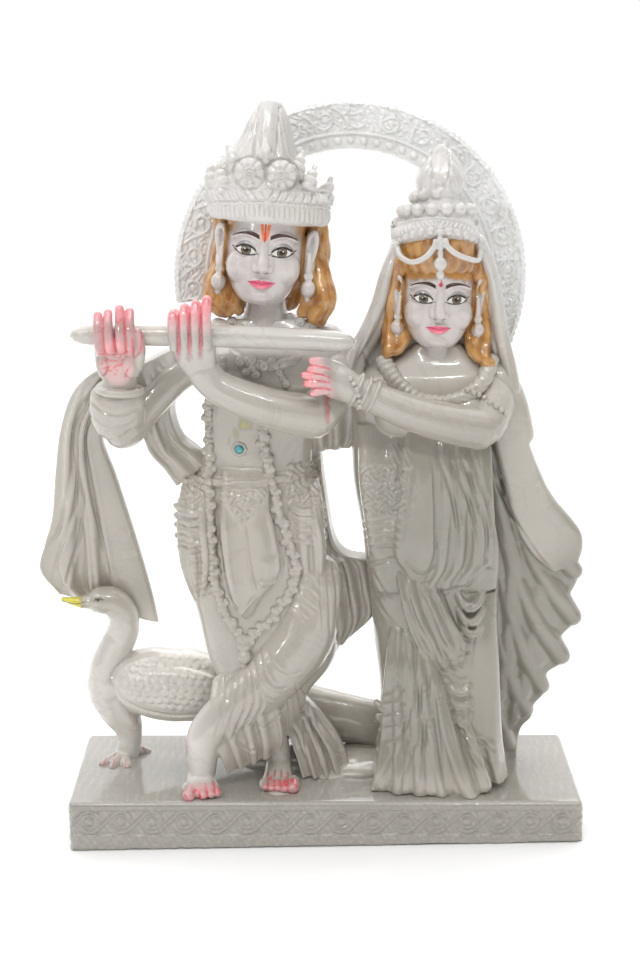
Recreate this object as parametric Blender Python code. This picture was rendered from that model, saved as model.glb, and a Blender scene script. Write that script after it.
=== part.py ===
"""A flute player and a companion with a swan under an arch, carved from one block of white marble."""

import math

import bpy
import numpy as np
from mathutils import Vector
from mathutils.bvhtree import BVHTree

# Driving sizes of the block, in metres
STATUE_HEIGHT = 0.457
PLINTH_LENGTH = 0.322
PLINTH_DEPTH = 0.108
PLINTH_LEFT_HEIGHT = 0.033
PLINTH_RIGHT_HEIGHT = 0.0275
PLINTH_EDGE = 0.0035
ARCH_OUTER_RADIUS = 0.1095
ARCH_BAND_WIDTH = 0.030
ARCH_THICKNESS = 0.014
FLUTE_RADIUS = 0.0060

# The stone set in the navel, in metres
STONE_DIAMETER = 0.0052
STONE_HEIGHT = 0.0016
STONE_CLEARANCE = 0.0004
STONE_SIDES = 16

# The band carved along the plinth's front, in metres
BAND_HEIGHT = 0.0172
BAND_TOP_MARGIN = 0.0048
BAND_DEPTH = 0.0012
BAND_RINGS = 16
STRAND_WIDTH = 0.0022

# How finely the block is skinned, and how many triangles are kept
VOXEL = 0.0018
KEPT_TRIANGLES = 8300

# The figures are shares of the statue's height: their tables are in millimetres from the floor, drawn for
# a statue 457 mm tall whose plinth is 30 mm thick in the middle.
DRAWN_HEIGHT = 457.0
DRAWN_PLINTH = 30.0
PLINTH_HEIGHT = (PLINTH_LEFT_HEIGHT + PLINTH_RIGHT_HEIGHT) / 2
SHARE = (STATUE_HEIGHT - PLINTH_HEIGHT) / (DRAWN_HEIGHT - DRAWN_PLINTH)
HALF_TURN = math.pi


def plinth_top(x):
    """How high the plinth's top is at x: it falls a little from left to right."""
    share = x / PLINTH_LENGTH + 0.5
    return PLINTH_LEFT_HEIGHT + (PLINTH_RIGHT_HEIGHT - PLINTH_LEFT_HEIGHT) * share


def placed(points):
    """Points of the drawing, in millimetres, as points of the block, in metres."""
    points = np.array(points, float) * SHARE
    points[..., 2] += PLINTH_HEIGHT - DRAWN_PLINTH * SHARE
    return points


def drawn(length):
    """A length in metres as a length of the drawing, in millimetres."""
    return length / SHARE


def unit(vectors):
    return vectors / np.maximum(np.linalg.norm(vectors, axis=-1, keepdims=True), 1e-9)


def smoothstep(low, high, value):
    share = np.clip((value - low) / (high - low), 0.0, 1.0)
    return share * share * (3 - 2 * share)


def spline(rows, steps):
    """A Catmull-Rom curve through rows of any width, with that many steps from row to row."""
    rows = np.array(rows, float)
    padded = np.vstack([2 * rows[0] - rows[1], rows, 2 * rows[-1] - rows[-2]])
    share = np.linspace(0, 1, steps, endpoint=False)[:, None]
    found = []
    for before, start, end, after in zip(padded, padded[1:], padded[2:], padded[3:]):
        found.append(
            0.5
            * (
                2 * start
                + (end - before) * share
                + (2 * before - 5 * start + 4 * end - after) * share**2
                + (3 * start - before - 3 * end + after) * share**3
            )
        )
    return np.vstack([*found, rows[-1:]])


def turned(points, centre, roll=0.0, yaw=0.0, pitch=0.0):
    """Points turned about centre: roll tips them to the right, seen from the front, and pitch nods them."""
    roll, yaw, pitch = (math.radians(angle) for angle in (roll, yaw, pitch))
    cos, sin = math.cos(roll), math.sin(roll)
    about_y = np.array([[cos, 0, sin], [0, 1, 0], [-sin, 0, cos]])
    cos, sin = math.cos(yaw), math.sin(yaw)
    about_z = np.array([[cos, -sin, 0], [sin, cos, 0], [0, 0, 1]])
    cos, sin = math.cos(pitch), math.sin(pitch)
    about_x = np.array([[1, 0, 0], [0, cos, -sin], [0, sin, cos]])
    return (np.asarray(points, float) - centre) @ (about_y @ about_z @ about_x).T + centre


class Clay:
    """Closed shapes in millimetres of the drawing, laid over each other and then fused into one skin."""

    def __init__(self):
        self.points = []
        self.faces = []
        self.count = 0
        self.move = None

    def put(self, points, faces):
        if self.move:
            points = self.move(points)
        self.points.append(points)
        self.faces += [tuple(self.count + i for i in face) for face in faces]
        self.count += len(points)

    def rings(self, rings):
        """A closed skin over rings of points, with a point in the middle of each end."""
        many, sides = rings.shape[:2]
        points = np.vstack([rings.reshape(-1, 3), rings[0].mean(0), rings[-1].mean(0)])
        faces = []
        for side in range(sides):
            after = (side + 1) % sides
            for ring in range(many - 1):
                low, high = ring * sides, (ring + 1) * sides
                faces.append((low + side, low + after, high + after, high + side))
            last = (many - 1) * sides
            faces.append((many * sides, after, side))
            faces.append((many * sides + 1, last + side, last + after))
        self.put(points, faces)

    def limb(self, *rows, steps=5, sides=18, side=None):
        """A round-ended limb through rows of x, y, z, half its width and half its depth."""
        rows = spline(rows, steps)
        along = unit(np.gradient(rows[:, :3], axis=0))
        across = np.cross(along, (0, 1, 0))
        if side is not None:
            across = side - along * (along @ np.array(side))[:, None]
        across = unit(across)
        deep = np.cross(across, along)
        turn = np.linspace(0, 2 * HALF_TURN, sides, endpoint=False)
        made = []
        for end, way in ((0, -1), (None, 0), (-1, 1)):
            if end is None:
                kept, tip = range(len(rows)), [(0.0, 1.0)]
            else:
                kept = [end]
                tip = [(math.sin(a), math.cos(a)) for a in (1.45, 1.15, 0.8, 0.4)][::-way]
            for k in kept:
                x, y, z, wide, thick = rows[k]
                for forward, shrink in tip:
                    centre = np.array([x, y, z]) + along[k] * forward * way * min(wide, thick)
                    made.append(
                        centre
                        + across[k] * (wide * shrink) * np.cos(turn)[:, None]
                        + deep[k] * (thick * shrink) * np.sin(turn)[:, None]
                    )
        self.rings(np.array(made))

    def mass(self, *rows, power=2.4, steps=4, sides=40):
        """A body through level rows of z, left, right, front and back."""
        rows = spline(rows, steps)
        turn = np.linspace(0, 2 * HALF_TURN, sides, endpoint=False)
        wave_x = np.sign(np.cos(turn)) * np.abs(np.cos(turn)) ** (2 / power)
        wave_y = np.sign(np.sin(turn)) * np.abs(np.sin(turn)) ** (2 / power)
        z, left, right, front, back = (rows[:, k, None] for k in range(5))
        x = (left + right) / 2 + (right - left) / 2 * wave_x
        y = (front + back) / 2 + (back - front) / 2 * wave_y
        self.rings(np.stack([x, y, np.broadcast_to(z, x.shape)], -1))

    def ball(self, centre, radii, roll=0.0, yaw=0.0, pitch=0.0, sides=18):
        radii = np.broadcast_to(radii, 3)
        tilt = np.linspace(-HALF_TURN / 2, HALF_TURN / 2, sides // 2 + 1)[1:-1, None]
        turn = np.linspace(0, 2 * HALF_TURN, sides, endpoint=False)
        shape = np.stack(
            [np.cos(tilt) * np.cos(turn), np.cos(tilt) * np.sin(turn), np.sin(tilt) + 0 * turn], -1
        )
        self.rings(turned(shape * radii, np.zeros(3), roll, yaw, pitch) + centre)

    def drape(self, *rows, folds=4.0, phase=0.0, steps=6, columns=56, sharp=1.6, flat_from=1.0):
        """Hanging cloth through rows of left x, left z, right x, right z, y at the left, y at the right,
        half its thickness and how deep its folds are. Past the share flat_from of its width it is flat."""
        rows = spline(rows, steps)
        u = np.linspace(0, 1, columns)
        columns_of = (rows[:, k, None] for k in range(8))
        left_x, left_z, right_x, right_z, left_y, right_y, thick, deep = columns_of
        wave = np.cos(2 * HALF_TURN * folds * u + phase)
        wave = np.sign(wave) * np.abs(wave) ** (1 / sharp)
        wave = wave * (1 - smoothstep(flat_from - 0.12, flat_from + 0.04, u)) if flat_from < 1 else wave
        x = left_x + (right_x - left_x) * u
        z = left_z + (right_z - left_z) * u
        y = left_y + (right_y - left_y) * u - deep * wave
        half = thick * np.sqrt(1 - 0.96 * np.abs(2 * u - 1) ** 6)
        front = np.stack([x, y - half, z], -1)
        back = np.stack([x, y + half, z], -1)[:, ::-1]
        self.rings(np.concatenate([front, back], 1))

    def hoop(self, centre, radii, thick, roll=0.0, yaw=0.0, pitch=0.0, around=36, sides=8):
        """A ring lying level round centre, then tipped: its two radii, and how thick its bar is."""
        turn = np.linspace(0, 2 * HALF_TURN, around, endpoint=False)
        turn_bar = np.linspace(0, 2 * HALF_TURN, sides, endpoint=False)
        bar = np.cos(turn_bar)[None, :] * thick
        x = (radii[0] + bar) * np.cos(turn)[:, None]
        y = (radii[1] + bar) * np.sin(turn)[:, None]
        z = np.broadcast_to(np.sin(turn_bar) * thick, x.shape)
        points = turned(np.stack([x, y, z], -1), np.zeros(3), roll, yaw, pitch) + centre
        faces = []
        for ring in range(around):
            after = (ring + 1) % around
            for side in range(sides):
                beside = (side + 1) % sides
                here, there = ring * sides, after * sides
                faces.append((here + side, there + side, there + beside, here + beside))
        self.put(points.reshape(-1, 3), faces)

    def fused(self, name, voxel, smoothings):
        """One closed skin round everything laid down so far, as an object in metres."""
        mesh = bpy.data.meshes.new(name)
        mesh.from_pydata(placed(np.vstack(self.points)), [], self.faces)
        block = bpy.data.objects.new(name, mesh)
        bpy.context.scene.collection.objects.link(block)
        remesh = block.modifiers.new("skin", "REMESH")
        remesh.mode = "VOXEL"
        remesh.voxel_size = voxel
        remesh.use_smooth_shade = True
        smooth = block.modifiers.new("rub down", "SMOOTH")
        smooth.factor = 0.5
        smooth.iterations = smoothings
        frozen(block)
        return block


def frozen(block):
    """Turns an object's modifiers into its own mesh."""
    graph = bpy.context.evaluated_depsgraph_get()
    made = bpy.data.meshes.new_from_object(block.evaluated_get(graph))
    block.modifiers.clear()
    block.data = made
    return block


class Chisel:
    """Cuts and raises the skin of a block with strokes drawn in the front view, in millimetres."""

    def __init__(self, block):
        self.block = block
        mesh = block.data
        self.points = np.empty(len(mesh.vertices) * 3, np.float32)
        mesh.vertices.foreach_get("co", self.points)
        self.points = self.points.reshape(-1, 3).astype(float)
        self.normals = np.empty(len(mesh.vertices) * 3, np.float32)
        mesh.vertices.foreach_get("normal", self.normals)
        self.normals = self.normals.reshape(-1, 3)
        self.seen = self.points / SHARE
        self.seen[:, 2] += DRAWN_PLINTH - PLINTH_HEIGHT / SHARE
        self.cut = np.zeros(len(self.points))

    def facing(self, picked):
        """How squarely the skin faces the front."""
        return smoothstep(0.05, 0.45, -self.normals[picked, 1])

    def near(self, low, high, margin, depth):
        x, y, z = self.seen.T
        inside = (x > low[0] - margin) & (x < high[0] + margin)
        inside &= (z > low[1] - margin) & (z < high[1] + margin)
        return np.nonzero(inside & (y > depth[0]) & (y < depth[1]))[0]

    def stroke(self, path, width, height, depth=(-60, 60), steps=4, taper=True):
        """A ridge, or a groove where height is negative, along a path of x and z."""
        path = spline(path, steps)
        picked = self.near(path.min(0), path.max(0), width, depth)
        if not len(picked):
            return
        spots = self.seen[picked][:, [0, 2]]
        best = np.full(len(picked), 1e9)
        share = np.zeros(len(picked))
        for k, (start, end) in enumerate(zip(path, path[1:])):
            run = end - start
            t = np.clip(((spots - start) @ run) / max(run @ run, 1e-9), 0, 1)
            away = np.linalg.norm(spots - start - t[:, None] * run, axis=1)
            closer = away < best
            best[closer] = away[closer]
            share[closer] = (k + t[closer]) / (len(path) - 1)
        profile = np.cos(np.clip(best / width, 0, 1) * HALF_TURN / 2) ** 2
        if taper:
            profile = profile * smoothstep(0, 0.18, share) * smoothstep(0, 0.18, 1 - share)
        self.cut[picked] += height * profile * self.facing(picked)

    def done(self):
        moved = self.points + self.normals * (self.cut * SHARE)[:, None]
        self.block.data.vertices.foreach_set("co", moved.astype(np.float32).ravel())
        self.block.data.update()
        return self.block


# Where each head sits: its middle, how far it leans to the right, turns and nods, and its size
FIRST_HEAD = ((-31.0, 0.0, 368.0), 6.0, 0.0, 2.0, 1.0)
SECOND_HEAD = ((73.5, 2.0, 337.5), 3.0, 0.0, 3.0, 0.93)


def in_head(head):
    """Moves points from a head's own frame, upright round its middle, into the drawing."""
    centre, roll, yaw, pitch, size = head
    return lambda points: turned(np.asarray(points, float) * size, np.zeros(3), roll, yaw, pitch) + centre


def carve_face(clay, head):
    """A calm, even face: chin at -30, hairline at 30, the eyes a little above the middle."""
    clay.move = in_head(head)
    clay.mass(
        (-30.5, -4, 4, -18, -8),
        (-28, -9.5, 9.5, -21.5, -2),
        (-23, -14.5, 14.5, -22.5, 8),
        (-15, -19.5, 19.5, -22.5, 14),
        (-5, -23, 23, -22.5, 19),
        (6, -24, 24, -21.5, 25),
        (17, -24.5, 24.5, -21.5, 28),
        (28, -23, 23, -18.5, 28),
        (36, -19, 19, -11, 25),
        (42, -11, 11, -3, 17),
        (44, -3, 3, 4, 9),
        power=2.1,
    )
    clay.limb((0, -20.5, 9, 2.6, 2.4), (0, -24, 2, 2.6, 2.6), (0, -27, -5, 3.4, 3), steps=4, sides=14)
    clay.ball((0, -26, -7), (3.6, 3.4, 3.2), sides=14)
    clay.ball((0, -19.5, -25), (7, 5, 5))
    for side in (-1, 1):
        clay.ball((side * 3.9, -23, -7.6), (2.7, 3.2, 2.3), sides=14)
        clay.ball((side * 12, -15.5, -8), (8.5, 7.5, 8))
        clay.ball((side * 10.4, -16.6, 2.6), (7.6, 6, 5), sides=20)
        clay.limb(
            (side * 19, -15, 9.5, 1.6, 1.6),
            (side * 11, -20, 13.4, 2, 1.8),
            (side * 3, -20.6, 10, 1.6, 1.6),
            steps=4,
            sides=12,
        )
        clay.limb(
            (side * 8.4, -20, -14.8, 0.8, 0.8),
            (side * 3.4, -23, -13.4, 1.7, 1.7),
            (0, -23.6, -14.4, 1.6, 1.6),
            steps=4,
            sides=12,
        )
    clay.limb((-6, -21, -17, 1, 1), (0, -23.2, -18.4, 2.3, 2), (6, -21, -17, 1, 1), steps=5, sides=12)
    clay.move = None


def carve_ears(clay, head, drop):
    """Long ears, each with a drop hanging from its lobe."""
    clay.move = in_head(head)
    for side in (-1, 1):
        clay.ball((side * 26.5, -7, 4), (3.8, 5, 10), roll=side * 6)
        clay.limb((side * 26.5, -7, 0, 3, 3), (side * 26, -8, -12, 2.8, 2.4), steps=3, sides=12)
        clay.ball((side * 26, -8, -14 - drop), (3.9, 3.9, drop))
        clay.ball((side * 26, -8, -16 - 2 * drop), (1.8, 1.8, 2))
    clay.move = None


def carve_locks(clay, locks, width):
    """Wavy hair: a thick strand along each path of x, y, z."""
    for lock in locks:
        shares = (1.0, 0.9, 0.9, 1.05, 0.7)
        rows = [(*spot, width * share, width * share) for spot, share in zip(lock, shares)]
        clay.limb(*rows, steps=4, sides=12)


FIRST_LOCKS = (
    ((-53, 7, 392), (-54.5, 6, 376), (-55.5, 5, 361), (-61, 2, 347), (-60, -2, 336)),
    ((-3, 7, 388), (1, 6, 373), (1, 5, 358), (1.5, 2, 345), (1, -2, 331)),
    ((-44, 12, 350), (-46, 10, 340), (-50, 5, 334), (-53, 1, 333), (-56, -2, 333)),
    ((-14, 12, 350), (-12, 10, 340), (-9, 5, 333), (-7, 1, 331), (-4, -2, 329)),
)
SECOND_LOCKS = (
    ((52, -4, 362), (46.5, -1, 347), (44.5, 1, 331), (43, -1, 315), (42.5, -5, 307)),
    ((95, -4, 361), (100.5, -1, 346), (101.5, 1, 329), (101.5, -1, 312), (101.5, -5, 301)),
    ((52, -3, 318), (50, -4, 312), (47, -5, 308), (44, -5, 306), (41, -6, 305)),
    ((92, -3, 316), (94, -4, 309), (97, -5, 304), (100, -5, 301), (103, -6, 299)),
)


def carve_first_crown(clay):
    """A broad banded rim with a flame at each end, rosettes over it and a tall plume that leans back."""
    clay.mass(
        (385, -60, 4, -24, 30),
        (393, -64.2, 8.6, -30, 31),
        (401, -63.8, 8.4, -31, 31),
        (406, -63.2, 2.0, -29, 30),
        (411, -62.6, -4.2, -27, 29),
        (416, -60.6, -7.6, -25, 27),
        (421, -57.0, -9.8, -22, 25),
        (428, -49.8, -11.6, -18.5, 22),
        (436, -43.0, -12.8, -14.5, 17),
        (444, -38.8, -14.4, -11.5, 12),
        (450, -35.0, -16.8, -9, 7),
        (455, -31.6, -19.4, -7, 3),
        (457.4, -29.5, -21.5, -5.5, 1),
        power=2.2,
    )
    clay.hoop((-28, 0.5, 388.8), (37, 31), 2.4, roll=6, pitch=-14)
    clay.hoop((-27.6, 0.5, 397), (37.6, 31.5), 1.5, roll=6, pitch=-14)
    clay.limb((3, -2, 394, 6, 6), (5.4, -3, 400, 5.6, 5), (8.4, -4, 405.6, 3.4, 3), (9.8, -4, 410.6, 1, 1.4))
    clay.limb((-60, -2, 402, 6, 6), (-61, -3, 410, 5, 5), (-61.5, -3, 416, 3, 3), (-60.8, -3, 420, 1, 1.4))
    for x, z in ((-41.5, 412.5), (-19.5, 410.5)):
        clay.ball((x, -24.5, z), (9, 5, 8.5), pitch=12)
        clay.hoop((x, -28.6, z), (5.8, 5.8), 1.3, pitch=102)
        clay.ball((x, -29.6, z), (2.6, 2.4, 2.6), sides=12)
    clay.limb((-30.5, -24, 405, 4, 3), (-30, -23, 415, 4.5, 3.4), (-29, -18, 426, 2.4, 2))
    knob = ((-27.6, -17, 428, 5, 4), (-27.2, -13, 438, 5.4, 4.6), (-26.4, -8, 450, 4.6, 4), (-26, -5, 455, 4, 3))
    clay.limb(*knob)


def carve_second_crown(clay):
    """A rim that rises over the forehead, a ring of balls on its slope and a plume shaped like a bud."""
    clay.mass(
        (361, 50, 99, -17, 34),
        (368, 47, 100, -21, 34),
        (376, 45.6, 99.8, -23.5, 33),
        (382, 45.6, 98.6, -24, 32),
        (386, 49, 96, -22.5, 30),
        (390, 55, 92.6, -19, 27),
        (395, 60, 89, -15.5, 23),
        (399, 62.6, 88, -13, 20),
        (404, 60.8, 90, -13.5, 19),
        (409, 60.4, 90, -13, 18),
        (414, 61.6, 88.2, -11.5, 15),
        (420, 65.8, 85, -8.5, 11),
        (425.4, 69.6, 81, -5.5, 6),
        (429.4, 73.6, 77.2, -3, 2),
        power=2.2,
    )
    clay.hoop((72.6, 2.5, 381), (26.2, 26.6), 1.7, roll=2.5, pitch=-14)
    for angle in range(-72, 73, 24):
        turn = math.radians(angle)
        clay.ball((73 + 19 * math.sin(turn), 2 - 19 * math.cos(turn), 391.5), (3.8, 3.6, 3.8), sides=12)
    clay.ball((72.6, -25, 361), (4.4, 3.4, 6))


def carve_first_figure(clay):
    """The flute player, standing with one leg crossed over the other."""
    clay.mass(
        (58, -48, -18, -15, 12),
        (74, -56, -14, -22, 16),
        (88, -64, -8, -25, 19),
        (102, -70, 4, -26, 21),
        (114, -74, 9, -26, 22),
        (132, -78, 9, -26, 24),
        (159, -83, 6, -26, 27),
        (183, -86, 1, -25, 28),
        (206, -87, -3, -23, 28),
        (222, -82, -4, -21, 27),
        (236, -74, -4, -17, 24),
        (257, -70, -2, -18, 23),
        (276, -69, 6, -20, 24),
        (292, -71, 14, -21, 24),
        (304, -73, 17, -19, 23),
        (313, -69, 15, -15, 21),
        (320, -62, 6, -11, 18),
        (327, -52, -6, -8, 16),
    )
    clay.ball((-48, -12, 288), (17, 10, 13))
    clay.ball((-14, -12, 288), (17, 10, 13))
    clay.ball((-42, -10, 250), (21, 12, 17))
    clay.limb((-32, 5, 312, 19, 15), (-31.5, 4, 324, 15, 14), (-31, 3, 334, 12.5, 13), (-31, 3, 344, 12.5, 13))
    # the arm on the left, bent up to the flute
    clay.limb((-68, 6, 302, 13, 13), (-86, 1, 294, 12, 12), (-104, -9, 278, 12, 12), (-117, -20, 265, 12.5, 12))
    clay.limb((-118, -21, 264, 13, 12), (-120, -26, 276, 12.5, 12), (-119, -30, 292, 10.5, 10), (-118, -33, 302, 11, 9))
    clay.hoop((-118.5, -30.5, 290), (12.5, 11.5), 2.8, roll=4)
    clay.mass(
        (296, -128, -109, -39, -27),
        (303, -131, -106, -42, -28),
        (312, -132, -105, -43, -29),
        (320, -131.5, -105.5, -42, -30),
        (326, -130, -107, -40, -32),
    )
    for x, tip, bow in ((-127.6, 339.5, 0), (-121.4, 341, 0.8), (-114.6, 343.5, 0.8), (-108.8, 341.5, 0)):
        clay.limb(
            (x * 0.97 - 3.5, -41, 314, 3.3, 3),
            (x, -48 - bow, 322, 3.3, 3),
            (x, -49 - bow, 331, 3.1, 3),
            (x, -45 - bow, tip - 2, 2.8, 2.8),
            steps=4,
            sides=12,
        )
    clay.limb((-107.5, -40, 309, 3.6, 3.6), (-104.8, -45, 320, 3.4, 3.2), (-105.5, -47, 330, 2.7, 2.7), sides=12)
    # the arm on the right, folded across the chest to the flute
    clay.limb((-2, 4, 302, 14, 13), (8, -4, 294, 13.5, 13), (8, -14, 283, 13.5, 13), (-1, -24, 272, 13.5, 13))
    clay.limb(
        (-3, -25, 270.5, 14, 13),
        (-22, -31, 275.5, 12.5, 12),
        (-42, -34, 283, 11.5, 11),
        (-60, -34, 292, 10, 9.5),
        (-68, -35, 301, 10, 9),
    )
    clay.mass(
        (298, -77, -58, -41, -28),
        (306, -83, -60, -44, -30),
        (314, -86, -60, -46, -32),
        (322, -87.5, -60.5, -48, -33),
        (328, -87, -61, -48, -36),
    )
    for x, tip in ((-84, 341), (-77.8, 344), (-71.2, 346), (-64.8, 348.5)):
        clay.limb(
            (x * 0.98 - 1.5, -44, 318, 3.5, 3.2),
            (x, -49.5, 327, 3.4, 3.2),
            (x, -49.5, 336, 3.2, 3),
            (x + 0.8, -45.5, tip - 2.5, 2.9, 2.8),
            steps=4,
            sides=12,
        )
    # the leg that stands, and the leg that crosses it
    clay.limb((-56, 0, 120, 20, 19), (-42, -2, 84, 15, 14), (-33, -8, 56, 9.5, 9.5), (-30, -9, 40, 8.5, 9))
    clay.limb(
        (-30, -8, 37, 8.5, 8),
        (-30, -19, 35.5, 9, 6.6),
        (-30, -29, 33.5, 10.5, 5),
        (-30, -35, 32.5, 10, 3.6),
        side=(1, 0, 0),
    )
    clay.limb(
        (-6, -6, 160, 20, 20),
        (-14, -16, 126, 21, 18),
        (-38, -23, 98, 18, 15),
        (-60, -25, 80, 15, 13),
        (-74, -27, 66, 12.5, 11),
        (-77.5, -29, 54, 10.5, 10),
        (-78, -30, 43, 9, 9),
    )
    clay.limb(
        (-79, -28, 42, 8, 8),
        (-79.5, -33, 38.5, 8.6, 6.4),
        (-77.5, -40, 35.5, 10, 4.6),
        (-76.5, -44, 33.5, 9.4, 3.4),
        side=(1, 0, 0),
    )
    for x, size, reach in ((-38, 2.3, 0), (-34, 2.5, 1.5), (-30, 2.6, 2.2), (-26, 2.7, 2.4), (-21.4, 3.3, 2)):
        clay.limb((x, -32, 34.5, size, size), (x, -37 - reach, 33, size, size * 0.9), steps=3, sides=12)
    for x, size, reach in ((-86, 2.3, 0), (-82.5, 2.5, 1.6), (-78.6, 2.6, 2.6), (-74.6, 2.7, 2.8), (-69.8, 3.3, 2.4)):
        clay.limb((x, -41, 35.5, size, size), (x - 0.5, -46 - reach, 33.5, size, size * 0.9), steps=3, sides=12)
    # cloth: the hem bunched below the calf, and a fan of folds behind the heel
    clay.drape(
        (-72, 84, -34, 98, -30, -24, 6, 1),
        (-71, 70, -28, 82, -30, -24, 8, 2),
        (-66, 52, -26, 64, -28, -22, 8, 2.6),
        (-62, 40, -28, 52, -26, -20, 6, 2.6),
        folds=4,
    )
    clay.drape(
        (-34, 84, -15, 82, -6, 4, 8, 1),
        (-26, 68, -1, 66, -6, 6, 9, 2),
        (-19, 46, 11, 48, -10, 4, 9, 3),
        (-15, 31, 18, 29, -14, -4, 8, 3),
        folds=4,
    )


def carve_sashes(clay):
    """The tongue of cloth down the front of the skirt, the sashes at its sides and the belt."""
    clay.hoop((-44, 3, 229), (36, 25), 3.2, roll=-2, around=44)
    clay.drape(
        (-58, 226, -31, 226, -24, -22, 4, 0.6),
        (-59, 208, -32, 208, -27, -25, 4, 1),
        (-59, 186, -33, 190, -29, -27, 4.4, 1.2),
        (-55, 162, -35, 170, -30, -28, 4.4, 1.2),
        (-49, 146, -40, 152, -30, -29, 4, 0.8),
        folds=3,
    )
    for left, right, high, low, front in ((-86, -68, 208, 168, -19), (-20, 3, 208, 168, -19)):
        clay.drape(
            (left, high + 6, right, high + 6, front + 4, front - 2, 6, 0.8),
            (left - 1, high - 12, right + 1, high - 12, front + 2, front - 4, 7, 1.4),
            (left + 2, low - 4, right + 2, low - 4, front + 4, front - 2, 7, 1.2),
            folds=2,
        )
    # the sash that hangs between the two figures
    clay.drape(
        (-16, 262, 3, 262, 2, 8, 6, 0.6),
        (-14, 240, 2, 240, 2, 10, 6, 1),
        (-12, 212, 5, 211, 2, 12, 6, 1.2),
        (-10, 188, 9, 186, 0, 13, 6.4, 1.6),
        (-8, 176, 16, 174, 0, 14, 6.6, 2),
        (-6, 167, 31, 168, 0, 16, 6.6, 2),
        (-2, 146, 35, 152, 0, 14, 6.6, 2.2),
        (2, 124, 36, 134, 2, 14, 6.4, 2),
        (4, 106, 20, 120, 4, 10, 5, 1.4),
        folds=3.5,
    )
    # the folds that fall from the folded elbow, over the top of the gap between the figures
    clay.drape(
        (-8, 276, 24, 276, -2, 6, 7, 0.6),
        (-10, 262, 24, 262, 0, 8, 7, 1.4),
        (-8, 250, 23, 250, 2, 9, 6.4, 1.8),
        (-6, 242, 20, 243, 4, 10, 5.4, 1.4),
        folds=3,
        phase=0.8,
    )


GARLAND = (
    (-63, -22, 276),
    (-68, -20, 250),
    (-72, -21, 219),
    (-73, -24, 183),
    (-69, -28, 150),
    (-59, -31, 131),
    (-46, -32, 119),
    (-35, -32, 121),
    (-22, -30, 141),
    (-13, -27, 164),
    (-13, -24, 188),
    (-20, -24, 214),
    (-27, -22, 242),
    (-33, -24, 266),
)


def carve_garland(clay, path, thick):
    clay.limb(*((x, y, z, thick, thick) for x, y, z in path), steps=5, sides=10)


def carve_scarf(clay):
    """The scarf wound over the raised forearm: one end hangs to the left, the other runs in to the waist."""
    clay.drape(
        (-127, 303, -108, 300, -18, -12, 7, 0.6),
        (-140, 295, -114, 288, -12, -8, 8, 1.6),
        (-152, 281, -124, 272, -3, -4, 8, 2.4),
        (-161, 257, -134, 254, 5, 3, 7, 2.4),
        (-166.5, 229, -128, 227, 12, 10, 6.4, 2.4),
        (-171, 199, -121, 196, 18, 17, 6, 2.6),
        (-177, 180, -115, 168, 22, 22, 6, 3.0),
        (-182, 161, -110, 142, 25, 26, 5.4, 3.6),
        (-171, 143, -107, 122, 28, 28, 4.6, 3.0),
        folds=4,
        phase=0.6,
        flat_from=0.68,
        columns=72,
    )
    # the turn of cloth round the forearm
    clay.limb(
        (-119, -20, 262, 13, 12),
        (-120.5, -22, 268, 16, 14.5),
        (-121, -25, 277, 17, 14.5),
        (-121, -27, 284, 16.4, 13.4),
        steps=4,
    )
    clay.drape(
        (-122, 296, -74, 316, -12, 4, 9, 0.8),
        (-118, 284, -80, 302, -10, 6, 10, 1.6),
        (-114, 270, -86, 286, -6, 8, 9, 2.2),
        (-110, 256, -89, 269, -2, 9, 8, 2.2),
        (-105, 243, -85, 254, 1, 8, 7.4, 1.8),
        (-97, 233, -76, 246, 2, 6, 7.4, 1.4),
        (-90, 222, -66, 238, 2, 4, 7, 1),
        folds=2.5,
    )
    clay.drape(
        (-14, 326, 12, 320, 0, 4, 7, 0.8),
        (-8, 316, 20, 310, 0, 4, 8, 1),
        (-2, 302, 22, 294, -4, -2, 8, 1.4),
        (2, 284, 20, 280, -10, -8, 8, 1),
        folds=2.5,
    )


def carve_flute(clay):
    thick = drawn(FLUTE_RADIUS)
    clay.limb(
        (-143, -39, 325, thick * 0.62, thick * 0.62),
        (-138, -39, 325, thick * 0.85, thick * 0.85),
        (-128, -39, 325.2, thick, thick),
        (-60, -38, 323, thick * 1.1, thick * 1.1),
        (-10, -37, 320, thick * 1.1, thick * 1.1),
        (12, -36, 318, thick, thick),
        (17, -36, 317.6, thick * 0.8, thick * 0.8),
        steps=4,
        sides=20,
    )


def carve_arch(clay):
    """The half ring behind both heads, with a rim round each edge and raised cells between them."""
    outer = drawn(ARCH_OUTER_RADIUS)
    inner = outer - drawn(ARCH_BAND_WIDTH)
    half = drawn(ARCH_THICKNESS) / 2
    profile = (
        (inner, -half * 0.6),
        (inner + 1.5, -half * 1.1),
        (inner + 5, -half * 1.1),
        (inner + 6, -half * 0.75),
        (inner + 8, -half * 1.25),
        (inner + 10.5, -half * 1.25),
        (inner + 12, -half * 0.8),
        (outer - 3, -half * 0.8),
        (outer - 2, -half * 1.1),
        (outer, -half * 0.6),
        (outer, half * 0.7),
        (outer - 2, half),
        (inner + 2, half),
        (inner, half * 0.7),
    )
    rings = []
    for angle in np.radians(np.linspace(ARCH_FROM, ARCH_TO, 73)):
        rings.append([(ARCH_X + r * math.cos(angle), ARCH_Y + y, ARCH_Z + r * math.sin(angle)) for r, y in profile])
    clay.rings(np.array(rings))
    for angle in np.radians(np.arange(ARCH_FROM + 7.5, ARCH_TO, 15)):
        x = ARCH_X + (outer - 9) * math.cos(angle)
        z = ARCH_Z + (outer - 9) * math.sin(angle)
        clay.ball((x, ARCH_Y - half * 0.8, z), (5.5, 2.6, 5.5), sides=14)


ARCH_X = 21.0
ARCH_Y = 34.0
ARCH_Z = 345.5
ARCH_FROM = -28.0
ARCH_TO = 187.0


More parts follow.
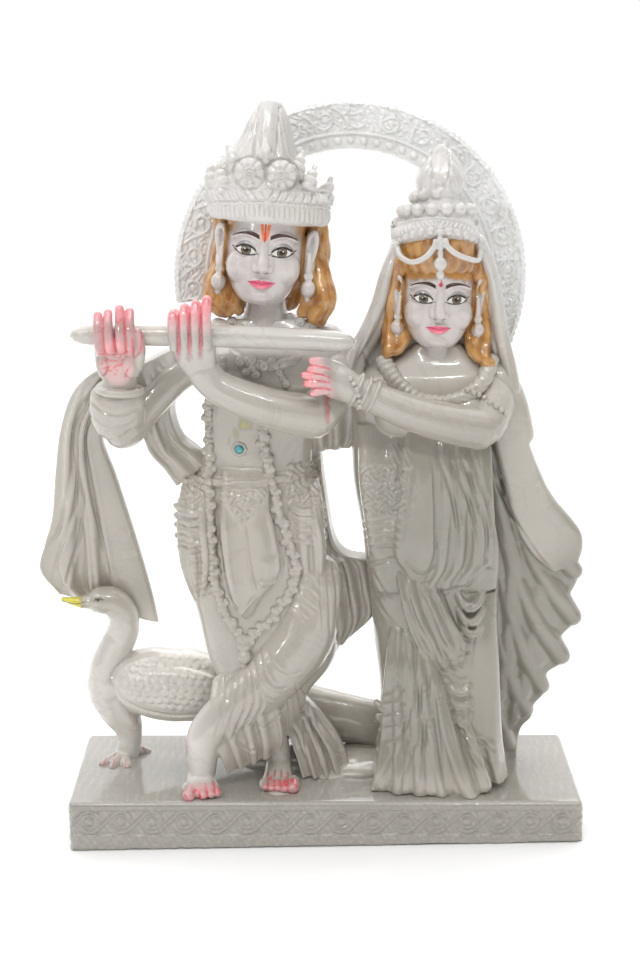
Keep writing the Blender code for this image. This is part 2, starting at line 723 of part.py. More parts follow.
def carve_second_figure(clay):
    """The second figure: bodice and skirt, and the arm laid on the flute player's arm."""
    clay.mass(
        (26, 30, 116, -38, 34),
        (36, 31, 115, -40, 34),
        (48, 33, 114, -36, 32),
        (62, 36, 113, -32, 30),
        (90, 36, 113, -28, 28),
        (117, 33, 112, -25, 27),
        (144, 31, 112, -24, 27),
        (171, 28, 112, -23, 27),
        (197, 25, 108, -21, 27),
        (223, 21, 106, -18, 26),
        (248, 20, 108, -17, 25),
        (268, 20, 110, -18, 25),
        (280, 20, 113, -18, 25),
        (290, 24, 112, -15, 25),
        (297, 34, 106, -10, 24),
        (303, 50, 96, -7, 20),
        (309, 59, 87, -5, 16),
    )
    clay.ball((50, -14, 268), (16, 11, 14))
    clay.ball((88, -14, 268), (16, 11, 14))
    clay.limb((72, 4, 292, 13, 13), (72.5, 3, 304, 10.8, 11.5), (73, 3, 320, 11.4, 12))
    clay.limb((102, 4, 284, 14, 14), (107, -4, 274, 14.5, 14), (101, -17, 263, 14, 14))
    clay.limb(
        (97, -21, 260.5, 13.5, 13),
        (80, -27, 265, 12.5, 12),
        (56, -32, 273, 11, 10.5),
        (34, -34, 283, 9.6, 9),
        (20, -35, 289.5, 9.6, 8.4),
        (12, -36, 294, 11, 7.6),
        (5, -36, 298, 10.5, 6.6),
    )
    clay.hoop((25.5, -34.5, 287.5), (9.6, 9.4), 2, roll=-64)
    clay.hoop((30.5, -34, 285), (9.8, 9.6), 2, roll=-64)
    # the hand: the thumb along the top and four fingers lying over the other's arm
    clay.limb((10, -38, 302, 3.6, 3.4), (2, -41, 307.5, 3, 3), (-6, -43, 307, 2.5, 2.5), steps=4, sides=12)
    for spot, tip, size in (
        ((6, 304), (-2.5, 303.5), 2.8),
        ((3, 299.5), (-7.5, 300.5), 3),
        ((2, 294.5), (-6.5, 295), 3),
        ((4, 290), (-3, 288.5), 2.8),
    ):
        middle = ((spot[0] + tip[0]) / 2, (spot[1] + tip[1]) / 2 + 0.6)
        clay.limb(
            (spot[0] + 4, -39, spot[1], size, size),
            (middle[0], -43.5, middle[1], size, size),
            (tip[0], -43, tip[1], size * 0.85, size * 0.85),
            steps=4,
            sides=12,
        )
    # the skirt's long panel, its pleats, the hanging pleats below and the swags at the sides
    clay.drape(
        (52, 262, 69, 262, -22, -22, 5, 0.5),
        (50, 236, 69, 234, -25, -25, 5, 0.8),
        (46, 205, 69, 200, -27, -27, 5, 0.8),
        (45, 184, 68, 180, -28, -28, 5, 0.6),
        (52, 169, 60, 164, -29, -29, 4, 0.2),
        folds=1.5,
        phase=1.6,
    )
    clay.drape(
        (67, 258, 104, 256, -22, -16, 5, 0.8),
        (68, 230, 106, 230, -25, -18, 5, 1.6),
        (67, 200, 107, 200, -27, -20, 5, 2),
        (64, 174, 106, 180, -28, -22, 5, 2),
        (58, 160, 98, 167, -28, -23, 4.6, 1.6),
        folds=5,
    )
    clay.drape(
        (24, 252, 50, 250, -16, -22, 5, 0.6),
        (24, 228, 46, 226, -18, -25, 5, 1),
        (28, 204, 46, 202, -20, -26, 5, 1.2),
        (31, 184, 46, 186, -20, -26, 4.6, 1),
        folds=3,
    )
    clay.drape(
        (47, 166, 70, 162, -24, -27, 5, 1),
        (48, 146, 74, 142, -26, -29, 5, 1.8),
        (50, 128, 76, 124, -27, -30, 5, 2),
        (56, 112, 68, 108, -28, -30, 4, 1.2),
        folds=3.5,
    )
    clay.drape(
        (40, 122, 70, 118, -24, -30, 5, 0.6),
        (37, 92, 76, 90, -26, -33, 6, 1.8),
        (35, 62, 84, 60, -29, -38, 7, 2.6),
        (31, 40, 92, 38, -34, -42, 7, 3),
        (28, 30, 98, 28, -34, -43, 6, 3),
        folds=5.5,
    )
    clay.drape(
        (78, 112, 110, 116, -27, -18, 6, 0.8),
        (82, 86, 112, 88, -30, -20, 7, 1.4),
        (86, 58, 114, 58, -34, -24, 7, 2),
        (92, 34, 117, 32, -38, -26, 6, 2.4),
        folds=2.5,
    )


def carve_veil(clay):
    """The veil behind the second head, open round the face and lying on the shoulders."""
    clay.mass(
        (292, 20, 118, 0, 32),
        (302, 18, 115, 2, 33),
        (312, 24, 113, 4, 34),
        (326, 31, 112, 5, 35),
        (342, 37, 109, 5, 36),
        (356, 42, 106, 5, 36),
        (372, 47, 101, 4, 35),
        (384, 52, 95, 6, 32),
        (393, 60, 88, 9, 27),
        power=2.6,
    )
    for side, path in (
        (1, ((50, -2, 372), (42, -2, 354), (36, -2, 334), (28, -1, 316), (19, -4, 303), (16, -10, 290))),
        (-1, ((99, -4, 372), (106, -4, 354), (110, -3, 334), (113, -2, 314), (118, -2, 296), (121, -4, 280))),
    ):
        clay.limb(*((x + side, y, z, 4.4, 6) for x, y, z in path), steps=4, sides=12)
        clay.limb(*((x + side * 6, y + 6, z - 2, 5, 6) for x, y, z in path), steps=4, sides=12)


def carve_cape(clay):
    """The cape that fans out to the right, and the plain end of the sleeve in front of it."""
    clay.drape(
        (92, 292, 118, 290, -2, 2, 9, 0.6),
        (94, 272, 122, 272, 2, 4, 9, 1),
        (96, 246, 130, 246, 6, 8, 9, 2),
        (98, 212, 142, 212, 8, 12, 9, 3),
        (100, 184, 161, 186, 10, 14, 9, 4),
        (102, 160, 164, 162, 11, 15, 9, 4.4),
        (102, 140, 168, 141, 12, 15, 9, 4.6),
        (102, 116, 166, 118, 13, 16, 9, 4.6),
        (102, 90, 160, 92, 14, 18, 9, 4.4),
        (100, 62, 149, 66, 15, 20, 9, 4),
        (98, 36, 137, 42, 16, 22, 8, 3.4),
        (98, 22, 131, 22, 16, 22, 7, 3),
        folds=5.5,
        columns=72,
    )
    clay.drape(
        (98, 288, 119, 286, -8, -4, 9, 0.4),
        (100, 270, 124, 268, -8, -3, 9, 0.6),
        (108, 244, 131, 242, -4, 1, 8, 0.8),
        (116, 214, 144, 212, -2, 4, 6.4, 0.8),
        (124, 190, 161, 190, -1, 6, 5.4, 0.8),
        (131, 172, 167, 176, 0, 8, 5, 0.8),
        (150, 160, 165, 162, 2, 9, 4, 0.6),
        folds=1.2,
        phase=2.6,
    )


def carve_swan(clay):
    """The swan: neck in an S, folded wing, and a long tail that runs behind both figures' legs."""
    clay.ball((-106, 22, 82), (42, 19, 24), roll=5, sides=28)
    clay.ball((-140, 22, 82), (15.5, 14, 19))
    clay.limb(
        (-92, 24, 84, 21, 18),
        (-60, 27, 72, 21, 18),
        (-22, 29, 60, 19, 15),
        (12, 29, 52, 17, 12),
        (40, 28, 46, 16, 10),
        sides=22,
    )
    clay.limb(
        (-143, 22, 82, 13, 13),
        (-141, 21, 95, 11.5, 11.5),
        (-136, 20, 107, 10.6, 10.4),
        (-130, 19, 119, 10.4, 9.8),
        (-129, 17, 131, 9.8, 9.4),
        (-135, 15, 141, 9.6, 9.2),
        (-143, 13, 143, 8.8, 8.4),
        sides=20,
    )
    clay.limb((-148, 11.5, 143, 5.4, 5), (-156, 10, 143, 3.6, 3.8), (-166, 8.5, 145.5, 1.4, 2.2), sides=14)
    # the folded wing, its leading edge and its rows of feathers
    clay.ball((-98, 9, 79), (37, 9, 19), roll=5, sides=28)
    edge = ((-132, 8, 86, 5, 5), (-124, 5, 96, 4, 4), (-104, 4, 99, 3, 3), (-78, 6, 94, 2, 3), (-62, 8, 84, 1.4, 2))
    clay.limb(*edge)
    clay.limb(
        (-139, 22, 76, 16, 13),
        (-135, 21, 64, 13.5, 11),
        (-130, 20, 53, 10, 9),
        (-129, 19, 43, 8, 8),
        (-131, 16, 34, 8, 7.4),
    )
    for x, y in ((-146, 4), (-138.5, -1), (-129.5, 0)):
        clay.limb((-133, 15, 35, 4.4, 4), (x, y, 31.5, 4, 3), steps=4, sides=12)
    clay.limb((-128, 20, 36, 4, 4), (-118, 24, 31.5, 4, 3), sides=12)


def carve_pedestal_rock(clay):
    """The low rise of stone between the feet and the skirts, which ties the legs to the plinth."""
    clay.ball((-24, 12, 30), (34, 20, 8))
    clay.ball((20, 8, 30), (26, 26, 7))
    clay.ball((-80, -30, 29), (14, 16, 4.5))
    clay.ball((-29, -24, 29), (14, 20, 4.5))
    clay.ball((-131, 14, 29), (19, 18, 4))


NAVEL = (-49.0, -80.0, 249.0)


def carve_necklaces(clay):
    clay.hoop((-30, 2, 316), (22, 15), 3, roll=2, pitch=16)
    string = ((-60, -4, 314), (-46, -16, 305), (-30, -20, 301), (-14, -17, 304), (2, -4, 312))
    clay.limb(*((*spot, 3.4, 3) for spot in string))
    clay.hoop((72.5, 3, 301), (19, 15), 2.4, roll=0, pitch=20)
    string = ((50, -2, 303), (58, -13, 293), (72, -18, 287), (87, -14, 292), (97, -4, 302))
    clay.limb(*((*spot, 2.8, 2.6) for spot in string))


def stroke_folds(chisel):
    """Folds and hems cut into the cloth."""
    folds = (
        # the flute player's skirt, drawn up round the legs
        ((-84, 150), (-70, 136), (-52, 128), (-40, 128)),
        ((-82, 136), (-66, 122), (-48, 114), (-36, 114)),
        ((-77, 122), (-62, 108), (-46, 100), (-34, 102)),
        ((-73, 108), (-58, 96), (-44, 88), (-30, 90)),
        ((6, 150), (-4, 138), (-16, 132), (-30, 130)),
        ((8, 136), (-4, 122), (-20, 112), (-36, 108)),
        ((8, 122), (-6, 106), (-24, 96), (-42, 92)),
        ((4, 108), (-12, 92), (-30, 82), (-48, 80)),
        ((-2, 94), (-20, 80), (-40, 72), (-56, 70)),
        # the second figure's skirt
        ((30, 158), (36, 138), (42, 118)),
        ((34, 134), (40, 112), (50, 96)),
        ((36, 110), (44, 88), (56, 74)),
        ((106, 158), (96, 142), (84, 132)),
        ((110, 140), (98, 122), (84, 112)),
        ((108, 122), (96, 106), (82, 98)),
    )
    for path in folds:
        chisel.stroke(path, 3.4, -1.8, depth=(-60, 4))


def carve_group(clay):
    carve_first_figure(clay)
    carve_sashes(clay)
    carve_necklaces(clay)
    carve_garland(clay, GARLAND, 3.4)
    carve_scarf(clay)
    carve_flute(clay)
    clay.ball((-30, 12, 366), (28, 17, 34))
    clay.ball((73, 5, 352), (25, 24, 19))
    carve_face(clay, FIRST_HEAD)
    carve_ears(clay, FIRST_HEAD, 5)
    carve_locks(clay, FIRST_LOCKS, 8.5)
    carve_first_crown(clay)
    carve_second_figure(clay)
    carve_face(clay, SECOND_HEAD)
    carve_ears(clay, SECOND_HEAD, 4.4)
    carve_locks(clay, SECOND_LOCKS, 6.5)
    carve_veil(clay)
    carve_second_crown(clay)
    carve_cape(clay)
    carve_arch(clay)
    carve_swan(clay)
    carve_pedestal_rock(clay)


def box(name, low, high, top=None):
    """A block between two corners, in metres. Where top is given, its ends stand that much below it."""
    x0, y0, z0 = low
    x1, y1, z1 = high
    corners = [(x, y, z) for x in (x0, x1) for y in (y0, y1) for z in (z0, z1)]
    points = [(x, y, z if top is None else top(x) - z) for x, y, z in corners]
    faces = [(0, 1, 3, 2), (4, 6, 7, 5), (0, 4, 5, 1), (2, 3, 7, 6), (0, 2, 6, 4), (1, 5, 7, 3)]
    mesh = bpy.data.meshes.new(name)
    mesh.from_pydata(points, [], faces)
    made = bpy.data.objects.new(name, mesh)
    bpy.context.scene.collection.objects.link(made)
    return made


def combined(block, others, operation, solver="EXACT"):
    """Cuts the others from a block, or joins them to it, and removes them."""
    for other in others:
        step = block.modifiers.new("combined", "BOOLEAN")
        step.operation = operation
        step.solver = solver
        step.object = other
        frozen(block)
        bpy.data.objects.remove(other)


def plinth():
    """The plinth: a block with rounded edges and a sloping top, and a carved band on its front."""
    half_x, half_y = PLINTH_LENGTH / 2, PLINTH_DEPTH / 2
    block = box("plinth", (-half_x, -half_y, 0), (half_x, half_y, 1))
    for vertex in block.data.vertices:
        vertex.co.z *= plinth_top(vertex.co.x)
    bevel = block.modifiers.new("rounded edges", "BEVEL")
    bevel.width = PLINTH_EDGE
    bevel.segments = 3
    frozen(block)
    panel = box(
        "panel",
        (-PLINTH_LENGTH, -half_y - PLINTH_EDGE, BAND_TOP_MARGIN + BAND_HEIGHT),
        (PLINTH_LENGTH, -half_y + BAND_DEPTH, BAND_TOP_MARGIN),
        plinth_top,
    )
    combined(block, [panel], "DIFFERENCE")
    combined(block, scroll_band(), "UNION")
    return block


def scroll_band():
    """Round bosses in a row, and a raised strand that climbs from under each one over the next."""
    length = PLINTH_LENGTH - 2 * PLINTH_EDGE
    pitch = length / BAND_RINGS
    back = -PLINTH_DEPTH / 2 + BAND_DEPTH
    ring = BAND_HEIGHT * 0.3
    pieces = []
    for k in range(BAND_RINGS):
        x = (k + 0.5) * pitch - length / 2
        z = plinth_top(x) - BAND_TOP_MARGIN - BAND_HEIGHT / 2
        bpy.ops.mesh.primitive_cone_add(
            vertices=10,
            radius1=ring,
            radius2=ring * 0.6,
            depth=BAND_DEPTH * 1.8,
            location=(x, back, z),
            rotation=(HALF_TURN / 2, 0, 0),
        )
        pieces.append(bpy.context.object)
        if k:
            bpy.ops.mesh.primitive_cube_add(
                size=1,
                location=(x - pitch / 2, back, z),
                rotation=(0, -math.atan2(BAND_HEIGHT * 0.7, pitch * 0.5), 0),
            )
            strand = bpy.context.object
            strand.scale = (BAND_HEIGHT * 0.8, BAND_DEPTH * 1.4, STRAND_WIDTH)
            pieces.append(strand)
    return pieces


def navel_stone(statue):
    """The stone in the navel: a low dome, held just clear of the belly behind it."""
    tree = BVHTree.FromObject(statue, bpy.context.evaluated_depsgraph_get())
    start = Vector(placed(NAVEL))
    reach = STONE_DIAMETER / 2 + STONE_CLEARANCE
    spots = [(0, 0)]
    for k in range(STONE_SIDES):
        turn = 2 * HALF_TURN * k / STONE_SIDES
        spots += [(reach * share * math.cos(turn), reach * share * math.sin(turn)) for share in (0.5, 1)]
    hits = [tree.ray_cast(start + Vector((x, 0, z)), (0, 1, 0)) for x, z in spots]
    out = sum((hit[1] for hit in hits), Vector()).normalized()
    furthest = max((hit[0] - start).dot(out) for hit in hits)
    foot = hits[0][0]
    foot = foot + out * (furthest - (foot - start).dot(out) + STONE_CLEARANCE)
    across = out.cross((0, 0, 1)).normalized()
    upward = across.cross(out)
    rings = []
    for wide, high in ((1, 0), (1, 0.35), (0.85, 0.7), (0.5, 0.95)):
        ring = []
        for k in range(STONE_SIDES):
            turn = 2 * HALF_TURN * k / STONE_SIDES
            spot = across * math.cos(turn) + upward * math.sin(turn)
            ring.append(foot + spot * (wide * STONE_DIAMETER / 2) + out * (high * STONE_HEIGHT))
        rings.append(ring)
    points = [point for ring in rings for point in ring]
    faces = [tuple(range(STONE_SIDES)), tuple(reversed(range(3 * STONE_SIDES, 4 * STONE_SIDES)))]
    for row in range(3):
        for k in range(STONE_SIDES):
            after = (k + 1) % STONE_SIDES
            low, high = row * STONE_SIDES, (row + 1) * STONE_SIDES
            faces.append((low + after, low + k, high + k, high + after))
    mesh = bpy.data.meshes.new("navel_stone")
    mesh.from_pydata(points, [], faces)
    stone = bpy.data.objects.new("navel_stone", mesh)
    bpy.context.scene.collection.objects.link(stone)
    return stone


def finished(piece, name, colour, roughness):
    material = bpy.data.materials.new(name)
    material.use_nodes = True
    shader = material.node_tree.nodes["Principled BSDF"]
    shader.inputs["Base Color"].default_value = (*colour, 1)
    shader.inputs["Roughness"].default_value = roughness
    shader.inputs["Coat Weight"].default_value = 0.4
    piece.data.materials.clear()
    piece.data.materials.append(material)


def main():
    for thing in list(bpy.data.objects):
        bpy.data.objects.remove(thing)
    clay = Clay()
    carve_group(clay)
    statue = clay.fused("statue", VOXEL, 2)
    chisel = Chisel(statue)
    stroke_folds(chisel)
    chisel.done()
    thin = statue.modifiers.new("fewer faces", "DECIMATE")
    thin.ratio = KEPT_TRIANGLES / (2 * len(statue.data.polygons))
    frozen(statue)
    combined(statue, [plinth()], "UNION", solver="MANIFOLD")
    finished(statue, "white marble", (0.86, 0.85, 0.82), 0.18)
    finished(navel_stone(statue), "teal stone", (0.05, 0.42, 0.45), 0.12)


main()
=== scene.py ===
"""The carved marble group: fine carving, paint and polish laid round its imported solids."""

import math

import bpy
import numpy as np
from mathutils import Euler, Matrix, Vector
from mathutils.bvhtree import BVHTree


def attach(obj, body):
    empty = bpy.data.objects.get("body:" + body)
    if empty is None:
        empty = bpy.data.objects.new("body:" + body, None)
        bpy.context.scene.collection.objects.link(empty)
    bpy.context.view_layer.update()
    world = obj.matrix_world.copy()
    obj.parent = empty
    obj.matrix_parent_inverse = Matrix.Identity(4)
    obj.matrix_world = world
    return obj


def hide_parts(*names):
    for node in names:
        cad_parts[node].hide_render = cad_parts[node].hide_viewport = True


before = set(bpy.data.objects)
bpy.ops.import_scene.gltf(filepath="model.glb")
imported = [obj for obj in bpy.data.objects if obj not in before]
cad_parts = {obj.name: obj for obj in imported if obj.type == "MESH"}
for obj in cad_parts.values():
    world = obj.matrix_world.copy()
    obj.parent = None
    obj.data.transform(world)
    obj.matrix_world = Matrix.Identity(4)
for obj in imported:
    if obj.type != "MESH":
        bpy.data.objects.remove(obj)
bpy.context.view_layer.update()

# The drawing: millimetres for a group 457 mm tall on a plinth 30 mm thick, as the solids were drawn
DRAWN_HEIGHT = 457.0
DRAWN_PLINTH = 30.0
STATUE_HEIGHT = 0.457
PLINTH_HEIGHT = 0.03025
SHARE = (STATUE_HEIGHT - PLINTH_HEIGHT) / (DRAWN_HEIGHT - DRAWN_PLINTH)
FULL_TURN = 2 * math.pi

# The camera: where it stands, how far it looks down and leans, in degrees, and its reach in picture heights
EYE_POINT = Vector((0, -1.0416, 0.5045))
EYE_DOWN = 15
EYE_ROLL = 1
EYE_REACH = 1728 / 956
FILM_HIGH = 36.0
# How much lower a point looks for each millimetre that it stands nearer to the camera, high up on the figures
SEEN_SLOPE = 0.113

# Where each head sits: its middle, how far it leans to the right, turns and nods, and its size
FIRST_HEAD = ((-31.0, 0.0, 368.0), 6.0, 0.0, 2.0, 1.0)
SECOND_HEAD = ((73.5, 2.0, 337.5), 3.0, 0.0, 3.0, 0.93)


def placed(points):
    """Points of the drawing, in millimetres, as points of the group, in metres."""
    points = np.array(points, float) * SHARE
    points[..., 2] += PLINTH_HEIGHT - DRAWN_PLINTH * SHARE
    return points


def drawn(points):
    """Points of the group, in metres, as points of the drawing, in millimetres."""
    points = np.array(points, float)
    points[..., 2] -= PLINTH_HEIGHT - DRAWN_PLINTH * SHARE
    return points / SHARE


def unit(vectors):
    return vectors / np.maximum(np.linalg.norm(vectors, axis=-1, keepdims=True), 1e-9)


def smoothstep(low, high, value):
    share = np.clip((value - low) / (high - low), 0.0, 1.0)
    return share * share * (3 - 2 * share)


def bump(value, width):
    """1 at nothing, falling softly to 0 at width on either side."""
    return np.cos(np.clip(np.abs(value) / width, 0, 1) * math.pi / 2) ** 2


def spline(rows, steps):
    """A Catmull-Rom curve through rows of any width, with that many steps from row to row."""
    rows = np.array(rows, float)
    padded = np.vstack([2 * rows[0] - rows[1], rows, 2 * rows[-1] - rows[-2]])
    share = np.linspace(0, 1, steps, endpoint=False)[:, None]
    found = []
    for before, start, end, after in zip(padded, padded[1:], padded[2:], padded[3:]):
        found.append(
            0.5
            * (
                2 * start
                + (end - before) * share
                + (2 * before - 5 * start + 4 * end - after) * share**2
                + (3 * start - before - 3 * end + after) * share**3
            )
        )
    return np.vstack([*found, rows[-1:]])


def turn_matrix(roll, yaw, pitch):
    roll, yaw, pitch = (math.radians(angle) for angle in (roll, yaw, pitch))
    about_y = np.array([[math.cos(roll), 0, math.sin(roll)], [0, 1, 0], [-math.sin(roll), 0, math.cos(roll)]])
    about_z = np.array([[math.cos(yaw), -math.sin(yaw), 0], [math.sin(yaw), math.cos(yaw), 0], [0, 0, 1]])
    about_x = np.array(
        [[1, 0, 0], [0, math.cos(pitch), -math.sin(pitch)], [0, math.sin(pitch), math.cos(pitch)]]
    )
    return about_y @ about_z @ about_x


def turned(points, roll=0.0, yaw=0.0, pitch=0.0):
    """Points turned about the origin: roll tips them to the right as seen, pitch nods them forward."""
    return np.asarray(points, float) @ turn_matrix(roll, yaw, pitch).T


def in_head(head):
    """Moves points from a head's own frame, upright round its middle, into the drawing."""
    centre, roll, yaw, pitch, size = head
    return lambda points: turned(np.asarray(points, float) * size, roll, yaw, pitch) + centre


def from_head(head, points):
    """Points of the drawing in a head's own frame."""
    centre, roll, yaw, pitch, size = head
    return (points - centre) @ turn_matrix(roll, yaw, pitch) / size


def ripple(points, scale, seed):
    """A soft, even unevenness between -1 and 1: a few waves crossing at set angles."""
    draw = np.random.default_rng(seed)
    total = np.zeros(len(points))
    for octave in (1.0, 1.9, 3.1):
        for _ in range(4):
            way = unit(draw.normal(size=3))
            total += np.sin(points @ way * (FULL_TURN * octave / scale) + draw.uniform(0, FULL_TURN)) / octave
    return total / 4.2


class Clay:
    """Closed shapes in millimetres of the drawing, laid over each other and then fused into one skin."""

    def __init__(self):
        self.points = []
        self.faces = []
        self.count = 0
        self.move = None

    def put(self, points, faces):
        if self.move:
            points = self.move(points)
        self.points.append(points)
        self.faces += [tuple(self.count + i for i in face) for face in faces]
        self.count += len(points)

    def rings(self, rings):
        """A closed skin over rings of points, with a point in the middle of each end."""
        many, sides = rings.shape[:2]
        points = np.vstack([rings.reshape(-1, 3), rings[0].mean(0), rings[-1].mean(0)])
        faces = []
        for side in range(sides):
            after = (side + 1) % sides
            for ring in range(many - 1):
                low, high = ring * sides, (ring + 1) * sides
                faces.append((low + side, low + after, high + after, high + side))
            last = (many - 1) * sides
            faces.append((many * sides, after, side))
            faces.append((many * sides + 1, last + side, last + after))
        self.put(points, faces)

    def limb(self, *rows, steps=6, sides=24, side=None):
        """A round-ended limb through rows of x, y, z, half its width and half its depth."""
        rows = spline(rows, steps)
        along = unit(np.gradient(rows[:, :3], axis=0))
        across = np.cross(
            along, (0, 1, 0)
        ) if side is None else side - along * (along @ np.array(side))[:, None]
        across = unit(across)
        deep = np.cross(across, along)
        turn = np.linspace(0, FULL_TURN, sides, endpoint=False)
        made = []
        for end, way in ((0, -1), (None, 0), (-1, 1)):
            if end is None:
                kept, tip = range(len(rows)), [(0.0, 1.0)]
            else:
                kept = [end]
                tip = [(math.sin(a), math.cos(a)) for a in (1.45, 1.15, 0.8, 0.4)][::-way]
            for k in kept:
                x, y, z, wide, thick = rows[k]
                for forward, shrink in tip:
                    centre = np.array([x, y, z]) + along[k] * forward * way * min(wide, thick)
                    made.append(
                        centre
                        + across[k] * (wide * shrink) * np.cos(turn)[:, None]
                        + deep[k] * (thick * shrink) * np.sin(turn)[:, None]
                    )
        self.rings(np.array(made))

    def rope(self, rows, deeper=1.0, **settings):
        """A limb through rows of x, y, z and half its width, as many times deeper than wide."""
        self.limb(*((x, y, z, wide, wide * deeper) for x, y, z, wide in rows), **settings)

    def mass(self, *rows, power=2.4, steps=6, sides=64):
        """A body through level rows of z, left, right, front and back."""
        rows = spline(rows, steps)
        turn = np.linspace(0, FULL_TURN, sides, endpoint=False)
        wave_x = np.sign(np.cos(turn)) * np.abs(np.cos(turn)) ** (2 / power)
        wave_y = np.sign(np.sin(turn)) * np.abs(np.sin(turn)) ** (2 / power)
        z, left, right, front, back = (rows[:, k, None] for k in range(5))
        x = (left + right) / 2 + (right - left) / 2 * wave_x
        y = (front + back) / 2 + (back - front) / 2 * wave_y
        self.rings(np.stack([x, y, np.broadcast_to(z, x.shape)], -1))

    def ball(self, centre, radii, roll=0.0, yaw=0.0, pitch=0.0, sides=24):
        radii = np.broadcast_to(radii, 3)
        tilt = np.linspace(-math.pi / 2, math.pi / 2, sides // 2 + 1)[1:-1, None]
        turn = np.linspace(0, FULL_TURN, sides, endpoint=False)
        shape = np.stack(
            [np.cos(tilt) * np.cos(turn), np.cos(tilt) * np.sin(turn), np.sin(tilt) + 0 * turn], -1
        )
        self.rings(turned(shape * radii, roll, yaw, pitch) + centre)

    def drape(self, *rows, folds=4.0, phase=0.0, steps=8, columns=96, sharp=1.6, flat_from=1.0, wander=0.0):
        """Hanging cloth through rows of left x, left z, right x, right z, y at the left, y at the right,
        half its thickness and how deep its folds are. The folds die away past the share flat_from of its
        width, and wander a little where wander isn't nothing."""
        rows = spline(rows, steps)
        u = np.linspace(0, 1, columns)
        left_x, left_z, right_x, right_z, left_y, right_y, thick, deep = (rows[:, k, None] for k in range(8))
        down = np.linspace(0, 1, len(rows))[:, None]
        place = (
            u + wander * (np.sin(FULL_TURN * (1.3 * u + 0.4 * down)) + 0.6 * np.sin(FULL_TURN * 2.7 * u + 2))
        )
        wave = np.cos(FULL_TURN * folds * place + phase)
        wave = np.sign(wave) * np.abs(wave) ** (1 / sharp)
        if flat_from < 1:
            wave = wave * (1 - smoothstep(flat_from - 0.12, flat_from + 0.04, u))
        x = left_x + (right_x - left_x) * u
        z = left_z + (right_z - left_z) * u
        y = left_y + (right_y - left_y) * u - deep * wave
        half = thick * np.sqrt(1 - 0.96 * np.abs(2 * u - 1) ** 6)
        front = np.stack([x, y - half, z], -1)
        back = np.stack([x, y + half, z], -1)[:, ::-1]
        self.rings(np.concatenate([front, back], 1))

    def hoop(self, centre, radii, thick, roll=0.0, yaw=0.0, pitch=0.0, around=60, sides=12):
        """A ring lying level round centre, then tipped: its two radii, and how thick its bar is."""
        turn = np.linspace(0, FULL_TURN, around, endpoint=False)
        turn_bar = np.linspace(0, FULL_TURN, sides, endpoint=False)
        bar = np.cos(turn_bar)[None, :] * thick
        x = (radii[0] + bar) * np.cos(turn)[:, None]
        y = (radii[1] + bar) * np.sin(turn)[:, None]
        z = np.broadcast_to(np.sin(turn_bar) * thick, x.shape)
        points = turned(np.stack([x, y, z], -1), roll, yaw, pitch) + centre
        faces = []
        for ring in range(around):
            after = (ring + 1) % around
            for side in range(sides):
                beside = (side + 1) % sides
                faces.append(
                    (ring * sides + side, after * sides + side, after * sides + beside, ring * sides + beside)
                )
        self.put(points.reshape(-1, 3), faces)

    def shelled(self, name, by_drawing=True, metres=False):
        """The closed shapes laid down so far as they are, with their faces turned outwards. They are given in
        millimetres of the drawing, or else in millimetres or metres of the group."""
        points = np.vstack(self.points)
        points = placed(points) if by_drawing else points if metres else points / 1000
        mesh = bpy.data.meshes.new(name)
        mesh.from_pydata(points, [], self.faces)
        piece = bpy.data.objects.new(name, mesh)
        bpy.context.scene.collection.objects.link(piece)
        picked_alone(piece)
        bpy.ops.object.mode_set(mode="EDIT")
        bpy.ops.mesh.select_all(action="SELECT")
        bpy.ops.mesh.normals_make_consistent(inside=False)
        bpy.ops.object.mode_set(mode="OBJECT")
        bpy.ops.object.shade_smooth()
        return piece

    def fused(self, name, voxel, rubs=2):
        """One closed skin round everything laid down so far, with a grain of voxel millimetres."""
        mesh = bpy.data.meshes.new(name)
        mesh.from_pydata(placed(np.vstack(self.points)), [], self.faces)
        piece = bpy.data.objects.new(name, mesh)
        bpy.context.scene.collection.objects.link(piece)
        applied(piece, "REMESH", mode="VOXEL", voxel_size=voxel / 1000, use_smooth_shade=True)
        if rubs:
            applied(piece, "SMOOTH", factor=0.5, iterations=rubs)
        return piece


def picked_alone(piece):
    bpy.ops.object.select_all(action="DESELECT")
    piece.select_set(True)
    bpy.context.view_layer.objects.active = piece


def applied(piece, kind, **settings):
    """Gives a piece one modifier and makes it part of its mesh."""
    picked_alone(piece)
    modifier = piece.modifiers.new(kind.lower(), kind)
    for setting, value in settings.items():
        setattr(modifier, setting, value)
    bpy.ops.object.modifier_apply(modifier=modifier.name)


# At most how many triangles each piece keeps, so that the whole group stays under a million
MOST_TRIANGLES = {
    "first_body": 96000, "first_head": 54000, "first_hair": 26000, "first_crown": 70000,
    "raised_arm": 34000, "folded_arm": 38000, "scarf": 38000, "shoulder_cloth": 20000,
    "garland": 38000, "chest_jewels": 16000,
    "second_body": 88000, "second_head": 48000, "second_hair": 24000, "second_crown": 60000,
    "second_arm": 30000, "veil": 24000, "companion_collar": 22000, "cape": 40000,
    "arch": 60000, "swan": 48000, "stone_rise": 6000,
}


def thinned(piece):
    """Keeps a piece under its number of triangles, dropping them first where the skin is flattest."""
    piece.data.calc_loop_triangles()
    count = len(piece.data.loop_triangles)
    most = MOST_TRIANGLES[piece.name]
    if count > most:
        applied(piece, "DECIMATE", ratio=most / count)
    return piece


def tree_of(*pieces):
    """One search tree over the skins of several pieces, in metres."""
    points, faces = [], []
    for piece in pieces:
        start = len(points)
        points += [vertex.co.copy() for vertex in piece.data.vertices]
        faces += [tuple(start + i for i in polygon.vertices) for polygon in piece.data.polygons]
    return BVHTree.FromPolygons(points, faces)


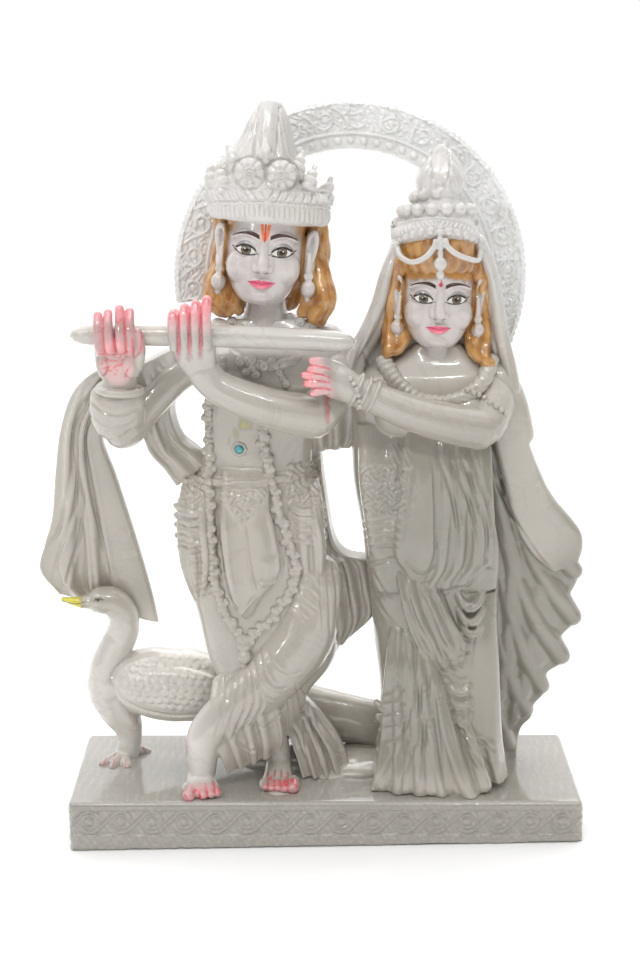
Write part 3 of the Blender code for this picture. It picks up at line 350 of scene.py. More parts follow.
class Chisel:
    """Cuts and raises the skin of a piece, in millimetres of the drawing."""

    def __init__(self, piece):
        self.piece = piece
        mesh = piece.data
        points = np.empty(len(mesh.vertices) * 3, np.float32)
        mesh.vertices.foreach_get("co", points)
        self.points = points.reshape(-1, 3).astype(float)
        normals = np.empty(len(mesh.vertices) * 3, np.float32)
        mesh.vertices.foreach_get("normal", normals)
        self.normals = normals.reshape(-1, 3).astype(float)
        self.seen = drawn(self.points)
        self.cut = np.zeros(len(self.points))
        self.front = smoothstep(0.02, 0.4, -self.normals[:, 1])

    def near(self, low, high, margin, depth):
        x, y, z = self.seen.T
        beside = (x > low[0] - margin) & (x < high[0] + margin)
        level = (z > low[1] - margin) & (z < high[1] + margin)
        return np.nonzero(beside & level & (y > depth[0]) & (y < depth[1]) & (self.front > 0))[0]

    def away(self, path, width, depth, steps=5):
        """Which points lie within width of a path of x and z, how far off they are and how far along it."""
        path = spline(path, steps)
        picked = self.near(path.min(0), path.max(0), width, depth)
        spots = self.seen[picked][:, [0, 2]]
        best = np.full(len(picked), 1e9)
        share = np.zeros(len(picked))
        for k, (start, end) in enumerate(zip(path, path[1:])):
            run = end - start
            t = np.clip(((spots - start) @ run) / max(run @ run, 1e-9), 0, 1)
            off = np.linalg.norm(spots - start - t[:, None] * run, axis=1)
            closer = off < best
            best[closer] = off[closer]
            share[closer] = (k + t[closer]) / (len(path) - 1)
        return picked, best, share

    def stroke(self, path, width, height, depth=(-60, 60), taper=0.18):
        """A ridge, or a groove where height is negative, along a path of x and z."""
        picked, best, share = self.away(path, width, depth)
        profile = bump(best, width)
        if taper:
            profile = profile * smoothstep(0, taper, share) * smoothstep(0, taper, 1 - share)
        self.cut[picked] += height * profile * self.front[picked]

    def fold(self, path, width, height, depth=(-60, 60)):
        """A fold: a groove along the path with a soft ridge rising on either side of it."""
        self.stroke(path, width, -height, depth)
        self.stroke(path, width * 2.6, height * 0.75, depth)

    def done(self):
        moved = self.points + self.normals * (self.cut * SHARE)[:, None]
        self.piece.data.vertices.foreach_set("co", moved.astype(np.float32).ravel())
        self.piece.data.update()
        return self.piece


class Brush:
    """Lays colour on the points of a piece, in the layers that the painter put down."""

    def __init__(self, piece):
        self.piece = piece
        chisel = Chisel(piece)
        self.seen, self.front = chisel.seen, chisel.front
        self.away = chisel.away
        self.layer = np.zeros((len(self.seen), 4))

    def lay(self, colour, cover):
        cover = np.clip(cover, 0, 1)[:, None]
        self.layer[:, :3] = self.layer[:, :3] * (1 - cover) + np.array(colour) * cover
        self.layer[:, 3:] = self.layer[:, 3:] + (1 - self.layer[:, 3:]) * cover

    def line(self, colour, path, width, depth=(-70, 60), strength=1.0):
        picked, best, share = self.away(path, width, depth)
        cover = np.zeros(len(self.seen))
        cover[picked] = smoothstep(width, width * 0.35, best) * strength
        cover[picked] *= smoothstep(-0.01, 0.12, share) * smoothstep(-0.01, 0.12, 1 - share)
        self.lay(colour, cover)

    def blob(self, colour, centre, radii, soft=0.4, strength=1.0):
        off = np.linalg.norm((self.seen - centre) / np.broadcast_to(radii, 3), axis=1)
        self.lay(colour, smoothstep(1, 1 - soft, off) * strength)

    def done(self):
        attribute = self.piece.data.color_attributes.new("paint", "FLOAT_COLOR", "POINT")
        attribute.data.foreach_set("color", self.layer.astype(np.float32).ravel())


class Signal:
    """A number or colour that varies over a surface; sums on it add the nodes that work them out."""

    def __init__(self, finish, socket):
        self.finish = finish
        self.socket = socket

    def step(self, operation, *values):
        inputs = dict(enumerate((self, *values)))
        return self.finish.node("ShaderNodeMath", {"operation": operation}, inputs)

    def __add__(self, other):
        return self.step("ADD", other)

    def __sub__(self, other):
        return self.step("SUBTRACT", other)

    def __rsub__(self, other):
        return self.finish.node("ShaderNodeMath", {"operation": "SUBTRACT"}, {0: other, 1: self})

    def __mul__(self, other):
        return self.step("MULTIPLY", other)

    def __truediv__(self, other):
        return self.step("DIVIDE", other)

    __radd__ = __add__
    __rmul__ = __mul__

    def size(self):
        return self.step("ABSOLUTE")

    def root(self):
        return self.step("SQRT")

    def most(self, other):
        return self.step("MAXIMUM", other)

    def soft(self, low, high, start=0.0, end=1.0):
        """Runs softly from start at low to end at high; low may be above high."""
        if low > high:
            low, high, start, end = high, low, end, start
        inputs = {"Value": self, "From Min": low, "From Max": high, "To Min": start, "To Max": end}
        return self.finish.node("ShaderNodeMapRange", {"interpolation_type": "SMOOTHSTEP"}, inputs)


class Finish:
    """One material: its shader, and the one way in which any other node is added."""

    def __init__(self, name):
        self.material = bpy.data.materials.new(name)
        self.material.use_nodes = True
        self.tree = self.material.node_tree
        self.shader = self.tree.nodes["Principled BSDF"]

    def node(self, kind, settings=None, inputs=None, output=0):
        made = self.tree.nodes.new(kind)
        for setting, value in (settings or {}).items():
            setattr(made, setting, value)
        for name, value in (inputs or {}).items():
            self.give(made.inputs[name], value)
        return Signal(self, made.outputs[output])

    def give(self, socket, value):
        if isinstance(value, Signal):
            self.tree.links.new(value.socket, socket)
        else:
            socket.default_value = (*value, 1.0) if socket.type == "RGBA" else value

    def set(self, **values):
        for name, value in values.items():
            self.give(self.shader.inputs[name.replace("_", " ")], value)

    def mixed(self, cover, under, over):
        """Colour over laid on colour under as far as cover says."""
        settings = {"data_type": "RGBA", "clamp_factor": True}
        return self.node("ShaderNodeMix", settings, {0: cover, 6: under, 7: over}, 2)


def marble_colour(finish, place):
    """White marble with soft grey clouds, a warm cast and faint veins, over painted light and shade: paler
    low down and on the swan, greyer on the bodies, darker on the companion's dress, and whitest on the crowns
    and the arch.
    """
    cloud = finish.node(
        "ShaderNodeTexNoise", None, {"Vector": place, "Scale": 26.0, "Detail": 4.0, "Roughness": 0.6}
    )
    warm = finish.node(
        "ShaderNodeTexNoise", None, {"Vector": place, "Scale": 9.0, "Detail": 3.0, "Roughness": 0.5}
    )
    grain = finish.node("ShaderNodeTexNoise", None, {"Vector": place, "Scale": 900.0, "Detail": 2.0})
    vein = finish.node(
        "ShaderNodeTexNoise", None, {
            "Vector": place, "Scale": 14.0, "Detail": 6.0, "Roughness": 0.62, "Distortion": 1.2
        }
    )
    across = finish.node("ShaderNodeSeparateXYZ", None, {0: place}, 0)
    deep = finish.node("ShaderNodeSeparateXYZ", None, {0: place}, 1)
    up = finish.node("ShaderNodeSeparateXYZ", None, {0: place}, 2)
    # painted light and shade: lighter and darker copies of the one marble, set by height and by place
    colour = finish.mixed(up.soft(0.036, 0.022), MIDDLE_SHADED_MARBLE, LOW_LIT_MARBLE)
    colour = finish.mixed(
        across.soft(-0.06, -0.085) * up.soft(0.145, 0.12) * up.soft(0.03, 0.036), colour, SWAN_LIT_MARBLE
    )
    sleeve = across.soft(0.106, 0.118) * deep.soft(0.006, -0.004)
    dress = across.soft(0.022, 0.04) * up.soft(0.033, 0.05) * up.soft(0.285, 0.235) * (1 - sleeve)
    colour = finish.mixed(dress, colour, DRESS_SHADED_MARBLE)
    colour = finish.mixed(up.soft(0.25, 0.4), colour, TOP_LIT_MARBLE)
    colour = finish.mixed(deep.soft(0.010, 0.022) * up.soft(0.27, 0.35), colour, ARCH_LIT_MARBLE)
    colour = finish.mixed(cloud.soft(0.35, 0.72) * 0.25, colour, GREY_MARBLE)
    colour = finish.mixed(warm.soft(0.48, 0.7) * 0.3, colour, WARM_MARBLE)
    colour = finish.mixed((vein - 0.5).size().soft(0.016, 0.0) * 0.22, colour, VEIN)
    return finish.mixed(grain.soft(0.55, 0.8) * 0.12, colour, VEIN)


def polish(finish, place, rough=0.2, deep=0.05):
    """The hand-rubbed skin: slight waves in the polish, and a clear coat where it is glossiest."""
    waves = finish.node("ShaderNodeTexNoise", None, {"Vector": place, "Scale": 160.0, "Detail": 2.0})
    specks = finish.node("ShaderNodeTexNoise", None, {"Vector": place, "Scale": 1500.0, "Detail": 2.0})
    patchy = finish.node("ShaderNodeTexNoise", None, {"Vector": place, "Scale": 40.0, "Detail": 3.0})
    height = waves * 1.0 + specks * 0.12
    normal = finish.node("ShaderNodeBump", None, {"Strength": 0.5, "Distance": deep / 100, "Height": height})
    finish.set(Normal=normal, Roughness=patchy.soft(0.3, 0.75, rough * 0.75, rough * 1.5))
    finish.set(Coat_Weight=1.0, Coat_Roughness=0.035, Specular_IOR_Level=0.5)
    finish.set(Subsurface_Weight=0.08, Subsurface_Radius=(1.0, 0.8, 0.65), Subsurface_Scale=0.003)


# Painted light and shade in the stone's colour: whitest on the arch and the crowns, pale on the swan, and
# greyer and warmer on the dresses
ARCH_LIT_MARBLE = (0.88, 0.88, 0.87)
TOP_LIT_MARBLE = (0.68, 0.66, 0.64)
MIDDLE_SHADED_MARBLE = (0.455, 0.42, 0.365)
DRESS_SHADED_MARBLE = (0.285, 0.266, 0.22)
SWAN_LIT_MARBLE = (0.66, 0.625, 0.57)
LOW_LIT_MARBLE = (0.55, 0.515, 0.45)
GREY_MARBLE = (0.40, 0.385, 0.355)
WARM_MARBLE = (0.48, 0.43, 0.35)
VEIN = (0.32, 0.30, 0.27)


def painted_marble():
    """Polished marble that also shows the paint laid on its points."""
    finish = Finish("polished marble")
    place = finish.node("ShaderNodeTexCoord", output=3)
    colour = marble_colour(finish, place)
    paint = finish.node("ShaderNodeAttribute", {"attribute_name": "paint"}, output=0)
    cover = finish.node("ShaderNodeAttribute", {"attribute_name": "paint"}, output=3)
    streaks = finish.node("ShaderNodeTexNoise", None, {"Vector": place, "Scale": 420.0, "Detail": 3.0})
    cover = cover * streaks.soft(0.2, 0.5, 0.82, 1.0)
    finish.set(Base_Color=finish.mixed(cover, colour, paint))
    polish(finish, place)
    return finish.material


def painted_face(name, head, mark):
    """Marble with a face painted on it in fine brushwork: brows, lined eyes, lips and the forehead's mark.
    The face is drawn in millimetres in the head's own frame, its left half mirrored from its right."""
    finish = Finish(name)
    place = finish.node("ShaderNodeTexCoord", output=3)
    centre, roll, yaw, pitch, size = head
    matrix = turn_matrix(roll, yaw, pitch)
    tilt = Matrix([list(row) for row in matrix]).to_euler("XYZ")
    scale = size * SHARE
    local = finish.node(
        "ShaderNodeMapping",
        {"vector_type": "TEXTURE"},
        {"Vector": place, "Location": tuple(placed(centre)), "Rotation": tuple(tilt), "Scale": (scale,) * 3},
    )
    x = finish.node("ShaderNodeSeparateXYZ", None, {0: local}, 0)
    y = finish.node("ShaderNodeSeparateXYZ", None, {0: local}, 1)
    z = finish.node("ShaderNodeSeparateXYZ", None, {0: local}, 2)
    side = x.size()
    front = y.soft(-8.0, -12.0)

    def line(off, half, soft=0.16):
        return off.size().soft(half + soft, half - soft)

    def within(value, low, high, soft=0.5):
        return value.soft(low - soft, low + soft) * value.soft(high + soft, high - soft)

    def disc(across, up, wide, high, soft=0.06):
        off = ((side - across) * (side - across) / wide**2 + (z - up) * (z - up) / high**2).root()
        return off.soft(1 + soft, 1 - soft)

    colour = marble_colour(finish, place)
    colour = finish.mixed(front * 0.35, colour, FACE_WHITE)
    # the eyes: lids as two bows between the corners, a little higher outside than inside
    off = side - EYE_ACROSS
    level = z - EYE_UP - off * 0.09
    bow = 1 - off * off / EYE_HALF**2
    upper = bow * EYE_OPEN
    lower = bow * -EYE_BELOW
    open_eye = (level - upper).soft(0.15, -0.15) * (level - lower).soft(-0.15, 0.15) * bow.soft(-0.02, 0.05)
    shade = (level - upper - 2.0 * bow.most(0.0)).soft(0.9, -0.9) * (level - upper).soft(-0.3, 0.3)
    shade = shade * within(off, -6.4, 6.6, 0.9) * front
    colour = finish.mixed(shade * 0.72, colour, LID_GREY)
    crease = line(level - upper - 2.1 * bow.most(0.0) - 0.2, 0.22) * within(off, -5.4, 7.4, 1.2) * front
    colour = finish.mixed(crease * 0.6, colour, KOHL)
    colour = finish.mixed(open_eye * front, colour, EYE_WHITE)
    pupil_off = ((off - 0.1) * (off - 0.1) + (level - 0.55) * (level - 0.55)).root()
    iris = pupil_off.soft(3.2, 2.95) * open_eye * front
    ring = finish.mixed(pupil_off.soft(1.3, 2.5), IRIS_DARK, IRIS)
    ring = finish.mixed(pupil_off.soft(2.4, 3.0), ring, KOHL)
    ring = finish.mixed(pupil_off.soft(1.6, 1.3), ring, KOHL)
    glint_off = ((off - 0.8) * (off - 0.8) + (level - 1.3) * (level - 1.3)).root()
    ring = finish.mixed(glint_off.soft(0.5, 0.3), ring, EYE_WHITE)
    colour = finish.mixed(iris, colour, ring)
    lash = line(level - upper - 0.2, 0.66) * within(off, -6.2, 6.3, 0.35)
    tail = line(level - (off - EYE_HALF) * 0.34 - 0.1, 0.42) * within(off, 5.2, 8.6, 0.5)
    under = line(level - lower + 0.12, 0.46) * within(off, -6.0, 6.6, 0.4)
    inner = line(level + (off + EYE_HALF) * -0.3 + 0.35, 0.26) * within(off, -7.6, -5.8, 0.4)
    colour = finish.mixed(lash.most(tail).most(under * 0.92).most(inner) * front, colour, KOHL)
    # the brows: one rising arc each, thick inside and thin outside
    arc = z - (BROW_UP - (side - 10.5) * (side - 10.5) * 0.040) - (side - 10.5) * 0.02
    brow = (arc.size() - side.soft(5.0, 19.5, 1.25, 0.4)).soft(0.16, -0.16) * within(side, 3.2, 19.4, 0.5)
    colour = finish.mixed(brow * front * 0.96, colour, BROW_BROWN)
    # the nostrils and the lips
    nostril = disc(2.5, -9.9, 1.5, 0.62, 0.5) * y.soft(-20.0, -22.0)
    colour = finish.mixed(nostril * 0.55, colour, SHADOW)
    edge = 1 - side * side / LIP_HALF**2
    top = edge * 2.1 - side.soft(1.6, 0.0) * 0.62 - 15.9
    bottom = -15.9 - edge * 3.4
    lips = (z - top).soft(0.2, -0.2) * (z - bottom).soft(-0.25, 0.25) * edge.soft(-0.01, 0.06) * front
    tint = finish.mixed((z + 16.4).soft(-1.6, 1.8), LIP_PINK, LIP_ROSE)
    # a painted highlight: a paler pink spot on the fullest part of the lower lip
    tint = finish.mixed(disc(0.9, -18.2, 2.4, 0.7, 0.6) * 0.5, tint, LIP_HIGHLIGHT)
    colour = finish.mixed(lips * 0.96, colour, tint)
    parting = (
        line(z + 15.95 + side.soft(2.2, 0.0) * 0.45 - side * side * 0.006, 0.2, 0.2) * side.soft(9.0, 7.6)
        * front
    )
    colour = finish.mixed(parting * 0.85, colour, LIP_DEEP)
    colour = mark(finish, colour, x, z, front, line, within)
    brushed = finish.node("ShaderNodeAttribute", {"attribute_name": "paint"}, output=0)
    cover = finish.node("ShaderNodeAttribute", {"attribute_name": "paint"}, output=3)
    finish.set(Base_Color=finish.mixed(cover, colour, brushed))
    polish(finish, place, rough=0.2)
    # the painted lines dry duller than the polished stone round them
    inked = brow.most(lash).most(under).most(lips * 0.4).most(iris * 0.6) * front
    finish.set(Coat_Weight=1 - inked * 0.85, Specular_IOR_Level=0.4)
    return finish.material


def forked_mark(finish, colour, x, z, front, line, within):
    """Two upright strokes joined below in a U, with a red stroke between them."""
    fork = (x.size() - z.soft(13.0, 27.0, 1.6, 3.3)).size()
    strokes = fork.soft(1.1, 0.7) * within(z, 12.0, 28.0, 0.4)
    foot = ((x * x + (z - 11.6) * (z - 11.6) * 0.45).root() - 1.0).soft(1.0, 0.5)
    wash = x.size().soft(3.0, 1.2) * within(z, 11.5, 27.0, 1.2) * 0.35
    colour = finish.mixed(wash * front, colour, MARK_LIGHT)
    colour = finish.mixed(strokes.most(foot) * front * 0.92, colour, MARK_ORANGE)
    middle = line(x, 0.45, 0.3) * within(z, 8.6, 26.0, 0.8)
    return finish.mixed(middle * front * 0.9, colour, MARK_RED)


def dot_mark(finish, colour, x, z, front, line, within):
    """A small red drop between the brows."""
    drop = (x * x + (z - 12.6) * (z - 12.6) * 0.8).root().soft(1.45, 1.15)
    comma = line(x + (z - 15.2) * 0.35, 0.35, 0.25) * within(z, 13.2, 16.6, 0.4)
    return finish.mixed(drop.most(comma) * front * 0.95, colour, BINDI_RED)


# Where the parts of the painted face lie, in millimetres of the head's own frame, and its colours
EYE_ACROSS = 10.6
EYE_UP = 2.4
EYE_HALF = 7.1
EYE_OPEN = 3.1
EYE_BELOW = 2.2
BROW_UP = 13.2
LIP_HALF = 8.2

FACE_WHITE = (0.68, 0.585, 0.59)
EYE_WHITE = (0.74, 0.72, 0.68)
LID_GREY = (0.20, 0.21, 0.20)
KOHL = (0.022, 0.016, 0.014)
IRIS = (0.17, 0.13, 0.065)
IRIS_DARK = (0.07, 0.05, 0.028)
BROW_BROWN = (0.055, 0.022, 0.016)
SHADOW = (0.20, 0.18, 0.18)
LIP_PINK = (0.86, 0.16, 0.26)
LIP_ROSE = (0.78, 0.10, 0.20)
LIP_HIGHLIGHT = (0.93, 0.38, 0.45)
LIP_DEEP = (0.38, 0.03, 0.07)
MARK_LIGHT = (0.93, 0.50, 0.28)
MARK_ORANGE = (0.87, 0.20, 0.06)
MARK_RED = (0.62, 0.03, 0.02)
BINDI_RED = (0.72, 0.03, 0.09)

# Paint on the hair, hands, feet, beak and plinth, and the navel's stone
BEAK_YELLOW = (0.70, 0.62, 0.06)
CLAW_BLACK = (0.03, 0.022, 0.02)
CRACK_GREY = (0.22, 0.22, 0.20)
TEAL = (0.04, 0.30, 0.33)
TEAL_PALE = (0.12, 0.45, 0.46)
TEAL_DARK = (0.02, 0.12, 0.16)
FOOT_GREY = (0.40, 0.39, 0.365)
HAIR_GOLD = (0.50, 0.235, 0.055)
HAIR_BROWN = (0.27, 0.095, 0.018)
HAIR_LIGHT = (0.66, 0.38, 0.13)
SKIN_PINK = (0.93, 0.30, 0.34)
PALE_PINK = (0.90, 0.56, 0.56)
LINE_RED = (0.72, 0.045, 0.075)
THREAD_YELLOW = (0.62, 0.55, 0.12)


# ---------------------------------------------------------------- the flute player


def carve_face(clay, head):
    """A calm, even face in the head's own frame: chin at -30, hairline at 30."""
    clay.move = in_head(head)
    clay.mass(
        (-30.5, -6, 6, -18, -8), (-28.4, -12, 12, -21, -2), (-23.5, -17, 17, -22.2, 8),
        (-15, -21, 21, -22.4, 14), (-5, -23.4, 23.4, -22.5, 19), (6, -24, 24, -21.5, 25),
        (17, -24.5, 24.5, -21.5, 28), (28, -23, 23, -18.5, 28), (36, -19, 19, -11, 25), (42, -11, 11, -3, 17),
        (44, -3, 3, 4, 9),
        power=2.1,
    )
    clay.limb(
        (0, -20.2, 11, 2.8, 2.2), (0, -22.4, 3, 2.9, 2.8), (0, -25.4, -4.4, 3.6, 3.2), steps=5, sides=20
    )
    clay.ball((0, -25.2, -6.6), (3.8, 3.5, 3.1))
    clay.ball((0, -18.6, -25), (8, 5, 5))
    for side in (-1, 1):
        clay.ball((side * 4.0, -22.8, -7.4), (2.7, 3.1, 2.3))
        clay.limb(
            (side * 2.6, -19.4, 8, 2.4, 2.4), (side * 3.4, -20.4, 0, 3, 3), (side * 4.4, -20.6, -6, 3.2, 3),
            sides=16
        )
        clay.ball((side * 11.5, -12.0, -8), (11, 9.4, 12.5))
        clay.ball((side * EYE_ACROSS, -15.9, EYE_UP), (7.6, 6.2, 4.6))
        clay.limb(
            (side * 19, -15, 9.5, 1.6, 1.6),
            (side * 11, -19.8, 13.0, 2, 1.8),
            (side * 3, -20.4, 9.5, 1.6, 1.6),
            sides=16,
        )
        clay.limb(
            (side * 7.4, -20.6, -15.9, 0.7, 0.7),
            (side * 3.2, -22.9, -14.6, 1.5, 1.5),
            (0, -23.3, -15.2, 1.4, 1.4),
            sides=16,
        )
    clay.limb((-6.4, -21, -17, 0.8, 0.8), (0, -22.9, -17.9, 2.2, 1.9), (6.4, -21, -17, 0.8, 0.8), sides=16)
    clay.move = None


def carve_ears(clay, head, drop, flare):
    """Long ears with a rolled rim, a little forward of the hair, each with a drop under its lobe."""
    clay.move = in_head(head)
    for side in (-1, 1):
        out = side * (26.4 + (flare if side > 0 else 0))
        clay.ball((out - side * 1.2, -5, 4), (4.6, 4.2, 11.5), roll=side * 5)
        clay.ball((out - side * 1.0, -6.4, -6), (3.6, 3.4, 7))
        clay.limb(
            (out - side * 0.6, -9.6, -7, 1.5, 1.5),
            (out + side * 1.2, -8.4, 1, 1.5, 1.6),
            (out + side * 2.2, -7.6, 9, 1.7, 1.8),
            (out + side * 0.8, -8.6, 14.4, 1.7, 1.7),
            (out - side * 1.8, -10.8, 12, 1.4, 1.4),
            (out - side * 2.4, -11.4, 7, 1.0, 1.0),
            sides=16,
        )
        clay.limb(
            (out - side * 1.6, -11, 2, 1.4, 1.4), (
                out - side * 1.2, -10.6, -3, 1.6, 1.4
            ), (out - side, -9, -9, 2.4, 2), sides=16
        )
        clay.limb((out - side, -6, 0, 2.6, 3), (out - side * 0.8, -8, -12, 2.6, 2.4), steps=4, sides=16)
        clay.hoop((out - side * 0.8, -9.2, -11.8), (2.3, 2.3), 0.8, pitch=90)
        clay.ball((out - side * 0.4, -10, -14.4 - drop), (4.5, 4.2, drop * 1.1))
        clay.ball((out - side * 0.4, -10, -15.6 - 2 * drop), (1.8, 1.8, 2))
    clay.move = None


def head_piece(name, head, drop, flare, neck):
    """A head with its neck, ears and earrings, as one piece."""
    clay = Clay()
    carve_face(clay, head)
    carve_ears(clay, head, drop, flare)
    clay.limb(*neck)
    piece = clay.fused(name, 0.5, 2)
    chisel = Chisel(piece)
    spot = from_head(head, chisel.seen)
    x, y, z = spot.T
    side = np.abs(x)
    ahead = (y < -12) * chisel.front
    off = (side - EYE_ACROSS) / EYE_HALF
    bow = np.clip(1 - off**2, 0, 1)
    level = z - EYE_UP - (side - EYE_ACROSS) * 0.09
    # lids stand a little proud of the ball of the eye, and the lips part along a line
    chisel.cut += ahead * bump(level - bow * (EYE_OPEN + 0.9), 1.3) * 0.42 * (bow > 0)
    chisel.cut -= ahead * bump(level - bow * (EYE_OPEN + 2.6), 1.0) * 0.22 * (bow > 0)
    chisel.cut += ahead * bump(level + bow * (EYE_BELOW + 0.5), 1.0) * 0.22 * (bow > 0)
    chisel.cut -= ahead * bump(z + 15.9 - side**2 * 0.006, 0.8) * 0.35 * smoothstep(8.5, 6.5, side)
    chisel.cut -= bump(np.hypot((side - 2.4) / 1.3, (z + 9.9) / 0.8), 1) * 0.8 * (y < -20)
    chisel.cut -= ahead * bump(x, 1.0) * smoothstep(-13.6, -12.6, z) * smoothstep(-10.4, -11.4, z) * 0.35
    shell = side - 25.4 - flare * (x > 0)
    chisel.cut -= bump(np.hypot(shell / 2.2, (z - 7) / 5.4), 1) * 1.5 * (y < -6) * (side > 23)
    chisel.done()
    return piece


def wavy_hair(piece, head, seed, waves=8.0):
    """Combs a piece of hair into soft waves that fall away from the parting, and paints it golden brown, with
    painted shade in the grooves between the strands and painted highlights on their crests.
    """
    chisel = Chisel(piece)
    x, y, z = from_head(head, chisel.seen).T
    side = np.abs(x)
    sway = 2.4 * np.sin(z / 7.5 + np.sign(x) * 0.8) + 0.8 * np.sin(z / 3.1 + side * 0.2)
    comb = side * 0.9 + y * 0.55 + sway
    strand = np.sin(comb * FULL_TURN / waves + 0.9 * ripple(chisel.seen, 24, seed))
    fine = np.sin(comb * FULL_TURN / (waves * 0.36) + 1.3)
    swell = np.sin(z / 4.6 + side * 0.12 + np.sign(x))
    chisel.cut += 0.42 * strand + 0.1 * fine + 0.5 * swell
    chisel.done()
    brush = Brush(piece)
    brush.lay(HAIR_GOLD, np.ones(len(x)))
    patch = ripple(chisel.seen, 15, seed + 1) + 0.5 * ripple(chisel.seen, 5, seed + 2)
    brush.lay(HAIR_BROWN, smoothstep(0.0, 0.9, patch) * 0.7)
    # painted shade: darker brown in the grooves between the strands
    brush.lay(HAIR_BROWN, smoothstep(-0.45, -0.95, strand) * 0.5)
    brush.lay(HAIR_LIGHT, smoothstep(0.1, -0.8, patch) * 0.6)
    # painted highlight: paler gold on the crests of the strands
    brush.lay(HAIR_LIGHT, smoothstep(0.55, 1.0, strand) * 0.35)
    return brush


def first_head():
    neck = ((-32, 5, 312, 19, 15), (-31.5, 4, 324, 15, 14), (-31, 3, 334, 12.5, 13), (-31, 3, 344, 12.5, 13))
    piece = thinned(head_piece("first_head", FIRST_HEAD, 5, 2.0, neck))
    brush = Brush(piece)
    x, y, z = from_head(FIRST_HEAD, brush.seen).T
    side = np.abs(x)
    edge = smoothstep(10, 19, side - (26 - z) * 0.32 + 1.2 * ripple(brush.seen, 5, 2)) * smoothstep(4, 14, z)
    edge = np.maximum(edge, smoothstep(20.5, 23.2, side) * smoothstep(-24, -12, z)) * (side < 24.6) * (y < 6)
    brush.lay(HAIR_LIGHT, edge * 0.85)
    brush.lay(HAIR_GOLD, smoothstep(0.5, 1.0, edge) * 0.9)
    brush.done()
    return piece


def first_hair():
    """The hair falls behind the ears in a wavy curtain on either side of the neck."""
    clay = Clay()
    clay.ball((-30, 12, 366), (28, 17, 34))
    clay.ball((-30, 14, 342), (26, 12, 15))
    curtains = (
        (
            (-54, 5, 392, 8), (-55.4, 4, 376, 6.6), (-56.6, 4, 361, 6.6), (-61, 1, 348, 8.4),
            (-61, -3, 338, 7.6), (-55, -4, 332, 5)
        ),
        ((-48, -1, 372, 5), (-51, -1, 358, 5), (-53, -2, 346, 5.6), (-51, -4, 337, 5.4), (-47, -5, 333, 4)),
        (
            (-2, 5, 388, 8), (1.5, 5, 372, 7), (1.8, 4, 358, 7), (2, 1, 348, 7.5), (4, -3, 338, 8.4),
            (1, -4, 328.6, 7)
        ),
        ((-8, -1, 370, 5), (-6, -1, 356, 5), (-5, -2, 346, 5.6), (-5, -4, 336, 6), (-8, -5, 331, 4)),
    )
    for curtain in curtains:
        clay.rope(curtain)
    piece = thinned(clay.fused("first_hair", 0.6, 2))
    wavy_hair(piece, FIRST_HEAD, 3).done()
    return piece


def angle_round(chisel, centre, roll):
    """How far round the crown's own axis each point lies from the front, in degrees."""
    x, y, _ = turned(chisel.seen - centre, -roll).T
    return np.degrees(np.arctan2(x, -y))


def as_seen(points, front):
    """How high each point looks from the front against the plane y = front, for rows drawn in that plane."""
    return points[:, 2] + SEEN_SLOPE * (points[:, 1] - front)


def leaves(along, up, pitch, high, slant):
    """A row of slanted leaves: each bulges along its rib and ends in a round tip."""
    place = (along - slant * up) / pitch
    off = np.abs(place % 1 - 0.5) * 2
    tip = 1 - off**2 * 0.55
    body = (
        np.sqrt(np.clip(1 - off**2, 0, 1)) * smoothstep(0, 0.12, up / high)
        * smoothstep(tip, tip - 0.18, up / high)
    )
    return body - 0.35 * bump(off, 0.22) * body


ROSETTES = ((-38.0, 416.4), (-19.3, 414.8))


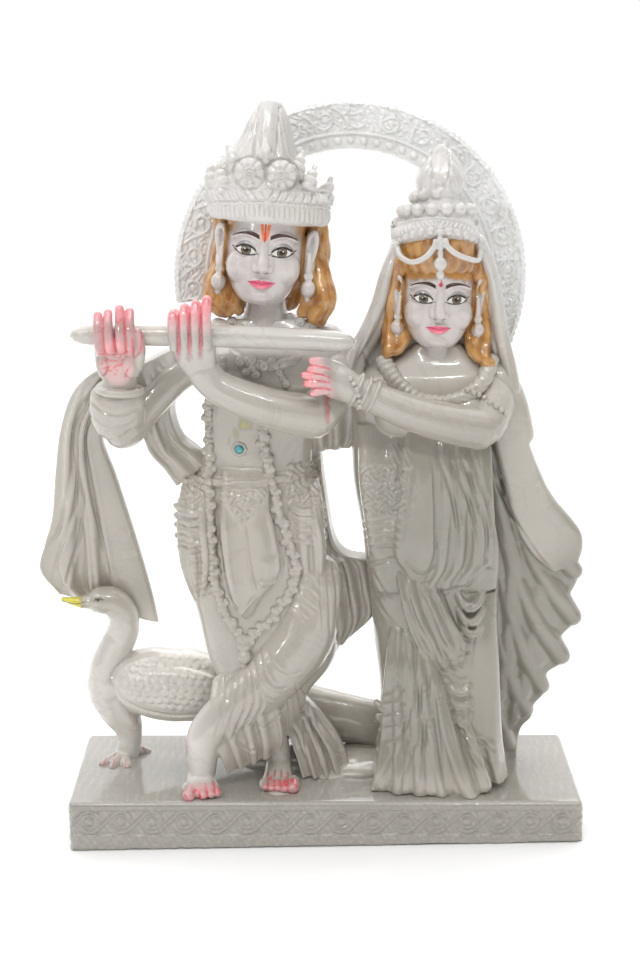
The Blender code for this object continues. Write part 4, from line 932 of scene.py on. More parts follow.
def first_crown():
    """A broad banded rim, leaves that slant up from the middle, rosettes, flame tips and a fluted plume."""
    clay = Clay()

    def leaning(points):
        points = np.array(points, float)
        points[..., 2] -= 0.1 * (points[..., 0] + 28) * smoothstep(418, 396, points[..., 2])
        return points

    clay.move = leaning
    clay.mass(
        (386.6, -62, 6.5, -27.5, 30), (389, -63.6, 8.2, -29.4, 31), (393, -64, 8.5, -29.8, 31),
        (401, -63.6, 8.3, -30, 31), (406, -63.0, 1.8, -28, 30), (411, -62.2, -4.4, -26, 29),
        (416, -60.4, -7.8, -24.5, 27), (421, -56.8, -10.0, -21.5, 25), (428, -49.6, -11.7, -18, 22),
        (436, -42.8, -13.0, -14.2, 17), (444, -38.6, -14.5, -11.2, 12), (450, -34.8, -16.9, -8.8, 7),
        (455, -31.4, -19.5, -7, 3), (457.2, -29.4, -21.6, -5.5, 1),
        power=2.2,
        steps=8,
        sides=96,
    )
    clay.move = None
    clay.limb((3, -2, 394, 6, 6), (5.2, -3, 400, 5.6, 5), (8.2, -4, 405.6, 3.2, 3), (9.6, -4, 410.6, 1, 1.4))
    clay.limb((-60, -2, 402, 6, 6), (-61, -3, 410, 5, 5), (-61.4, -3, 416, 3, 3), (-60.6, -3, 420, 1, 1.4))
    for x, z in ROSETTES:
        clay.ball((x, -24, z), (8.8, 4.6, 8.6), pitch=12, sides=32)
    for x, z, y, lean in (
        (-53, 410, -19, -3), (-46.5, 421, -18, -4), (-28.6, 424, -19, 0), (-11, 417, -16, 4),
        (-4.5, 408, -17, 4.5)
    ):
        clay.limb(
            (x, y, z - 4, 4.6, 3.4), (x + lean * 0.4, y - 1.6, z + 3, 4, 3),
            (x + lean, y + 1.6, z + 10, 1.2, 1.4), sides=20
        )
    clay.limb(
        (-28, -14.6, 429, 5.0, 4), (-27.4, -11.6, 438, 5.2, 4.6), (-26.6, -7.6, 449, 4.6, 4),
        (-26.2, -5.4, 454.4, 4.2, 3)
    )
    piece = clay.fused("first_crown", 0.46, 1)
    chisel = Chisel(piece)
    angle = angle_round(chisel, np.array((-28.0, 2.0, 392.0)), 0.0)
    seen_x, seen_y, seen_z = chisel.seen.T
    seen = as_seen(chisel.seen, -28)
    rim = np.interp(
        seen_x, (-64, -57, -44, -31, -18, -8, 4, 9), (390.2, 390.6, 391.1, 391.6, 389.9, 387.6, 384.5, 383.5)
    )
    teeth_top = np.interp(seen_x, (-60, -28, 8.6), (399.9, 399.3, 395.8))
    leaf_top = np.interp(seen_x, (-60, -28, 8.7), (410.4, 407.0, 403.4))
    ahead = smoothstep(158, 140, np.abs(angle))
    along = np.radians(angle) * 34
    teeth = smoothstep(rim - 0.4, rim + 0.5, seen) * smoothstep(teeth_top - 1.4, teeth_top - 2.2, seen)
    chisel.cut += teeth * ahead * (1.7 * np.sqrt(np.abs(np.cos(along * math.pi / 3.1))) - 0.9)
    chisel.cut += bump(seen - teeth_top + 0.3, 1.3) * ahead * (0.55 + 0.5 * np.cos(along * FULL_TURN / 2.4))
    way = np.sign(seen_x + 28)
    leaf = leaves(np.abs(along), seen - teeth_top - 0.8, 5.2, 8.0, 0.75)
    chisel.cut += (
        ahead * 1.75 * leaf
        - ahead * 0.5 * smoothstep(0.4, 1.2, seen - teeth_top) * smoothstep(9.4, 8.4, seen - teeth_top)
    )
    bulge = smoothstep(leaf_top, leaf_top + 1.2, seen) * smoothstep(428, 424, seen)
    side_leaf = np.abs(((np.abs(along) * 0.55 + (seen - leaf_top) * 1.2) / 6.4 % 1) - 0.5) * 2
    near_rosette = np.zeros(len(angle))
    for cx, cz in ROSETTES:
        dx, dz = seen_x - cx, as_seen(chisel.seen, -26) - cz
        far, turn = np.hypot(dx, dz), np.arctan2(dz, dx)
        facing = seen_y < -12
        inside = smoothstep(9.2, 8.4, far) * facing
        petals = np.abs(np.cos(turn * 4.5 + 0.4)) * smoothstep(3.6, 4.6, far) * smoothstep(8.8, 8.0, far)
        coil = ((far / 1.75 - way * turn / FULL_TURN) % 1 - 0.5) * smoothstep(3.9, 3.4, far)
        chisel.cut += (
            inside * (1.25 * np.sqrt(petals) - 0.55 * (far > 3.9))
            + facing * 1.3 * np.abs(coil) * 2 * (far < 3.9)
        )
        chisel.cut -= facing * bump(far - 9.6, 1.1) * 0.9
        near_rosette = np.maximum(near_rosette, smoothstep(10.6, 9.8, far) * facing)
    chisel.cut += bulge * ahead * (1 - near_rosette) * (1.3 * np.sqrt(side_leaf) - 0.75)
    plume = smoothstep(424, 428, seen) * smoothstep(457.5, 454, seen_z)
    middle = -26.4 - (452 - seen_z) * 0.1
    on_knob = smoothstep(6.6, 5.6, np.abs(seen_x - middle)) * (seen_y < 2) * smoothstep(428, 432, seen_z)
    swirl = np.abs(angle) * (1 + (seen_z - 430) * 0.014) - (seen_z - 428) * 0.5
    flutes = np.abs(((swirl / 13.5) % 1) - 0.5) * 2
    chisel.cut += plume * (1 - on_knob) * (1.35 * np.sqrt(flutes) - 0.8)
    chisel.cut -= plume * bump(np.abs(seen_x - middle) - 6.6, 1.1) * 1.2 * (seen_y < 2) * (seen_z < 453)
    chisel.done()
    return thinned(piece)


def first_body():
    """The flute player from the shoulders to the feet, standing with one leg crossed over the other."""
    clay = Clay()
    clay.mass(
        (58, -48, -18, -15, 12), (74, -56, -14, -22, 16), (88, -64, -8, -25, 19), (102, -70, 4, -26, 21),
        (114, -74, 9, -26, 22), (132, -78, 9, -26, 24), (159, -83, 6, -26, 27), (183, -86, 1, -25, 28),
        (206, -87, -3, -23, 28), (222, -82, -4, -21, 27), (236, -74, -4, -17, 24), (257, -70, -2, -18, 23),
        (276, -69, 6, -20, 24), (292, -71, 14, -21, 24), (304, -73, 17, -19, 23), (313, -69, 15, -15, 21),
        (320, -62, 6, -11, 18), (327, -52, -6, -8, 16),
    )
    clay.ball((-48, -12, 288), (17, 10, 13))
    clay.ball((-14, -12, 288), (17, 10, 13))
    # the leg that stands, and the leg that crosses it
    clay.limb((-56, 0, 120, 20, 19), (-42, -2, 84, 15, 14), (-33, -8, 56, 9.5, 9.5), (-30, -9, 40, 8.5, 9))
    clay.limb(
        (-30, -8, 37, 8.5, 8), (-30, -19, 35.5, 9, 6.6), (-30, -29, 33.5, 10.5, 5), (-30, -35, 32.5, 10, 3.6),
        side=(1, 0, 0),
    )
    clay.limb(
        (-6, -6, 160, 20, 20), (-14, -16, 126, 21, 18), (-38, -23, 98, 18, 15), (-60, -25, 80, 15, 13),
        (-74, -27, 66, 12.5, 11), (-77.5, -29, 54, 10.5, 10), (-78, -30, 43, 9, 9),
    )
    clay.limb(
        (-79, -28, 42, 8, 8), (-79.5, -33, 38.5, 8.6, 6.4), (-77.5, -40, 35.5, 10, 4.6),
        (-76.5, -44, 33.5, 9.4, 3.4),
        side=(1, 0, 0),
    )
    for x, size, reach in (
        (-38.4, 2.2, 0), (-34.4, 2.5, 1.2), (-30.2, 2.5, 1.8), (-26, 2.7, 3.0), (-20.4, 3.9, 1.6)
    ):
        clay.limb((x, -31, 34.5, size, size), (x, -37 - reach, 33, size, size * 0.9), steps=4, sides=16)
    toes = ((-84.2, 4.2, 2.2, -1.5), (-77.6, 2.8, 2.2, 1.0), (-73, 2.5, 1.2, 1.4), (-69, 2.3, 0, 1.6))
    for x, size, reach, shift in toes:
        clay.limb(
            (x, -39, 35.5, size, size), (x + shift, -46 - reach, 33.5, size, size * 0.9), steps=4, sides=16
        )
    # cloth: the hem bunched below the calf, and a fan of folds behind the heel
    clay.drape(
        (-70, 100, -40, 114, -20, -14, 4, 0.4), (-72, 86, -34, 98, -28, -23, 6, 1),
        (-71, 70, -28, 82, -30, -24, 8, 2), (-66, 52, -26, 64, -28, -22, 8, 2.6),
        (-62, 40, -28, 52, -26, -20, 6, 2.6),
        folds=4,
        wander=0.02,
    )
    clay.drape(
        (-34, 84, -15, 82, -6, 4, 8, 1), (-26, 68, -1, 66, -6, 6, 9, 2), (-19, 46, 11, 48, -10, 4, 9, 3),
        (-15, 31, 18, 29, -14, -4, 8, 3),
        folds=4,
        wander=0.02,
    )
    carve_first_sashes(clay)
    piece = clay.fused("first_body", 0.85, 2)
    chisel = Chisel(piece)
    cut_first_folds(chisel)
    chisel.done()
    thinned(piece)
    brush = Brush(piece)
    paint_toes(brush)
    return piece


def carve_first_sashes(clay):
    """The belt, the tongue of cloth under it, the sashes at its sides and those between the figures."""
    clay.hoop((-44, 3, 229), (36, 25), 2.6, roll=-2)
    clay.drape(
        (-60, 236, -31, 236, -15, -14, 3, 0.3), (-60, 226, -31, 226, -22, -21, 4, 0.6),
        (-61, 208, -31, 208, -26, -24, 4, 0.8), (-60, 186, -27, 186, -28, -26, 4.2, 0.8),
        (-57, 166, -27, 170, -29.5, -27.5, 4.2, 0.8), (-53, 152, -38, 156, -29, -28, 3.6, 0.4),
        (-48, 142, -42, 146, -25, -24, 2.4, 0.2),
        folds=1.5,
    )
    for left, right, high, low, front in ((-88, -69, 214, 166, -19), (-20, 1, 214, 166, -19)):
        clay.drape(
            (left + 3, high + 14, right - 2, high + 14, front + 16, front + 10, 4, 0.4),
            (left + 1, high + 4, right, high + 4, front + 6, front + 1, 5, 0.8),
            (left - 1, high - 14, right + 1, high - 14, front + 2, front - 3, 6.4, 1.4),
            (left, low + 12, right + 2, low + 12, front + 3, front - 2, 6.4, 1.4),
            (left + 4, low - 6, right - 2, low - 6, front + 7, front + 3, 5, 1.0),
            (left + 7, low - 18, right - 5, low - 18, front + 14, front + 11, 3, 0.4),
            folds=2.5,
            wander=0.02,
        )
        for z in (high - 2, high - 8, high - 14, high - 21):
            clay.limb(
                (left - 1, front + 3, z + 1.6, 2, 2.2), (
                    (left + right) / 2, front - 6, z - 1.4, 2.5, 2.4
                ), (right + 1, front - 1, z + 1, 2, 2.2), sides=16
            )
    clay.drape(
        (-16, 262, 3, 262, 2, 8, 6, 0.6), (-14, 240, 2, 240, 2, 10, 6, 1), (-12, 212, 5, 211, 2, 12, 6, 1.4),
        (-10, 188, 9, 186, 0, 13, 6.4, 1.8), (-8, 176, 16, 174, 0, 14, 6.6, 2.2),
        (-6, 167, 31, 168, 0, 16, 6.6, 2.2), (-2, 146, 35, 152, 0, 14, 6.6, 2.4),
        (2, 124, 36, 134, 2, 14, 6.4, 2.2), (4, 106, 20, 120, 4, 10, 5, 1.6),
        folds=3.5,
        wander=0.02,
    )
    clay.drape(
        (-8, 276, 24, 276, -2, 6, 7, 0.6), (-10, 262, 24, 262, 0, 8, 7, 1.6),
        (-8, 250, 23, 250, 2, 9, 6.4, 2), (-6, 242, 20, 243, 4, 10, 5.4, 1.6),
        folds=3,
        phase=0.8,
    )


def cut_first_folds(chisel):
    grooves = (
        # the belt and the tongue's panels
        (((-63, 227.4), (-48.8, 227.3), (-31, 227.3)), 1.2, 0.9),
        (((-63, 231.2), (-48.8, 231), (-31.8, 231.2)), 1.0, 0.6),
        (((-62.9, 214.9), (-62.1, 199.5), (-60.1, 180.5), (-57.6, 161.1), (-53, 149)), 1.6, 1.5),
        (((-31, 214), (-27.5, 199), (-24, 182), (-24.5, 168)), 1.5, 1.3),
        # the folds round the sashes
        (((-89.8, 213), (-81.3, 211.8), (-72.3, 213.1)), 1.5, 1.2),
        (((-89.9, 208.3), (-81.5, 206.9), (-72.4, 208.2)), 1.5, 1.3),
        (((-90, 203.6), (-81.6, 202.2), (-72.5, 203.4)), 1.5, 1.3),
        (((-90.1, 198.4), (-81.7, 197.0), (-72.6, 198)), 1.5, 1.3),
        (((-90.3, 191), (-82, 189.2), (-72.9, 190.7)), 1.7, 1.6),
        (((-18.7, 212.7), (-12.6, 210.5), (-1.6, 210.5)), 1.5, 1.2),
        (((-18.8, 206.3), (-12.7, 204.8), (-1.7, 204.4)), 1.6, 1.4),
        (((-19, 199.5), (-12.8, 198.6), (-1.8, 198.2)), 1.6, 1.4),
        (((-19.1, 193.2), (-13, 193), (-1.9, 192.4)), 1.6, 1.4),
        # the sash that hangs between the figures
        (((-9.7, 237), (-3, 199.6), (-1.2, 160.5), (0.7, 126.7)), 1.6, 1.3),
        (((-5, 225), (1.2, 192.4), (3.8, 159.6), (4.5, 127)), 1.4, 1.0),
        (((-0.2, 211.9), (5.5, 177.6), (8.8, 158.2), (8.4, 121.9)), 1.6, 1.3),
        (((10.6, 174.5), (15.3, 156.7), (17.6, 129.3)), 2.2, 1.0),
        (((21.9, 165.4), (24.3, 154.8), (25.4, 136.1)), 2.2, 0.9),
        # round the thighs
        (((-10.9, 170.8), (-6.1, 166), (-1.2, 159.2)), 1.6, 1.2),
        (((-13.5, 164.7), (-7.4, 159.6), (-1.3, 153)), 1.6, 1.2),
        (((-16.1, 158.5), (-10, 153.6), (-2.7, 147.1)), 1.5, 1.0),
        (((-21.2, 150.9), (-15.1, 147.9), (-9, 141.4)), 1.5, 0.8),
        (((-84.3, 186.6), (-78.2, 186.1), (-73.2, 187.5)), 1.7, 1.2),
        (((-82.2, 179.7), (-75.9, 179.2), (-72.2, 180.8)), 1.6, 1.2),
        (((-80.7, 171.5), (-75, 172.1), (-71.2, 174.7)), 1.6, 1.2),
        (((-79.6, 162), (-74.8, 164.1), (-70.6, 167.6)), 1.5, 1.0),
        (((-78.6, 153), (-73.8, 155.1), (-68.6, 159.6)), 1.5, 1.0),
        # the cloth drawn down and round the crossing leg
        (((-59.4, 110.3), (-62.7, 94.5), (-65.1, 82.2), (-68.9, 66)), 1.8, 1.6),
        (((-53.4, 109.8), (-54.6, 95.7), (-57, 84.9), (-64.6, 62)), 1.8, 1.8),
        (((-48.8, 104.3), (-49, 90.1), (-52.6, 79.8), (-60.7, 62)), 1.8, 1.7),
        (((-46.5, 112.5), (-43.1, 96.6), (-45.7, 84.5), (-55.3, 67.3)), 1.8, 1.8),
        (((-42.9, 110), (-38.7, 92.7), (-41.2, 83.6), (-50.4, 71.5)), 1.8, 1.7),
        (((-45.1, 121.3), (-39.5, 103.6), (-35.2, 94.8), (-29.7, 90.7)), 1.8, 1.6),
        (((-40.4, 124.9), (-35, 107.8), (-29.4, 100.9), (-21.6, 99.7)), 1.8, 1.4),
        (((-36, 124), (-28, 113), (-20, 109), (-12, 110)), 1.6, 0.8),
        (((-57, 66), (-50, 58), (-42, 58)), 1.8, 1.0),
        # the fan behind the heel
        (((-18, 107.2), (-14.3, 71.9), (-12.4, 50.2), (-10.3, 35.9)), 1.7, 1.5),
        (((-15.9, 101.6), (-6.2, 67.5), (6.3, 45.7), (12.1, 39.1)), 1.7, 1.6),
        (((-22.8, 96.5), (-21.5, 61.6), (-17.1, 45)), 1.7, 1.4),
        (((-9.6, 75.8), (-0.5, 59.6), (11, 42.4)), 1.5, 1.2),
        (((-13, 88), (-9, 66), (-3, 44), (0, 36)), 1.6, 1.3),
        (((-43.8, 75.1), (-34.8, 73.9), (-27.8, 79.7), (-24.4, 83)), 1.6, 1.2),
    )
    for path, width, height in grooves:
        chisel.fold(path, width, height, depth=(-60, 12))
    ridges = (
        (((-58.7, 210.9), (-57.5, 195.7), (-56.2, 176.8), (-53.2, 158.2)), 1.4, 1.0),
        (((-46.7, 205.6), (-45.2, 189.1), (-43.2, 172.8), (-40, 160.6)), 1.3, 1.2),
        (((-40, 160.6), (-45.7, 153.5), (-51.2, 147.9), (-56.3, 155.2)), 1.4, 1.2),
        (((-33.1, 213.9), (-30.4, 198.9), (-27.5, 182.4), (-27.3, 170.1)), 1.3, 1.1),
        (((-27, 170.1), (-33.3, 166.6), (-39.2, 168)), 1.4, 1.1),
        (((-26.4, 186), (-31, 180), (-37, 181)), 1.2, 0.5),
    )
    for path, width, height in ridges:
        chisel.stroke(path, width * 1.3, height * 1.5, depth=(-60, -12))
    # leaf work: lumps over the belt's hanging V and at both hips
    x, y, z = chisel.seen.T
    ahead = chisel.front * (y < 6)
    vee = smoothstep(0, 2, z - (202 + np.abs(x + 47.5) * 1.35)) * smoothstep(226.5, 225, z)
    left_hip = (
        smoothstep(-92, -89, x) * smoothstep(-71.5, -73, x) * smoothstep(214, 217, z)
        * smoothstep(246, 243, z)
    )
    right_hip = (
        smoothstep(-22, -19, x) * smoothstep(2, -1, x) * smoothstep(214, 217, z) * smoothstep(240, 237, z)
    )
    curls = np.sin(x * 1.15 + 1.6 * np.sin(z * 0.62)) * np.sin(z * 1.05 + 1.5 * np.sin(x * 0.55 + 1))
    chisel.cut += ahead * vee * (0.9 + 0.85 * curls)
    chisel.cut += ahead * (left_hip + right_hip) * (0.4 + 0.95 * curls)


def paint_toes(brush):
    """Pink toes with red lines between them and round the nails, and a pink shin edge."""
    x, y, z = brush.seen.T
    for middle, across, front in ((-29.6, 11.5, -36.5), (-77.4, 11.5, -43.5)):
        off = np.abs(x - middle)
        reach = (
            smoothstep(front + 5.5, front - 1.5, y) * smoothstep(across + 3, across, off)
            * smoothstep(44, 39, z)
        )
        brush.lay(SKIN_PINK, reach * 0.62)
    lines = (
        ((-41.6, 36.5), (-41.9, 33), (-39.5, 31)), ((-36.3, 40.5), (-36.5, 36), (-36.4, 32)),
        ((-32.3, 41), (-32.3, 36), (-32.4, 31.6)), ((-28, 41), (-28.2, 36), (-28.2, 31.4)),
        ((-24, 41), (-23.8, 36), (-23.9, 31.4)), ((-24, 31.2), (-20, 30.2), (-16.4, 33), (-16.2, 38)),
        ((-27.8, 30.8), (-26, 29.8), (-24.2, 31)),
        ((-22.3, 36.4), (-20.3, 37.5), (-18.3, 36.2), (-18.6, 33.2)),
        ((-31.6, 36.2), (-30.2, 37), (-28.9, 36.2)), ((-27.3, 35.4), (-26, 36.2), (-24.8, 35.4)),
        ((-35.6, 36.4), (-34.4, 37), (-33.2, 36.4)),
        ((-88.6, 37), (-86, 32.5), (-81.6, 30.8), (-78.8, 32.5), (-79.2, 36)),
        ((-79.4, 38.5), (-78.4, 34.5), (-77, 31.6)), ((-75.4, 39.5), (-74.2, 35.5), (-73.4, 32.2)),
        ((-71.2, 40), (-70, 37), (-68.8, 34)), ((-83.6, 35.4), (-81.4, 36.4), (-79.8, 35)),
        ((-77.2, 30.6), (-74.6, 31), (-73, 32)), ((-68.8, 39.4), (-66.6, 37), (-67, 33.6)),
    )
    for path in lines:
        brush.line(LINE_RED, path, 0.75, depth=(-60, -26))
    brush.line(SKIN_PINK, ((-87.4, 72), (-89, 66), (-88, 58)), 4.5, depth=(-60, 0), strength=0.5)
    threads = (((-55.5, 252), (-50, 260), (-44.5, 268), (-40, 272)), ((-48, 262), (-44, 264), (-39, 262)))
    for path in threads:
        brush.line(THREAD_YELLOW, path, 1.1, depth=(-40, 0), strength=0.75)
    brush.line(THREAD_YELLOW, ((-76, 244), (-74.5, 248), (-72.5, 243)), 1.1, depth=(-40, 10), strength=0.75)
    brush.done()


def raised_arm():
    """The arm on the left, bent up to the flute, its palm to the front, with a plain round bracelet."""
    clay = Clay()
    clay.limb(
        (-68, 6, 302, 13, 13), (-86, 1, 294, 12, 12), (-104, -9, 278, 12, 12), (-117, -20, 265, 12.5, 12)
    )
    clay.limb(
        (-118, -21, 264, 13, 12), (-120, -26, 276, 12.5, 12), (-119, -30, 292, 10.5, 10),
        (-118, -33, 302, 11, 9)
    )
    clay.hoop((-118.5, -30.5, 290), (12.7, 11.7), 2.5, roll=4)
    clay.mass(
        (296, -128, -109, -39, -27), (303, -131, -106, -42, -28), (312, -132, -105, -43, -29),
        (320, -131.5, -105.5, -42, -30), (326, -130, -107, -40, -32),
    )
    clay.ball((-127, -40.5, 309), (4.2, 4.4, 8))
    clay.ball((-110.5, -40.5, 307), (5.4, 5.4, 8.4), roll=-14)
    for x, tip, bow in ((-127.6, 339.5, 0), (-121.6, 341, 0.8), (-114.8, 343.5, 0.8), (-109, 341.5, 0)):
        clay.limb(
            (x * 0.97 - 3.5, -41, 314, 3.1, 3),
            (x, -48 - bow, 321, 3.0, 3),
            (x, -49.4 - bow, 330, 2.9, 3),
            (x, -45.5 - bow, tip - 2, 2.6, 2.7),
            sides=18,
        )
    clay.limb(
        (-106.5, -40, 306, 3.6, 3.6), (-104.0, -45, 317, 3.3, 3.2), (-104.6, -48, 328, 2.5, 2.6), sides=18
    )
    piece = thinned(clay.fused("raised_arm", 0.5, 1))
    brush = Brush(piece)
    x, y, z = brush.seen.T
    palm = smoothstep(13, 9, np.hypot(x + 118, (z - 309) * 0.72)) * brush.front
    brush.lay(PALE_PINK, palm * 0.75)
    fingers = smoothstep(313, 317, z) * smoothstep(-37, -41, y)
    brush.lay(SKIN_PINK, fingers * 0.55)
    brush.lay(SKIN_PINK, fingers * smoothstep(333, 339, z) * 0.75)
    for line in (-124.6, -118.2, -111.9):
        brush.line(
            LINE_RED, ((line, 314), (line + 0.2, 322), (line + 0.2, 330), (line, 338)), 0.85, strength=0.85
        )
    creases = (
        ((-131, 316), (-124, 314.6), (-116, 314.6), (-109.6, 317)),
        ((-128, 308), (-124, 311), (-119, 310), (-114, 315)), ((-131, 306), (-127, 306), (-121, 307.4)),
        ((-124, 303.5), (-120, 306), (-114, 312)), ((-120, 299), (-119, 304), (-114, 309.5)),
        ((-114, 299), (-113, 303), (-110.5, 307)), ((-128, 300), (-125, 303), (-123, 307)),
        ((-107.4, 331), (-104.4, 333), (-102.4, 330), (-102.6, 322), (-104, 316), (-108.6, 311)),
        ((-107.8, 326), (-107.6, 319), (-108.2, 312)),
        ((-130.6, 330), (-130, 338), (-127.6, 341.4), (-125, 339)),
        ((-117.6, 336), (-115.6, 334.6), (-112.6, 336.6)),
    )
    for path in creases:
        brush.line(LINE_RED, path, 0.7, strength=0.8)
    brush.done()
    return piece


def folded_arm():
    """The arm on the right, folded across the chest, its fingers laid up over the flute."""
    clay = Clay()
    clay.limb((-2, 4, 302, 14, 13), (8, -4, 294, 13.5, 13), (8, -14, 283, 13.5, 13), (-1, -24, 272, 13.5, 13))
    clay.limb(
        (-3, -25, 270.5, 14, 13), (-22, -31, 275.5, 12.5, 12), (-42, -34, 283, 11.5, 11),
        (-60, -34, 292, 10, 9.5), (-68, -35, 301, 10, 9),
    )
    clay.mass(
        (298, -77, -58, -41, -28), (306, -83, -60, -44, -30), (314, -86, -60, -46, -32),
        (322, -87.5, -60.5, -48, -33), (328, -87, -61, -48, -36),
    )
    for x, tip in ((-84, 341), (-77.8, 344), (-71.2, 346), (-64.6, 348.5)):
        clay.limb(
            (x * 0.98 - 1.5, -44, 318, 3.3, 3.2),
            (x, -49.5, 327, 3.1, 3.2),
            (x, -49.8, 336, 3.0, 3),
            (x + 0.8, -46.5, tip - 2.5, 2.8, 2.8),
            sides=18,
        )
    piece = clay.fused("folded_arm", 0.5, 1)
    chisel = Chisel(piece)
    for x, tip in ((-83.2, 341), (-77, 344), (-70.4, 346), (-63.8, 348.5)):
        for side in (-1, 1):
            chisel.stroke(
                ((x + side * 1.6, tip - 5.4), (x + side * 1.5, tip - 2.4), (x, tip - 1.2)), 0.7, -0.28
            )
    for x in (-80.9, -74.5, -67.9):
        chisel.stroke(((x - 1.2, 313), (x, 322), (x + 0.6, 340)), 1.3, -0.8, taper=0.1)
    chisel.done()
    thinned(piece)
    brush = Brush(piece)
    x, y, z = brush.seen.T
    fingers = smoothstep(318, 334, z) * (x < -56)
    brush.lay(PALE_PINK, fingers * 0.8)
    brush.lay(SKIN_PINK, fingers * smoothstep(330, 343, z) * 0.75)
    for k, line in enumerate((-80.6, -74.2, -67.6)):
        high = 341 + 1.5 * k
        brush.line(
            LINE_RED, ((line - 1.4, 313 + k), (line - 0.3, 324), (line + 0.4, high)), 0.95, strength=0.9
        )
        brush.line(SKIN_PINK, ((line - 1.8, 308 + k), (line - 1, 316), (line, 326)), 1.9, strength=0.55)
    for x, tip in ((-83.6, 341), (-77.2, 344), (-70.6, 346), (-64.0, 348.5)):
        nail = (
            (x - 1.7, tip - 6), (x - 1.6, tip - 3), (x, tip - 1.2), (x + 1.5, tip - 3), (x + 1.4, tip - 6)
        )
        brush.line(LINE_RED, nail, 0.55, strength=0.6)
    brush.line(LINE_RED, ((-86.6, 330), (-87, 337), (-84, 341.6)), 0.6, strength=0.7)
    brush.line(LINE_RED, ((-2.5, 299), (2.2, 292), (4.8, 284), (5.6, 275), (5.2, 267)), 0.7, depth=(-70, 10))
    brush.line(
        SKIN_PINK, ((-3.5, 299), (1.6, 292), (4.0, 284), (4.8, 275), (4.6, 267)), 1.9, depth=(-70, 10),
        strength=0.4
    )
    brush.done()
    return piece


def flute():
    """A plain round flute, tapered at its left tip."""
    rows = (
        (-144.5, -39, 324.8, 1.2), (-144, -39, 324.9, 2.6), (-142.6, -39, 325, 3.7), (-139, -39, 325, 5.0),
        (-133, -39, 325.1, 5.8), (-124, -39, 325.2, 6.1), (-60, -38, 323, 6.6), (-10, -37, 320, 6.6),
        (8, -36.2, 318.4, 6.3), (15, -36, 317.8, 5.6), (19, -35.8, 317.4, 4.4), (21, -35.7, 317.3, 2.6),
        (21.6, -35.7, 317.2, 0.8),
    )
    clay = Clay()
    clay.rope(rows, steps=8, sides=48)
    return clay.shelled("flute")


def scarf():
    """The scarf wound over the raised forearm: one end hangs to the left, the other runs in to the waist."""
    clay = Clay()
    clay.drape(
        (-127, 303, -108, 300, -18, -12, 7, 0.6), (-140, 295, -114, 288, -12, -8, 8, 1.6),
        (-152, 281, -124, 272, -3, -4, 8, 2.0), (-161, 257, -134, 254, 5, 3, 7, 2.0),
        (-166.5, 229, -128, 227, 12, 10, 6.4, 2.0), (-171, 199, -121, 196, 18, 17, 6, 2.2),
        (-177, 180, -115, 168, 22, 22, 6, 2.6), (-182, 161, -110, 142, 25, 26, 5.4, 3.0),
        (-171, 143, -107, 122, 28, 28, 4.6, 2.8),
        folds=4,
        phase=0.6,
        wander=0.02,
        flat_from=0.68,
        columns=120,
    )
    # the turn of cloth round the forearm, its lower edge cut in scallops
    clay.limb(
        (-119, -20, 262, 13, 12), (-120.5, -22, 268, 16, 14.5), (-121, -25, 277, 17, 14.5),
        (-121, -27, 284, 16.4, 13.4),
        steps=5,
        sides=48,
    )
    clay.drape(
        (-122, 296, -74, 316, -12, 4, 9, 0.8), (-118, 284, -80, 302, -10, 6, 10, 1.4),
        (-114, 270, -86, 286, -6, 8, 9, 1.8), (-110, 256, -89, 269, -2, 9, 8, 1.8),
        (-105, 243, -85, 254, 1, 8, 7.4, 1.6), (-97, 233, -76, 246, 2, 6, 7.4, 1.2),
        (-90, 222, -66, 238, 2, 4, 7, 0.8),
        folds=2.5,
    )
    piece = clay.fused("scarf", 0.8, 2)
    chisel = Chisel(piece)
    folds = (
        (
            (
                (-128, 300), (-141.3, 286.8), (-151.8, 258.4), (-156.1, 228.3), (-166.2, 191.6),
                (-179.7, 171.3)
            ),
            2.4, 1.8
        ),
        (
            (
                (-133, 290), (-145.9, 266.1), (-151.5, 235.2), (-156.7, 202.8), (-168.5, 172.1),
                (-175.7, 150.3)
            ),
            2.2, 1.6
        ),
        (((-147.3, 222), (-153, 190), (-162.3, 162.2), (-166.1, 143.5)), 2.2, 1.6),
        (((-146.6, 214), (-147.2, 184.1), (-146.6, 154.5), (-148, 140)), 2.2, 1.5),
        (
            ((-132, 284), (-144, 259), (-144.9, 231.1), (-142.4, 199.5), (-138.4, 172.1), (-135.5, 148)), 2.4,
            1.8
        ),
        (((-107.4, 296), (-101.8, 274.1), (-98, 256), (-92.2, 240.4)), 2.0, 1.4),
        (((-102.4, 300), (-96.4, 280.1), (-93.6, 262.3), (-87.3, 247.3)), 2.0, 1.4),
        (((-96.2, 304), (-90.6, 292.1), (-88.6, 276.5)), 1.8, 1.2),
        (((-137, 286), (-128, 279), (-117, 277), (-106, 281)), 2.0, 1.0),
        (((-136, 277), (-127, 270), (-117, 269), (-107, 273)), 2.0, 0.9),
    )
    for path, width, height in folds:
        chisel.fold(path, width, height, depth=(-50, 40))
    x, y, z = chisel.seen.T
    around = np.arctan2(x + 120, -(y + 22))
    cuff = smoothstep(24, 20, np.hypot(x + 120, y + 22)) * smoothstep(266, 262, z + 2.4 * np.cos(around * 6))
    chisel.cut -= cuff * 1.5
    chisel.done()
    return thinned(piece)


